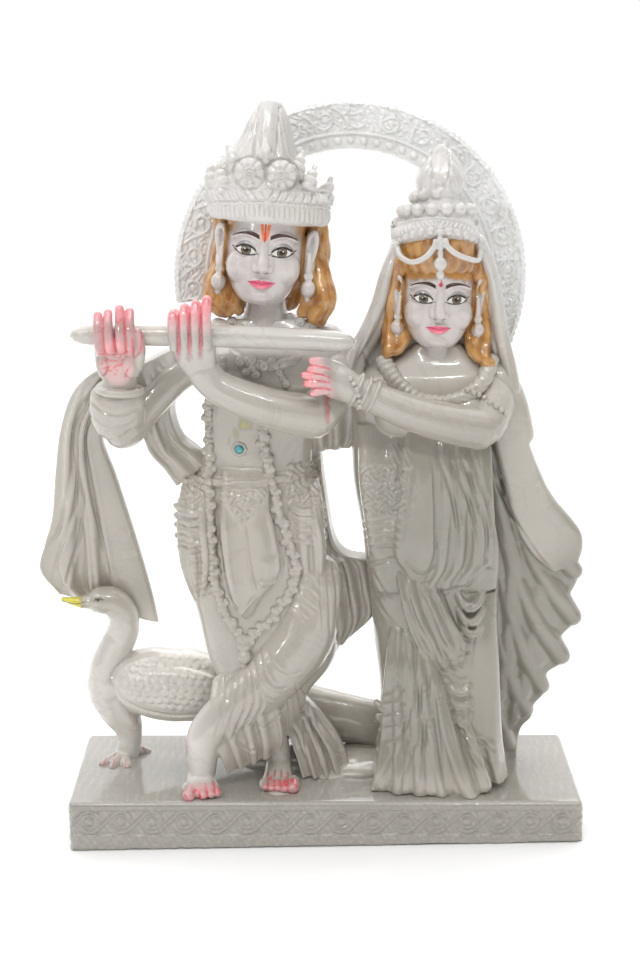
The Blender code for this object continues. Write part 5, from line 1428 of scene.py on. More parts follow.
def shoulder_cloth():
    """The gathered cloth on the flute player's shoulders, seen on either side of the neck."""
    clay = Clay()
    clay.drape(
        (-14, 326, 12, 320, 0, 4, 7, 0.8), (-8, 316, 20, 310, 0, 4, 8, 1), (-2, 302, 22, 294, -4, -2, 8, 1.4),
        (2, 284, 20, 280, -10, -8, 8, 1),
        folds=2.5,
    )
    clay.limb(
        (-60, -4, 314, 3.4, 3), (-46, -16, 305, 3.4, 3), (-30, -20, 301, 3.4, 3), (-14, -17, 304, 3.4, 3),
        (2, -4, 312, 3.4, 3)
    )
    clay.hoop((-30, 2, 316), (22, 15), 3, roll=2, pitch=16)
    clay.limb((-60, -2, 322, 6, 6), (-50, -8, 316, 6, 5), (-44, -12, 308, 4, 3), steps=5)
    piece = clay.fused("shoulder_cloth", 0.6, 2)
    chisel = Chisel(piece)
    x, y, z = chisel.seen.T
    around = np.degrees(np.arctan2(x + 30, -(y - 2)))
    on_neck = smoothstep(30, 24, np.hypot(x + 30, y - 2)) * smoothstep(298, 302, z)
    chisel.cut += on_neck * (0.9 * np.abs(np.sin(np.radians(around) * 11)) * np.abs(np.cos(z * 0.75)) - 0.3)
    for path in (
        ((4, 322), (10, 308), (12, 290)), ((12, 318), (17, 304), (17, 288)), ((-4, 320), (2, 306), (6, 292))
    ):
        chisel.fold(path, 1.8, 1.3, depth=(-40, 30))
    chisel.done()
    return thinned(piece)


GARLAND = (
    (-66, 288), (-67.2, 272.5), (-67.4, 262.9), (-67.6, 246.5), (-68.4, 231.3), (-68.5, 212.8),
    (-68.2, 196.2), (-67.8, 184.3), (-67, 171.1), (-64.8, 160.6), (-61.8, 150.2), (-57.8, 140.4),
    (-53.4, 132.8), (-47.6, 128.4), (-41.6, 132.3), (-36.5, 137.6), (-30.1, 144.1), (-23.7, 153),
    (-18.5, 161.8), (-15.6, 171.2), (-16.9, 181.1), (-19.8, 190.8), (-23.3, 201), (-26.1, 211.2),
    (-28.3, 223.9), (-30.6, 233.5), (-32.7, 245.3), (-34.1, 257.5), (-35.2, 272),
)


def laid_on(tree, x, z, from_y=-0.09):
    """How far forward the skin stands at x and z, in millimetres, or None where there is none."""
    start = Vector(placed((x, 0, z)))
    start.y = from_y
    hit = tree.ray_cast(start, (0, 1, 0))
    return None if hit[0] is None else hit[0].y / SHARE


def evenly(path, pitch):
    """Points a pitch apart along a path, with the way it runs at each."""
    path = spline(path, 12)
    runs = np.concatenate([[0], np.cumsum(np.linalg.norm(np.diff(path, axis=0), axis=1))])
    places = np.arange(0, runs[-1], pitch)
    points = np.stack([np.interp(places, runs, path[:, k]) for k in range(path.shape[1])], -1)
    return points, unit(np.gradient(points, axis=0))


def garland(tree):
    """A long rope of small carved flowers, uneven in size, with a pendant at its lowest point."""
    clay = Clay()
    points, ways = evenly(GARLAND, 3.5)
    depths = np.array([laid_on(tree, x, z) or -20.0 for x, z in points])
    smooth = np.convolve(np.pad(depths, 4, mode="edge"), np.ones(9) / 9, mode="valid")
    draw = np.random.default_rng(8)
    for k, ((x, z), (run_x, run_z), y) in enumerate(zip(points, ways, np.minimum(smooth, depths + 0.8))):
        clay.ball((x, y - 0.4, z), (3.2, 2.6, 2.6))
        aside = (-2.7, 2.3, -0.4, 2.9, -2.2, 0.6)[k % 6] + draw.uniform(-0.4, 0.4)
        size = 2.5 + 0.4 * draw.uniform(-1, 1)
        bloom = np.array((x - run_z * aside, y - 1.3 + 0.12 * aside**2, z + run_x * aside))
        clay.ball(bloom, (size, size * 0.9, size), sides=16)
        for turn in np.arange(5) * FULL_TURN / 5 + draw.uniform(0, 2):
            clay.ball(
                bloom + (1.35 * math.cos(turn), -1.75, 1.35 * math.sin(turn)), (0.85, 0.7, 0.85), sides=8
            )
    low_y = laid_on(tree, -49, 122) or -30
    clay.ball((-49, low_y - 1.5, 124.6), (4.8, 3.6, 3.8))
    clay.ball((-49.3, low_y - 2.2, 117.6), (4.6, 4.2, 4.8))
    clay.ball((-49.6, low_y - 1.6, 112.0), (2.4, 2.4, 2.2))
    piece = clay.fused("garland", 0.46, 2)
    chisel = Chisel(piece)
    chisel.cut += 0.2 * ripple(chisel.seen, 3.4, 21)
    chisel.done()
    return thinned(piece)


def seen_on(tree, x, z, plane):
    """The point of the skin that the camera sees through x and z of the plane y = plane, in millimetres."""
    way = Vector(placed((x, plane, z))) - EYE_POINT
    hit = tree.ray_cast(EYE_POINT, way.normalized())
    return None if hit[0] is None else drawn(np.array(hit[0]))


def chest_jewels(tree):
    """Coiled jewels on the chest and the shoulders, and the string that leads down to the garland."""
    clay = Clay()
    lumps = [
        (-46.6, 305, -26, 3.2), (-43.2, 298.8, -26, 3), (-37.2, 297.5, -26, 3.2), (-32.3, 302.3, -26, 3.2)
    ]
    lumps += [
        (-39.4, 306.1, -26, 3), (-39.4, 301.4, -26, 2.6), (-27.5, 304.3, -24, 2.8), (-23.5, 298.1, -24, 2.8)
    ]
    lumps += [(-19.4, 290.7, -24, 2.8), (-21.4, 294.4, -24, 2.4), (-25.4, 301.2, -24, 2.4)]
    lumps += [(-56.3, z, -24, 2.2) for z in (306, 302, 298.7, 295)]
    lumps += [(-51.7, 325.4, -4, 3.4), (-47, 322, -6, 3), (-43.4, 318, -10, 2.8)]
    lumps += [
        (-16.5, 327.3, -4, 3.2), (-10.5, 324.7, -4, 3.4), (-7, 318.5, -4, 3.2), (-12.6, 318, -8, 2.8),
        (-3, 323, -2, 3)
    ]
    for x, z, plane, size in lumps:
        spot = seen_on(tree, x, z, plane)
        if spot is None or spot[1] > 20:
            continue
        spot[1] += 0.3
        clay.ball(spot, (size, size * 0.8, size))
        clay.hoop(
            spot + (0, -size * 0.55, 0), (size * 0.62, size * 0.62), size * 0.24, pitch=90, around=24, sides=8
        )
        clay.ball(spot + (0, -size * 0.8, 0), (size * 0.26, size * 0.3, size * 0.26), sides=10)
    return thinned(clay.fused("chest_jewels", 0.4, 1))


def beads(name, spots, sides=8, rings=6):
    """Round beads of carved stone, one modelled and then copied to every spot of x, y, z and radius."""
    bpy.ops.object.select_all(action="DESELECT")
    bpy.ops.mesh.primitive_uv_sphere_add(segments=sides, ring_count=rings, radius=1)
    piece = bpy.context.object
    piece.name = piece.data.name = name
    one = np.array([vertex.co[:] for vertex in piece.data.vertices])
    faces = [tuple(polygon.vertices) for polygon in piece.data.polygons]
    points = np.vstack([one * radius + (x, y, z) for x, y, z, radius in spots])
    every = [tuple(k * len(one) + i for i in face) for k in range(len(spots)) for face in faces]
    mesh = bpy.data.meshes.new(name)
    mesh.from_pydata(placed(points), [], every)
    piece.data = mesh
    picked_alone(piece)
    bpy.ops.object.shade_smooth()
    return piece


def row_of_beads(tree, path, pitch, radius, sunk=0.35):
    """Spots for beads a pitch apart along a path of x and z, sunk a little into the skin behind them."""
    points, _ = evenly(path, pitch)
    spots = []
    for x, z in points:
        y = laid_on(tree, x, z)
        if y is not None:
            spots.append((x, y - radius * (1 - 2 * sunk), z, radius))
    return spots


# ---------------------------------------------------------------- the companion


def second_head():
    neck = ((72, 4, 292, 13, 13), (72.5, 3, 304, 10.8, 11.5), (73, 3, 320, 11.4, 12))
    piece = thinned(head_piece("second_head", SECOND_HEAD, 4.4, 0.6, neck))
    brush = Brush(piece)
    x, y, z = from_head(SECOND_HEAD, brush.seen).T
    side = np.abs(x)
    worn = 1.2 * ripple(brush.seen, 5, 6)
    edge = np.maximum(
        smoothstep(19.5, 23.0, side + worn * 0.4), smoothstep(15.5, 19.5, z + side * 0.2 + worn)
    )
    edge *= smoothstep(-24, -14, z) * (side < 24.6) * (y < 6)
    brush.lay(HAIR_LIGHT, edge * 0.85)
    brush.lay(HAIR_GOLD, smoothstep(0.4, 1.0, edge) * 0.92)
    brush.done()
    return piece


def second_hair():
    """The hair is combed flat over the forehead and falls behind the ears to the shoulders."""
    clay = Clay()
    clay.mass(
        (352, 51, 97, -14, 26), (355.5, 48.4, 98.6, -19.4, 28), (362, 47.2, 99.6, -21.0, 30),
        (370, 47.2, 99.6, -21.6, 30), (377, 49, 98, -21.4, 29), (384, 54, 93, -16, 26),
        power=2.1,
    )
    clay.ball((73, 12, 340), (28, 15, 28))
    curtains = (
        ((52, -5, 361, 5), (47.4, -3, 347, 5), (46, 0, 331, 5), (44.4, -2, 316, 5.2), (43.6, -7, 307, 4.6)),
        ((95, -5, 360, 5), (100, -3, 345, 5), (101, 0, 330, 5), (101, -2, 312, 5.2), (101, -8, 301, 4.6)),
        ((53, 2, 326, 6), (51, -2, 314, 6), (47, -5, 308, 5), (42.4, -7, 305.6, 3.6)),
        ((93, 2, 324, 6), (95, -3, 311, 6), (99, -7, 303, 5), (104, -9, 298.6, 3.6)),
    )
    for curtain in curtains:
        clay.rope(curtain)
    piece = thinned(clay.fused("second_hair", 0.6, 2))
    wavy_hair(piece, SECOND_HEAD, 12, waves=7.0).done()
    return piece


def second_crown():
    """A rim of pearls and slanted ribs that rises over the forehead, rows of balls and a bud-shaped plume."""
    clay = Clay()

    def arched(points):
        points = np.array(points, float)
        off = np.clip(np.abs(points[..., 0] - 73) / 27, 0, 1) * (points[..., 1] < 4)
        points[..., 2] -= 6.5 * off**2 * smoothstep(394, 382, points[..., 2])
        return points

    clay.move = arched
    clay.mass(
        (375.5, 48, 98, -21, 33), (378, 46.4, 99.6, -23.6, 33), (381, 45.6, 99.4, -24.2, 32.6),
        (384, 46.2, 98.0, -23.6, 31.6), (386, 49.4, 95.8, -22, 30), (390, 55, 92.4, -18.6, 27),
        (395, 60, 89, -15.5, 23), (399, 62.6, 88, -13, 20), (404, 60.9, 89.9, -13.4, 19),
        (409, 60.6, 89.8, -13, 18), (414, 61.8, 88, -11.4, 15), (420, 66, 84.8, -8.4, 11),
        (425.4, 69.8, 80.8, -5.5, 6), (429.2, 73.8, 77, -3, 2),
        power=2.2,
        steps=8,
        sides=80,
    )
    clay.move = None
    for swag in (
        (
            (70.4, -25, 374.6), (69.2, -25.4, 371), (64, -26, 365.4), (56.6, -22.4, 362.4), (50.4, -16, 365),
            (48, -12, 371)
        ),
        (
            (76.4, -25, 375), (77.4, -25.4, 371.6), (82.8, -25.4, 367), (91.1, -20, 363.2),
            (96.8, -13, 361.8), (98.6, -9, 367)
        ),
    ):
        for (x, y, z), _ in zip(*evenly(swag, 1.5)):
            clay.ball((x, y, z), (1.9, 1.7, 1.9), sides=12)
    centre = np.array((73.0, 2.5))
    for radius, up, lift, size, step, aside in (
        (20.8, 389.6, 3.2, 4.0, 24, 0), (13.6, 397.8, 3.0, 3.7, 32, 16)
    ):
        for angle in np.arange(-180 + aside, 180, step):
            turn = math.radians(angle)
            x, y = centre[0] + radius * math.sin(turn), centre[1] - radius * math.cos(turn)
            clay.ball((x, y, up + lift * math.cos(turn)), (size, size, size), sides=20)
    # the pendant on the forehead: a string of links, a block and a drop
    clay.limb(
        (73.2, -23.4, 382, 2.0, 1.6), (73.2, -24.6, 374, 1.7, 1.6), (73.2, -25.4, 366, 1.7, 1.6), steps=5,
        sides=16
    )
    clay.ball((73.2, -24.6, 361.4), (3.9, 3.0, 4.4))
    clay.ball((73.2, -23.8, 354.6), (2.5, 2.2, 3.0))
    piece = clay.fused("second_crown", 0.46, 1)
    chisel = Chisel(piece)
    angle = angle_round(chisel, np.array((73.0, 3.0, 384.0)), 2.5)
    seen_x, seen_y, seen_z = chisel.seen.T
    seen = as_seen(chisel.seen, -24)
    ridge = np.interp(seen_x, (44, 58.3, 72.2, 84.4, 96.7, 101), (383.4, 387.6, 388.5, 386.6, 381.2, 379))
    pearls = np.interp(
        seen_x, (44, 46.9, 55, 63.2, 71.4, 81.2, 89.3, 95.9, 100),
        (371, 373.1, 377.9, 380.2, 380.9, 379.9, 377.3, 373.1, 370)
    )
    along = np.radians(angle) * 25.5
    ahead = smoothstep(160, 140, np.abs(angle))
    across = (along / 5.2 + 0.5) % 1 - 0.5
    round_pearls = np.sqrt(np.clip(1 - (across * 5.2 / 2.3) ** 2 - ((seen - pearls) / 2.3) ** 2, 0, 1))
    chisel.cut += (
        ahead * (1.6 * round_pearls - 0.3 * bump(seen - pearls, 3.4)) + ahead * 0.9 * bump(seen - ridge, 1.4)
    )
    brim = smoothstep(pearls + 2.6, pearls + 3.6, seen) * smoothstep(ridge - 1.2, ridge - 2.0, seen)
    slanted = np.abs(np.sin((np.abs(along) - 0.7 * (seen - pearls)) * math.pi / 2.7))
    chisel.cut += brim * ahead * (1.1 * slanted - 0.5)
    plume = smoothstep(401, 404, seen_z) * smoothstep(429, 426, seen_z)
    outline = np.hypot(seen_x - 74.4, (seen_z - 420) * 0.4)
    drop = smoothstep(5.4, 4.4, outline) * (seen_y < 0)
    swirl = np.abs(seen_x - 74.4) + 0.032 * np.clip(seen_z - 402, 0, None) ** 1.9
    nested = np.abs(((swirl / 4.6) % 1) - 0.5) * 2
    chisel.cut += plume * (1 - drop) * (1.35 * np.sqrt(nested) - 0.75) * (seen_y < 8)
    flutes = np.abs(((np.abs(angle) / 17.0) % 1) - 0.5) * 2
    chisel.cut += plume * (seen_y >= 8) * (1.2 * np.sqrt(flutes) - 0.7)
    chisel.cut -= plume * bump(outline - 5.8, 1.0) * (seen_y < 0)
    chisel.cut -= (
        bump(np.abs(seen_z - 375.5) % 4.2 - 2.1, 0.8) * 0.5 * (np.abs(seen_x - 73.2) < 2.6) * (seen_y < -22)
        * (seen_z > 366)
    )
    chisel.done()
    return thinned(piece)


def second_body():
    """The companion from the shoulders to the hem: bodice, sash, long panel, pleats and a flaring skirt."""
    clay = Clay()
    clay.mass(
        (26, 30, 116, -38, 34), (36, 31, 115, -40, 34), (48, 33, 114, -36, 32), (62, 36, 113, -32, 30),
        (90, 36, 113, -28, 28), (117, 33, 112, -25, 27), (144, 31, 112, -24, 27), (171, 28, 112, -23, 27),
        (197, 25, 108, -21, 27), (223, 21, 106, -18, 26), (248, 20, 108, -17, 25), (268, 20, 110, -18, 25),
        (280, 20, 113, -18, 25), (290, 24, 112, -15, 25), (297, 34, 106, -10, 24), (303, 50, 96, -7, 20),
        (309, 59, 87, -5, 16),
    )
    clay.ball((50, -14, 268), (16, 11, 14))
    clay.ball((88, -14, 268), (16, 11, 14))
    # the stuff of the dress closes the front from hip to hip
    clay.mass(
        (156, 33, 110, -23, 0), (176, 30, 111, -26, 0), (200, 27, 108, -25, 0), (226, 24, 106, -22, 0),
        (254, 24, 106, -17, 0), (268, 28, 104, -10, 0),
        power=3,
    )
    clay.drape(
        (54, 276, 72, 276, -12, -12, 4, 0.3), (51, 256, 71, 256, -19, -19, 5, 0.3),
        (49, 236, 70, 234, -23, -23, 5, 0.4), (46, 205, 70, 200, -26, -26, 5, 0.4),
        (45, 184, 69, 180, -27, -27, 5, 0.3), (52, 170, 60, 165, -26, -26, 4, 0.2),
        folds=0.5,
        phase=1.6,
    )
    clay.drape(
        (66, 274, 102, 270, -10, -6, 4, 0.6), (66, 254, 105, 252, -19, -13, 5, 0.8),
        (67, 230, 106, 230, -23, -17, 5, 1.2), (66, 200, 107, 200, -25, -19, 5, 1.4),
        (63, 174, 106, 180, -26, -20, 5, 1.4), (57, 160, 98, 167, -25, -21, 4.6, 1.2),
        (58, 150, 94, 154, -19, -16, 3, 0.6),
        folds=4,
    )
    clay.drape(
        (23, 262, 52, 262, -8, -14, 4, 0.4), (24, 246, 50, 244, -14, -19, 5, 0.5),
        (24, 228, 48, 226, -16, -22, 5, 0.6), (27, 204, 48, 202, -18, -23, 5, 0.6),
        (30, 184, 48, 186, -18, -24, 4.6, 0.6), (34, 172, 50, 176, -14, -20, 3.6, 0.4),
        folds=1,
    )
    clay.drape(
        (45, 178, 66, 174, -18, -20, 4, 0.6), (47, 164, 71, 160, -24, -26, 5, 1.1),
        (50, 146, 80, 142, -26, -28, 5, 1.4), (56, 128, 88, 126, -27, -29, 5, 1.4),
        (66, 112, 88, 116, -27, -29, 4.4, 1.0), (76, 100, 88, 104, -22, -24, 3, 0.6),
        folds=3.0,
    )
    clay.drape(
        (44, 138, 66, 134, -14, -18, 4, 0.4), (40, 118, 70, 116, -23, -28, 5, 0.8),
        (37, 92, 77, 90, -26, -33, 6, 1.0), (35, 62, 85, 60, -29, -38, 7, 1.6),
        (31, 40, 93, 38, -34, -42, 7, 2.4), (28, 30, 98, 28, -34, -43, 6, 2.6),
        folds=4.5,
        wander=0.02,
    )
    clay.drape(
        (70, 150, 110, 154, -14, -12, 6, 0.2), (68, 128, 110, 130, -18, -16, 8, 0.2),
        (68, 110, 111, 114, -21, -18, 8, 0.3), (70, 86, 112, 88, -24, -20, 8, 0.4),
        (74, 62, 113, 62, -28, -23, 8, 1.2), (80, 46, 115, 46, -34, -25, 7, 2.2),
        (86, 34, 117, 32, -38, -26, 6, 2.6),
        folds=2.5,
    )
    # the hem's folds swing forward at the foot, and swags hang at both sides
    for x, low_x, y in ((43, 36, -36), (55, 51, -40), (66, 67, -43), (77, 84, -43), (88, 100, -40)):
        clay.limb(
            (x, y + 9, 78, 2.6, 3), (low_x + (x - low_x) * 0.4, y + 3, 52, 4, 4), (low_x, y, 33, 5.2, 4.4),
            sides=18
        )
    # what the swags at the hip lie on
    clay.ball((92, -11, 145), (15, 11.5, 20))
    swags = (
        (92, -22, 152, 8, 1), (92, -22, 142, 7.4, 1), (92.6, -22, 134, 6.6, 1),
        (43, -25, 84, 10, -1), (44, -25, 74, 9.6, -1), (45, -26, 65, 9, -1),
        (85, -26, 96, 9, 1), (85.6, -27, 87, 8.6, 1), (86.6, -28, 78, 7.6, 1),
    )
    for x, y, z, wide, way in swags:
        low = z - 4
        clay.limb(
            (x - wide, y, z + 2 + way, 2, 2.6), (x - wide * 0.4, y - 3.6, low + 0.6, 2.8, 3),
            (x + wide * 0.4, y - 3.6, low, 2.8, 3), (x + wide, y + 1, z + 3 - way, 2, 2.6), sides=16
        )
    piece = clay.fused("second_body", 0.85, 2)
    chisel = Chisel(piece)
    cut_second_folds(chisel)
    chisel.done()
    return thinned(piece)


def cut_second_folds(chisel):
    folds = [
        # the sash
        (((24, 202), (36.3, 204.4), (50, 206.3)), 1.7, 1.3),
        (((24, 197), (36.2, 198.7), (50, 200.7)), 1.7, 1.3),
        (((24.5, 191.5), (36.2, 193.2), (50, 195.1)), 1.7, 1.3),
        (((25, 186), (36.1, 187.7), (50, 189.6)), 1.7, 1.2),
        (((25.4, 172.5), (36.5, 177), (48, 181.1)), 2.0, 1.7),
        # the long panel
        (((58.2, 246.8), (54.5, 225), (52, 206.3), (49, 184.2)), 1.6, 1.4),
        (((49, 184.2), (57.9, 173.8), (64.1, 171.9), (69.1, 178.3)), 1.7, 1.6),
        (((68.7, 246), (69.8, 211.8), (69.7, 178)), 1.5, 1.4),
        # the pleats beside it
        (((71.7, 246), (79, 223.8), (83.8, 199), (83.8, 165)), 1.8, 1.9),
        (((77.8, 246), (88.8, 221), (96.3, 195.3), (96.8, 178), (90.8, 163)), 1.8, 1.9),
        (((83.9, 248), (93.9, 222.9), (101.4, 197.3), (100.3, 174.1)), 1.8, 1.6),
        (((89.6, 251.9), (97.5, 227.9), (106, 198), (108, 176)), 1.8, 1.4),
        (
            ((54.3, 163.8), (72, 158.6), (84.5, 160.4), (92.1, 162.4), (101.6, 172.7), (112.7, 167.8)), 1.7,
            1.5
        ),
        # the hanging pleats below
        (((51.9, 162.1), (57.8, 142.2), (66.4, 126.7), (71.9, 111.9)), 1.8, 1.8),
        (((61.6, 160.1), (68.9, 142.3), (73.8, 129.1), (82, 116.7)), 1.8, 1.7),
        (((73.3, 158.5), (79.5, 141.3), (85.8, 125.3), (89.4, 119)), 1.8, 1.6),
        (((70.9, 111.3), (82, 115.3), (92.3, 119.3)), 1.6, 1.4),
        # the swags at the right
        (((85.8, 160.1), (90.9, 147.9), (98.3, 154.6)), 1.6, 1.3),
        (((87.1, 149.6), (91, 140.7), (97.2, 146)), 1.5, 1.2),
        (((88.4, 140.7), (91.9, 134.8), (96.8, 139.1)), 1.4, 1.1),
        (((75.9, 106.2), (83.9, 97.8), (92.4, 98.7)), 1.7, 1.5),
        (((77.1, 96.9), (83.8, 89.2), (92.4, 90.9)), 1.7, 1.5),
        (((78.3, 88), (83.8, 81.1), (91.8, 82.9)), 1.7, 1.4),
        (((80.6, 79.4), (86.2, 73.8), (91.1, 75.2)), 1.6, 1.2),
        # the swags at the left
        (((33, 86), (43.9, 90.1), (50.1, 98.5)), 1.7, 1.4), (((33.4, 78), (44, 82), (51.2, 89.7)), 1.7, 1.4),
        (((34.8, 70.6), (44.2, 74.8), (51.8, 81.9)), 1.7, 1.3),
        (((36.9, 62), (45.4, 66.4), (52.3, 74.2)), 1.7, 1.2),
        # the smooth thighs meet the belted folds
        (((30, 160), (36, 146), (44, 136), (50, 132)), 1.6, 0.9),
        (((31, 171), (38, 158), (46, 150)), 1.6, 1.0),
        # the flaring skirt
        (((57.7, 129.5), (56.4, 103.1), (52.4, 77.8), (42.5, 46)), 1.8, 1.6),
        (((61.4, 112.6), (59.9, 88.2), (56, 62.2), (47.3, 34)), 1.8, 1.7),
        (((66.3, 112), (64.9, 91.2), (62.1, 66.1), (57.3, 32)), 1.8, 1.8),
        (((68.8, 111), (69.9, 84.3), (71.9, 60.2), (74.6, 31)), 1.8, 1.8),
        (((71.8, 109), (73.6, 90.7), (78.2, 66.6), (86.4, 45.4), (92.3, 31.7)), 1.8, 1.8),
        (((76, 98), (80, 78), (88, 58), (99, 40)), 1.8, 1.5),
        (((79.2, 88), (83.8, 70.7), (93.8, 54.9), (106.9, 39.9)), 1.8, 1.6),
        (((83.8, 72), (93.7, 62.9), (111.2, 52.6)), 1.7, 1.3), (((47, 70), (41, 52), (34, 38)), 1.7, 1.2),
        # the plain panel at the back
        (((96.1, 140.9), (92.5, 107.9), (90.6, 70.9)), 1.4, 1.5),
    ]
    for path, width, height in folds:
        calm = 0.62 if path[0][1] < 132 else 0.85
        chisel.fold(path, width * 1.3, height * calm, depth=(-60, 14))
    x, y, z = chisel.seen.T
    ahead = chisel.front * (y < 4)
    bodice = smoothstep(24, 27, x) * smoothstep(53, 50, x) * smoothstep(207, 210, z) * smoothstep(240, 236, z)
    curls = np.sin(x * 1.1 + 1.5 * np.sin(z * 0.6)) * np.sin(z * 1.0 + 1.4 * np.sin(x * 0.6))
    chisel.cut += ahead * bodice * 0.95 * curls
    ribbed = smoothstep(40, 43, x) * smoothstep(57, 55, x) * smoothstep(236, 239, z) * smoothstep(252, 249, z)
    chisel.cut += ahead * ribbed * 0.8 * np.abs(np.sin((x + z * 0.45) * 0.95))


def second_arm():
    """The companion's arm, laid on the flute player's arm, with beaded bracelets and painted fingers."""
    clay = Clay()
    clay.limb((102, 4, 284, 14, 14), (107, -4, 274, 14.5, 14), (101, -17, 263, 14, 14))
    clay.limb(
        (97, -21, 260.5, 13.5, 13), (80, -27, 265, 12.5, 12), (56, -32, 273, 11, 10.5),
        (34, -34, 283, 9.6, 9), (20, -35, 289.5, 9.6, 8.4), (12, -36, 294, 11, 7.6), (5, -36, 298, 10.5, 6.6),
    )
    for bangle in ((22.6, -34.6, 288.6), (27.4, -34.3, 286.4), (32.4, -34, 284.2)):
        clay.hoop(bangle, (10.1, 9.6), 1.2, roll=-64)
    clay.limb((10, -38, 302, 3.6, 3.4), (3, -41, 307.5, 3, 3), (-3, -42.6, 308, 2.5, 2.5), sides=18)
    for spot, tip, size in (
        ((6, 303), (-4.4, 303), 2.6), ((3, 298.8), (-8.0, 299.6), 2.7), ((2, 294), (-7.0, 294.4), 2.7),
        ((4, 289.6), (-3.4, 288.6), 2.5),
    ):
        middle = ((spot[0] + tip[0]) / 2, (spot[1] + tip[1]) / 2 + 0.6)
        clay.limb(
            (spot[0] + 4, -39, spot[1], size, size),
            (middle[0], -43.5, middle[1], size, size),
            (tip[0], -42.6, tip[1], size * 0.85, size * 0.85),
            sides=18,
        )
    piece = clay.fused("second_arm", 0.5, 1)
    thinned(piece)
    brush = Brush(piece)
    x, y, z = brush.seen.T
    fingers = smoothstep(13, 3, x + (z - 296) * 0.25) * brush.front
    brush.lay(PALE_PINK, fingers * 0.8)
    brush.lay(SKIN_PINK, fingers * smoothstep(2, -5, x) * 0.7)
    lines = (
        ((-9, 302), (-4, 301.6), (2, 300), (8, 297)), ((-9.4, 297.2), (-4, 297), (2, 296), (8, 294)),
        ((-6.4, 292), (-1, 291.8), (4, 291.4), (9, 290)), ((-6, 305.6), (-1, 305.6), (4, 304.4), (9, 301.6)),
        ((-9.6, 300.6), (-10, 298.8), (-8.6, 297.4)), ((-5, 290), (-5.4, 288), (-3, 286.6), (1, 287)),
        ((-8, 295.8), (-8.8, 294.2), (-7.4, 292.6)),
    )
    for path in lines:
        brush.line(LINE_RED, path, 0.7, strength=0.85)
    brush.done()
    return piece


def veil():
    """The veil behind the second head, open round the face and lying on the shoulders."""
    clay = Clay()
    clay.mass(
        (292, 20, 118, 0, 32), (302, 18, 115, 2, 33), (312, 24, 113, 4, 34), (326, 31, 112, 5, 35),
        (342, 37, 109, 5, 36), (356, 42, 106, 5, 36), (372, 47, 101, 4, 35), (382, 53, 94, 8, 32),
        (389, 62, 86, 12, 26),
        power=2.6,
    )
    for side, path in (
        (1, ((50, -2, 372), (42, -2, 354), (36, -2, 334), (28, -1, 316), (19, -4, 303), (16, -10, 290))),
        (-1, ((99, -4, 372), (106, -4, 354), (110, -3, 334), (113, -2, 314), (118, -2, 296), (121, -4, 280))),
    ):
        clay.limb(*((x + side, y, z, 4.4, 6) for x, y, z in path), sides=18)
        clay.limb(*((x + side * 6, y + 6, z - 2, 5, 6) for x, y, z in path), sides=18)
    piece = clay.fused("veil", 0.8, 2)
    chisel = Chisel(piece)
    folds = (
        ((45, 366), (38, 346), (31, 328), (22, 308), (18, 294)), ((34, 330), (28, 314), (22, 300), (21, 286)),
        ((103, 366), (109, 344), (113, 322), (117, 300), (120, 284)), ((28, 308), (30, 296), (33, 284)),
        ((108, 312), (110, 300), (108, 288)),
    )
    for path in folds:
        chisel.fold(path, 1.7, 1.1, depth=(-40, 20))
    chisel.done()
    return thinned(piece)


def companion_collar():
    """The twisted necklace that lies on the companion's shoulders and chest."""
    clay = Clay()
    clay.limb(
        (40, -6, 300, 5, 4), (48, -14, 288, 5, 4), (60, -19, 279, 4.4, 3.4), (74, -21, 277, 4.0, 3.2), steps=6
    )
    clay.limb(
        (106, -5, 299, 5, 4), (100, -13, 288, 5, 4), (89, -19, 280, 4.4, 3.4), (76, -21, 277, 4.0, 3.2),
        steps=6
    )
    piece = clay.fused("companion_collar", 0.6, 1)
    chisel = Chisel(piece)
    x, y, z = chisel.seen.T
    around = np.arctan2(x - 72.5, z - 315)
    chisel.cut += 0.75 * np.abs(np.sin(around * 26 + y * 0.3)) - 0.3
    chisel.done()
    return thinned(piece)


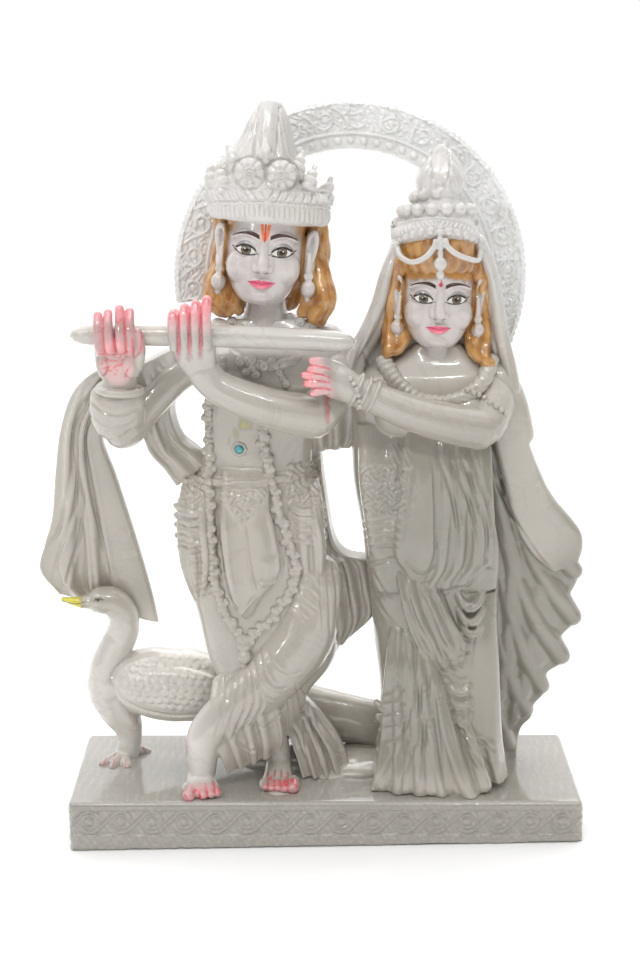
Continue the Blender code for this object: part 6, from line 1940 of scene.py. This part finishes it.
def cape():
    """The cape: folds that fan out from the shoulder, each ending in a lobe of the hem, and a sleeve."""
    clay = Clay()
    clay.drape(
        (92, 294, 114, 292, 4, 8, 6, 0.4), (93, 276, 120, 275, 4, 6, 8, 0.8),
        (96, 246, 128, 246, 7, 9, 8, 1.2), (98, 212, 138, 212, 10, 13, 8, 1.4),
        (100, 184, 156, 186, 12, 14, 8, 1.4), (102, 160, 164.6, 156, 13, 14, 8, 1.4),
        (102, 145, 160, 141, 13, 14, 8, 1.3), (102, 130, 165, 125, 14, 15, 8, 1.2),
        (102, 116, 154.6, 112, 14, 16, 8, 1.2), (102, 103, 158.6, 97, 15, 16, 8, 1.2),
        (102, 92, 146.6, 88, 15, 17, 8, 1.2), (101, 80, 146.6, 76, 16, 17, 8, 1.2),
        (100, 68, 138.6, 66, 16, 18, 8, 1.2), (100, 57, 137, 57, 16, 19, 8, 1.2),
        (99, 46, 129, 46, 17, 20, 8, 1.2), (98, 22, 127, 22, 17, 20, 8, 1.2),
        folds=3.0,
    )
    folds = (
        (
            (111, 12, 252, 3.0), (123, 12, 215, 4.4), (139, 13, 187, 5.4), (153, 13, 169, 6.8),
            (161.4, 14, 158, 6.0)
        ),
        (
            (108, 12, 242, 3.0), (118, 12, 206, 4.4), (133, 13, 171, 5.8), (150, 14, 143, 8.0),
            (161, 15, 127, 6.6)
        ),
        (
            (106, 12, 232, 3.0), (113.6, 12, 190, 4.4), (126, 13, 151, 5.8), (142, 15, 119, 8.2),
            (154, 16, 100, 6.8)
        ),
        (
            (104, 12, 222, 3.0), (109.4, 13, 178, 4.2), (119, 14, 137, 5.6), (131, 16, 101, 7.6),
            (141.6, 17, 79, 6.4)
        ),
        (
            (102, 12, 210, 3.0), (106, 13, 164, 4.0), (112.6, 15, 120, 5.2), (122, 17, 84, 6.8),
            (132, 18, 62, 6.0)
        ),
        (
            (100, 12, 200, 3.0), (102.6, 13, 150, 3.8), (106.6, 15, 100, 4.8), (113, 17, 62, 6.0),
            (121, 18, 38, 5.6)
        ),
    )
    for fold in folds:
        clay.rope(((x, y - 3, z, wide) for x, y, z, wide in fold), deeper=1.1)
    clay.limb(
        (104, 2, 294, 8, 7), (111, -1, 284, 11.5, 9), (118, -2, 268, 11.5, 9), (122, -2, 250, 11.5, 8),
        sides=36
    )
    clay.drape(
        (102, 284, 123, 282, -2, 0, 6, 0.2), (102, 270, 126, 268, -6, -2, 8, 0.3),
        (108, 244, 132, 242, -4, 1, 8, 0.3), (116, 214, 145, 212, -2, 4, 6.4, 0.3),
        (124, 190, 162, 190, -1, 6, 5.4, 0.3), (133, 174, 166.4, 177, 1, 8, 5, 0.4),
        (146, 160, 164, 163, 5, 11, 4, 0.3),
        folds=0.6,
        phase=2.6,
    )
    piece = clay.fused("cape", 0.8, 4)
    chisel = Chisel(piece)
    folds = (
        (
            ((95.2, 262), (106.5, 232.3), (112.1, 215.7), (122.3, 196.1), (137.3, 172.2), (148.3, 160.2)),
            2.0, 1.0
        ),
        (((120, 238), (132, 214), (146, 194), (160, 184)), 2.4, 0.4),
    )
    for path, width, height in folds:
        chisel.fold(path, width, height, depth=(-30, 40))
    chisel.cut += 0.2 * ripple(chisel.seen, 16, 40)
    chisel.done()
    return thinned(piece)


# ---------------------------------------------------------------- the arch, the swan and the plinth

ARCH_X = 21.0
ARCH_Y = 34.0
ARCH_Z = 345.5
ARCH_FROM = -28.0
ARCH_TO = 187.0
ARCH_OUTER = 109.6
ARCH_BAND = 30.0
ARCH_HALF = 7.0


def off_path(x, z, path, steps=6):
    """How far each spot lies from a path of x and z, in millimetres."""
    path = spline(path, steps)
    best = np.full(np.shape(x), 1e9)
    for start, end in zip(path, path[1:]):
        run = end - start
        share = np.clip(((x - start[0]) * run[0] + (z - start[1]) * run[1]) / max(run @ run, 1e-9), 0, 1)
        best = np.minimum(best, np.hypot(x - start[0] - share * run[0], z - start[1] - share * run[1]))
    return best


def arch_relief(radius, angle):
    """The carving on the arch: a row of pearls inside, and outside it scrolls parted by leaves."""
    inner = ARCH_OUTER - ARCH_BAND
    out = radius - inner
    relief = 0.9 * bump(out - 1.2, 1.6)
    step = 5.4
    along = ((angle / step) % 1 - 0.5) * math.radians(step) * (inner + 5.4)
    relief = relief + 2.1 * np.sqrt(np.clip(1 - (along**2 + (out - 5.4) ** 2) / 2.25**2, 0, 1))
    relief = relief + 1.6 * bump(out - 9.6, 1.5)
    step = 12.0
    share = (angle - ARCH_FROM) / step % 1 - 0.5
    across = share * math.radians(step) * (inner + 19)
    up = out - 18.6
    rho = np.hypot(across - 0.8, up)
    phi = np.arctan2(up, across - 0.8)
    wound = (rho - 2.9 - 0.62 * ((phi - 0.6) % FULL_TURN)) / 1.0
    relief = relief + 1.7 * bump(wound, 1.25) + 1.3 * np.sqrt(np.clip(1 - rho**2 / 2.2**2, 0, 1))
    half = math.radians(step) * (inner + 19) / 2
    for shift in (-1, 1):
        leaf = off_path(across - shift * half, up, ((-3.6, -6.6), (-2.4, -2.0), (0.4, 2.6), (4.6, 6.6)))
        relief = relief + 1.5 * bump(leaf, 1.5)
        tip = off_path(across - shift * half, up, ((1.2, -6.8), (2.0, -3.4), (4.2, -0.4)))
        relief = relief + 1.0 * bump(tip, 1.2)
        relief = (
            relief + 1.1
            * np.sqrt(np.clip(1 - ((across - shift * half + 3.2) ** 2 + (up - 5.4) ** 2) / 1.9**2, 0, 1))
        )
    crowd = (
        np.sin(radius * 1.5 + 1.8 * np.sin(angle * 0.9)) * np.sin(angle * 1.45 + 1.3 * np.sin(radius * 0.7))
    )
    relief = np.maximum(relief, 1.15 * smoothstep(-0.2, 0.9, crowd) * smoothstep(10.5, 12, out))
    relief = relief * smoothstep(0.2, 1.6, out) * smoothstep(ARCH_BAND - 0.3, ARCH_BAND - 2.4, out)
    return relief + 0.9 * bump(out - 27.2, 1.5)


def arch():
    """The half ring behind both heads, its outer edge cut in small scallops."""
    clay = Clay()
    share = np.linspace(0, 1, 60)
    rings = []
    for angle in np.linspace(ARCH_FROM, ARCH_TO, 640):
        scallop = 0.85 * abs(math.sin(math.radians(angle) * 78)) - 0.5
        radius = ARCH_OUTER - ARCH_BAND + share * (ARCH_BAND + scallop)
        y = -ARCH_HALF * 0.74 - arch_relief(radius, angle)
        y = y + 1.8 * (1 - np.sqrt(1 - np.abs(2 * share - 1) ** 8))
        front = np.stack([radius, y], -1)
        back = np.array([(ARCH_OUTER + scallop, 0), (ARCH_OUTER - 0.4, 5.4), (ARCH_OUTER - 2, ARCH_HALF)])
        back = np.vstack([back, [(ARCH_OUTER - 10, ARCH_HALF), (ARCH_OUTER - 20, ARCH_HALF)]])
        inner = ARCH_OUTER - ARCH_BAND
        back = np.vstack([back, [(inner + 2, ARCH_HALF), (inner + 0.3, 5.4), (inner, 0)]])
        turn = math.radians(angle)
        ring = np.vstack([front, back])
        rings.append(
            np.stack(
                [
                    ARCH_X + ring[:, 0] * math.cos(turn), ARCH_Y + ring[:, 1],
                    ARCH_Z + ring[:, 0] * math.sin(turn)
                ],
                -1
            )
        )
    clay.rings(np.array(rings))
    piece = clay.shelled("arch")
    chisel = Chisel(piece)
    chisel.cut += 0.18 * ripple(chisel.seen, 13, 4)
    chisel.done()
    return thinned(piece)


def swan():
    """The swan: neck in an S, folded wing of small feathers, and a long tail that runs behind the legs."""
    clay = Clay()
    clay.ball((-106, 22, 82), (42, 19, 24), roll=5, sides=40)
    clay.ball((-140, 22, 82), (15.5, 14, 19), sides=32)
    clay.limb(
        (-92, 24, 84, 21, 18), (-60, 27, 72, 21, 18), (-22, 29, 60, 19, 15), (12, 29, 52, 17, 12),
        (40, 28, 46, 16, 10),
        sides=40,
    )
    clay.limb(
        (-143, 22, 82, 13, 13), (-141, 21, 95, 11.5, 11.5), (-136, 20, 107, 10.6, 10.4),
        (-130, 19, 119, 10.4, 9.8), (-129, 17, 131, 9.8, 9.4), (-135, 15, 141, 9.6, 9.2),
        (-143, 13, 143, 8.8, 8.4),
        sides=36,
    )
    clay.limb((-148, 11.5, 143, 5.4, 5), (-156, 10, 143, 3.6, 3.8), (-166, 8.5, 145.5, 1.4, 2.2), sides=20)
    clay.ball((-98, 9, 79), (37, 9, 19), roll=5, sides=40)
    clay.limb(
        (-139, 22, 76, 16, 13), (-135, 21, 64, 13.5, 11), (-130, 20, 53, 10, 9), (-129, 19, 43, 8, 8),
        (-131, 16, 34, 8, 7.4),
    )
    for x, y in ((-146, 4), (-138.5, -1), (-129.5, 0)):
        clay.limb((-133, 15, 35, 4.4, 4), (x, y, 31.5, 3.4, 2.6), steps=5, sides=16)
    clay.limb((-128, 20, 36, 4, 4), (-118, 24, 31.5, 3.6, 2.6), sides=16)
    clay.mass((29, -149, -122, -2, 22), (31.4, -147, -124, 0, 21), (32.6, -140, -128, 6, 18))
    piece = clay.fused("swan", 0.7, 2)
    chisel = Chisel(piece)
    x, y, z = chisel.seen.T
    wing = (
        ((-136.4, 84.7), (-137.6, 91.6), (-131, 100), (-118, 106.4), (-98, 107)),
        ((-132.6, 85.4), (-133.7, 92.2), (-128.5, 97.6), (-117.2, 102.2), (-100, 103)),
        ((-136, 86), (-132.6, 80.2), (-122.1, 72.8), (-109.6, 68.8), (-93.4, 66.6), (-76, 68)),
    )
    chisel.stroke(wing[0], 1.7, -0.9, depth=(-10, 26))
    chisel.stroke(wing[1], 1.6, 0.5, depth=(-10, 26))
    chisel.stroke(wing[2], 1.9, -1.0, depth=(-10, 26))
    on_wing = (x > -131) & (x < -62) & (z > 68) & (z < 105) & (y < 22)
    edge = smoothstep(1.05, 0.85, np.hypot((x + 96) / 37, (z - 87 + (x + 96) * 0.09) / 17.5)) * on_wing
    bent = z + x * 0.09 + 0.5 * np.sin(x / 7)
    row = np.floor(bent / 4.4)
    place = (x / 5.6 + 0.5 * (row % 2) + 0.12 * np.sin(row * 2.3)) % 1 - 0.5
    level = (bent / 4.4) % 1 - 0.5
    scale = np.hypot(place * 5.6 / 2.3, (level * 4.4 + 0.2) / 2.2)
    chisel.cut += edge * chisel.front * (0.75 * np.sqrt(np.clip(1 - scale**2, 0, 1)) * (0.6 - level) - 0.1)
    chisel.cut -= bump(np.hypot(x + 143.2, (z - 145.9) * 1.3) - 1.9, 0.8) * 0.25 * (y < 12)
    chisel.stroke(((-152.5, 143.4), (-158, 142.8), (-166, 143.8)), 0.8, -0.5, depth=(-4, 12))
    chisel.stroke(((-152.6, 148), (-151.6, 144), (-152.4, 139.5)), 1.3, -0.5, depth=(-4, 14))
    chisel.cut += 0.2 * ripple(chisel.seen, 12, 9)
    chisel.done()
    thinned(piece)
    brush = Brush(piece)
    x, y, z = brush.seen.T
    beak = smoothstep(-152.6, -154.4, x + np.abs(z - 144) * 0.25) * (z > 130)
    brush.lay(BEAK_YELLOW, beak)
    brush.line(
        CLAW_BLACK, ((-151.8, 143.8), (-157, 142.8), (-163, 143.8), (-168, 145.6)), 0.55, depth=(-4, 14),
        strength=0.9
    )
    brush.line(CLAW_BLACK, ((-154, 147.4), (-160, 147.0), (-168, 147)), 0.5, depth=(-4, 14), strength=0.5)
    brush.line(
        CLAW_BLACK, ((-146.4, 144.6), (-143.8, 146.6), (-140.8, 146.0), (-139.6, 145)), 0.6, depth=(-4, 16),
        strength=0.85
    )
    brush.blob(CLAW_BLACK, (-143.4, 4.6, 145.6), (1.5, 6, 1.2), strength=0.95)
    web = (
        ((-148, 40), (-147, 35), (-146.6, 31)), ((-140, 42), (-143, 37), (-145.6, 31)),
        ((-137.6, 38), (-138.4, 34), (-139.6, 30)), ((-131, 36), (-130, 33), (-130, 30)),
        ((-122, 38), (-119.6, 35), (-118, 31)), ((-148, 31.6), (-138, 30.6), (-128, 30.6), (-119, 31)),
    )
    low = smoothstep(42, 36, z) * smoothstep(-152, -148, x) * smoothstep(14, 4, y)
    brush.lay(PALE_PINK, low * 0.32)
    for path in web:
        brush.line(LINE_RED, path, 0.8, depth=(-12, 26), strength=0.6)
    for spot in ((-146.8, 2, 31.4), (-138.8, -2.6, 31.2), (-129.6, -1.6, 31.2), (-117, 22, 31)):
        brush.blob(CLAW_BLACK, spot, (1.7, 2.6, 1.4), strength=0.75)
    brush.done()
    return piece


def stone_rise():
    """The low rise of stone that ties the feet and the hems to the plinth."""
    clay = Clay()
    clay.ball((-24, 12, 30), (34, 20, 8), sides=36)
    clay.ball((20, 8, 30), (26, 26, 7), sides=36)
    clay.ball((-80, -30, 29), (14, 16, 4.5), sides=36)
    clay.ball((-29, -24, 29), (14, 20, 4.5), sides=36)
    clay.ball((4, -10, 29), (12, 10, 4.2), sides=36)
    piece = clay.fused("stone_rise", 1.0, 3)
    chisel = Chisel(piece)
    chisel.cut += 0.35 * ripple(chisel.seen, 9, 14)
    chisel.done()
    return thinned(piece)


PLINTH_HALF = 161.0
PLINTH_DEEP = 54.0
PLINTH_LEFT = 33.0
PLINTH_RIGHT = 27.5
PLINTH_EDGE = 3.6
BAND_TOP = 4.8
BAND_HIGH = 17.2
BAND_DEEP = 1.2
BAND_PITCH = 19.69
FIRST_RING = -147.7
BAND_ROWS = 36
FOOT_ROWS = 12
FOOT_SLOPE = 0.012
BAND_SLOPE = 0.017
EDGE_STEPS = (0, 0.25, 0.7, 1.4, 2.4, 3.6)
CRACK = ((138.5, 18.2), (143.7, 16.9), (150.2, 13.9), (155, 14.6), (159.8, 13.0))


def band_relief(x, up):
    """The plinth's band: rings round bosses, and strands that climb from under one ring over the next."""
    along = (x - FIRST_RING + BAND_PITCH / 2) % BAND_PITCH - BAND_PITCH / 2
    rho = np.hypot(along, up - 0.2)
    relief = 1.0 * bump(rho - 4.6, 1.15) + 1.05 * np.sqrt(np.clip(1 - (rho / 2.7) ** 2, 0, 1))
    strand = (
        (-15.6, -2.6), (-13.6, -5.6), (-9.8, -6.9), (-6, -5.6), (-2.4, -2.1), (2.4, 2.5), (6, 6.0),
        (9.8, 7.3), (13.6, 6.0), (15.6, 3.0)
    )
    middle = (x - FIRST_RING) % BAND_PITCH - BAND_PITCH / 2
    best = np.full(np.shape(x), 1e9)
    for shift in (-BAND_PITCH, 0, BAND_PITCH):
        best = np.minimum(best, off_path(middle - shift, up, strand, 4))
    relief = np.maximum(relief, 1.35 * bump(best, 1.9)) - 0.35 * bump(best, 0.5)
    lower = -7.5 + 0.75 * np.cos(FULL_TURN * along / BAND_PITCH)
    relief = np.maximum(relief, 0.9 * bump(up - lower + 0.9, 1.1))
    return np.maximum(relief, 0.8 * bump(up - 8.3, 0.9))


def plinth():
    """The plinth: rounded glossy edges, a band cut into its front and a rough foot below it."""
    left_end = [-PLINTH_HALF + step for step in EDGE_STEPS]
    right_end = [PLINTH_HALF - step for step in EDGE_STEPS[::-1]]
    columns = np.concatenate([left_end, np.arange(-156.9, 157, 0.85), right_end])
    rings = []
    for x in columns:
        end = max(0.0, PLINTH_EDGE - (PLINTH_HALF - abs(x)))
        inset = PLINTH_EDGE - math.sqrt(max(PLINTH_EDGE**2 - end**2, 0))
        top = PLINTH_LEFT + (PLINTH_RIGHT - PLINTH_LEFT) * (x / (2 * PLINTH_HALF) + 0.5)
        edge_foot = top - PLINTH_EDGE
        middle = top - BAND_TOP - BAND_HIGH / 2
        foot = np.array([[x, 0.0, 0.0]])
        chip = 0.45 + 0.45 * ripple(foot, 17, 3)[0] + 0.3 * ripple(foot, 4, 7)[0]
        low = max(0.0, chip)
        high = middle - BAND_HIGH / 2
        front = [(-PLINTH_DEEP + 1.1, low), (-PLINTH_DEEP + 0.3, low + 0.5)]
        front += [(-PLINTH_DEEP, z) for z in np.linspace(low + 1.2, high - 0.5, FOOT_ROWS)]
        front += [(-PLINTH_DEEP + 0.3, high - 0.2)]
        for z in np.linspace(high + 0.1, high + BAND_HIGH - 0.1, BAND_ROWS):
            front.append((-PLINTH_DEEP + BAND_DEEP, z))
        for turn in np.linspace(0.15, math.pi / 2, 7):
            front.append(
                (-PLINTH_DEEP + PLINTH_EDGE * (1 - math.cos(turn)), edge_foot + PLINTH_EDGE * math.sin(turn))
            )
        back = [(y, top) for y in np.linspace(-PLINTH_DEEP + 8, PLINTH_DEEP - 8, 14)]
        for turn in np.linspace(math.pi / 2, 0.1, 5):
            back.append(
                (PLINTH_DEEP - PLINTH_EDGE * (1 - math.cos(turn)), edge_foot + PLINTH_EDGE * math.sin(turn))
            )
        back += [(PLINTH_DEEP, 20), (PLINTH_DEEP, 10), (PLINTH_DEEP - 0.2, 1.0), (PLINTH_DEEP - 1, 0.2)]
        back += [(40, 0.2), (0, 0.2), (-40, 0.2)]
        ring = np.array(front + back)
        band = np.zeros(len(ring))
        # the band's rows follow the two rows of the chipped foot, the plain rows above it and the band's lip
        rows = slice(FOOT_ROWS + 3, FOOT_ROWS + 3 + BAND_ROWS)
        band[rows] = band_relief(np.full(BAND_ROWS, x), ring[rows, 1] - middle)
        ring[:, 0] -= band
        ring[:, 0] *= 1 - inset / PLINTH_DEEP
        ring[:, 1] -= inset * smoothstep(8, top, ring[:, 1])
        rings.append(np.stack([np.full(len(ring), x), ring[:, 0], ring[:, 1]], -1))
    clay = Clay()
    clay.rings(np.array(rings))
    piece = clay.shelled("plinth", by_drawing=False)
    mesh = piece.data
    points = np.array([vertex.co[:] for vertex in mesh.vertices]) * 1000
    x, y, z = points.T
    rough = smoothstep(9.5, 7.5, z + x * FOOT_SLOPE) * smoothstep(0.3, 1.0, z)
    pits = ripple(points, 5.5, 31) + 0.8 * ripple(points, 2.2, 32)
    y_way = np.sign(y) * smoothstep(20, 40, np.abs(y))
    ends = np.sign(x) * smoothstep(156, 160, np.abs(x))
    points[:, 1] += y_way * rough * np.clip(pits * 0.32, -0.9, 0.25)
    points[:, 0] += ends * rough * np.clip(pits * 0.32, -0.9, 0.25)
    on_top = smoothstep(22, 26, z) * smoothstep(50, 46, np.abs(y))
    points[:, 2] += on_top * 0.28 * ripple(points, 38, 33)
    crack = off_path(x, y, CRACK)
    points[:, 2] -= on_top * bump(crack, 0.9) * 0.4
    mesh.vertices.foreach_set("co", (points / 1000).astype(np.float32).ravel())
    mesh.update()
    brush = Brush(piece)
    x, y, z = (brush.seen * SHARE).T
    crack = off_path(x, y, CRACK)
    brush.lay(CRACK_GREY, smoothstep(0.75, 0.25, crack) * smoothstep(24, 26, z) * 0.55)
    brush.lay(FOOT_GREY, smoothstep(9.8, 8.2, z + x * FOOT_SLOPE) * (0.45 + 0.3 * ripple(brush.seen, 3, 8)))
    # painted shade: grey along the band's lower edge and under the plinth's rounded top edge, on the front
    # face
    level = z + x * BAND_SLOPE
    band_edge_shade = bump(level - 8.6, 1.4) + 0.5 * bump(level - 26.2, 0.9)
    brush.lay(FOOT_GREY, band_edge_shade * smoothstep(-50, -52, y) * 0.35)
    brush.done()
    return piece


def navel_spot(tree):
    """Where the navel's stone sits on the belly, and which way the belly faces there."""
    hits = [
        tree.ray_cast(Vector(placed(spot)), (0, 1, 0))
        for spot in ((-49, -80, 249), (-47, -80, 249), (-51, -80, 249), (-49, -80, 251), (-49, -80, 247))
    ]
    out = sum((hit[1] for hit in hits), Vector()).normalized()
    return hits[0][0], out


def turned_round(name, spot, out, profile, sides, waves=0.0, many=8):
    """A small piece turned round the way out of the skin, its profile in millimetres of radius and height."""
    across = out.cross((0, 0, 1)).normalized()
    upward = across.cross(out)
    rings = []
    for radius, height in profile:
        ring = []
        for k in range(sides):
            turn = FULL_TURN * k / sides
            wide = radius * (1 + waves * math.cos(turn * many)) / 1000
            aside = across * math.cos(turn) + upward * math.sin(turn)
            ring.append(spot + aside * wide + out * height / 1000)
        rings.append([tuple(point) for point in ring])
    clay = Clay()
    clay.rings(np.array(rings))
    return clay.shelled(name, by_drawing=False, metres=True)


def navel_stone(tree):
    spot, out = navel_spot(tree)
    profile = ((2.5, 0.45), (2.62, 0.8), (2.5, 1.2), (2.1, 1.6), (1.4, 1.9), (0.6, 2.03), (0.1, 2.05))
    return turned_round("navel_stone", spot, out, profile, 32)


def navel_setting(tree):
    """The white ring round the stone, cut into small petals."""
    spot, out = navel_spot(tree)
    profile = ((2.7, -0.6), (2.75, 0.7), (3.3, 1.0), (4.1, 0.8), (4.7, 0.3), (4.8, -0.6))
    return turned_round("navel_setting", spot, out, profile, 48, waves=0.045)


def teal_stone():
    """Glazed teal stone with paler clouds."""
    finish = Finish("teal stone")
    place = finish.node("ShaderNodeTexCoord", output=3)
    cloud = finish.node("ShaderNodeTexNoise", None, {"Vector": place, "Scale": 420.0, "Detail": 3.0})
    speck = finish.node("ShaderNodeTexNoise", None, {"Vector": place, "Scale": 1600.0, "Detail": 2.0})
    colour = finish.mixed(cloud.soft(0.4, 0.62), TEAL, TEAL_PALE)
    colour = finish.mixed(speck.soft(0.55, 0.7) * 0.5, colour, TEAL_DARK)
    normal = finish.node("ShaderNodeBump", None, {"Strength": 0.2, "Distance": 0.0001, "Height": cloud})
    finish.set(Base_Color=colour, Normal=normal, Roughness=cloud.soft(0.3, 0.7, 0.08, 0.2), Coat_Weight=0.4)
    return finish.material


def floor():
    bpy.ops.mesh.primitive_plane_add(size=8)
    ground = bpy.context.object
    ground.name = "studio_floor"
    finish = Finish("studio floor")
    finish.set(Base_Color=(0.93, 0.93, 0.925), Roughness=0.6, Specular_IOR_Level=0.2)
    ground.data.materials.append(finish.material)


# Each light: its name, its place, the height on the group that it looks at, its size and its power
LIGHTS = (
    ("broad light", (-0.9, -0.7, 1.3), 0.25, (0.5, 0.5), 2.2),
    ("side light", (1.3, -0.7, 0.8), 0.25, (0.4, 0.8), 0.5),
    ("back light", (0.2, 1.2, 1.3), 0.3, (1.2, 0.8), 4.0),
    ("left tube", (-0.3, -0.8, 1.35), 0.25, (0.5, 0.022), 2.9),
    ("right tube", (0.35, -0.85, 1.25), 0.25, (0.5, 0.022), 2.4),
    ("low lamp", (-0.7, -1.0, 0.55), 0.25, (0.06, 0.06), 1.2),
)


def soft_light(name, place, aim_height, size, power):
    light = bpy.data.lights.new(name, "AREA")
    light.shape = "RECTANGLE"
    light.size, light.size_y = size
    light.energy = power
    lamp = bpy.data.objects.new(name, light)
    lamp.location = place
    aim = Vector((0, 0, aim_height))
    lamp.rotation_euler = (aim - Vector(place)).to_track_quat("-Z", "Y").to_euler()
    bpy.context.scene.collection.objects.link(lamp)


def lit_room():
    """A pale room, a broad light above, and small bright ones that leave sharp glints on the polish."""
    world = bpy.data.worlds.new("pale room")
    world.use_nodes = True
    nodes, links = world.node_tree.nodes, world.node_tree.links
    way = nodes.new("ShaderNodeSeparateXYZ")
    links.new(nodes.new("ShaderNodeTexCoord").outputs["Generated"], way.inputs[0])
    total = nodes.new("ShaderNodeMath")
    # a white wall behind the group, a dim room behind the camera and a bright ceiling
    for k, (axis, low, high, start, end) in enumerate(
        ((1, -0.25, 0.35, 0.13, 1.0), (2, 0.3, 0.9, 0.0, 1.05))
    ):
        ramp = nodes.new("ShaderNodeMapRange")
        ramp.interpolation_type = "SMOOTHSTEP"
        for name, value in (("From Min", low), ("From Max", high), ("To Min", start), ("To Max", end)):
            ramp.inputs[name].default_value = value
        links.new(way.outputs[axis], ramp.inputs["Value"])
        links.new(ramp.outputs[0], total.inputs[k])
    links.new(total.outputs[0], nodes["Background"].inputs["Strength"])
    nodes["Background"].inputs["Color"].default_value = (1.0, 1.0, 1.0, 1.0)
    bpy.context.scene.world = world
    for light in LIGHTS:
        soft_light(*light)
    bpy.context.scene.view_settings.view_transform = "Standard"


def camera():
    """The photograph was taken from a metre away, looking 15 degrees down, with a slight roll."""
    lens = bpy.data.cameras.new("camera")
    lens.sensor_fit = "VERTICAL"
    lens.sensor_height = FILM_HIGH
    lens.lens = EYE_REACH * FILM_HIGH
    eye = bpy.data.objects.new("camera", lens)
    look = (
        Euler((math.radians(90 - EYE_DOWN), 0, 0)).to_matrix()
        @ Euler((0, 0, math.radians(-EYE_ROLL))).to_matrix()
    )
    eye.rotation_euler = look.to_euler()
    eye.location = EYE_POINT
    bpy.context.scene.collection.objects.link(eye)
    bpy.context.scene.camera = eye


def dress(piece, material, slot="white_marble", node="statue"):
    """Gives a finished piece its material and its place in the group, and a bare one empty paint."""
    if "paint" not in piece.data.color_attributes:
        piece.data.color_attributes.new("paint", "FLOAT_COLOR", "POINT")
        bare = np.zeros(4 * len(piece.data.vertices), np.float32)
        piece.data.color_attributes["paint"].data.foreach_set("color", bare)
    piece.data.materials.clear()
    piece.data.materials.append(material)
    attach(piece, "root")
    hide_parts(node)


SHOULDER_STRING = ((90, 284.5), (97, 281), (103, 277), (109, 273), (115, 268))
WRIST_STRING = ((19, 297), (22.4, 291), (24, 284), (24.4, 277))


def put_together():
    """Makes every piece and gives it its finish."""
    marble = painted_marble()
    body, head, hair, crown = first_body(), first_head(), first_hair(), first_crown()
    arms = [raised_arm(), folded_arm()]
    skin = tree_of(body)
    stone, setting = navel_stone(skin), navel_setting(skin)
    loops = garland(skin)
    cloth = shoulder_cloth()
    jewels = chest_jewels(tree_of(body, cloth))
    others = [scarf(), cloth, flute(), setting, loops, jewels]
    gown, locks, peak = second_body(), second_hair(), second_crown()
    forearm, cover, collar, fan = second_arm(), veil(), companion_collar(), cape()
    companion = [gown, locks, peak, forearm, cover, collar, fan]
    second = second_head()
    shoulder = tree_of(gown, forearm, cover, collar)
    strings = row_of_beads(shoulder, SHOULDER_STRING, 3.9, 1.9)
    strings += row_of_beads(tree_of(forearm), WRIST_STRING, 3.6, 1.7)
    necklace = beads("necklace_beads", strings, sides=12, rings=8)
    group = [body, hair, crown, *arms, *others, *companion, necklace, arch(), swan(), stone_rise(), plinth()]
    for piece in group:
        dress(piece, marble)
    dress(head, painted_face("first face", FIRST_HEAD, forked_mark))
    dress(second, painted_face("second face", SECOND_HEAD, dot_mark))
    dress(stone, teal_stone(), "teal_stone", "navel_stone")


put_together()
floor()
lit_room()
camera()
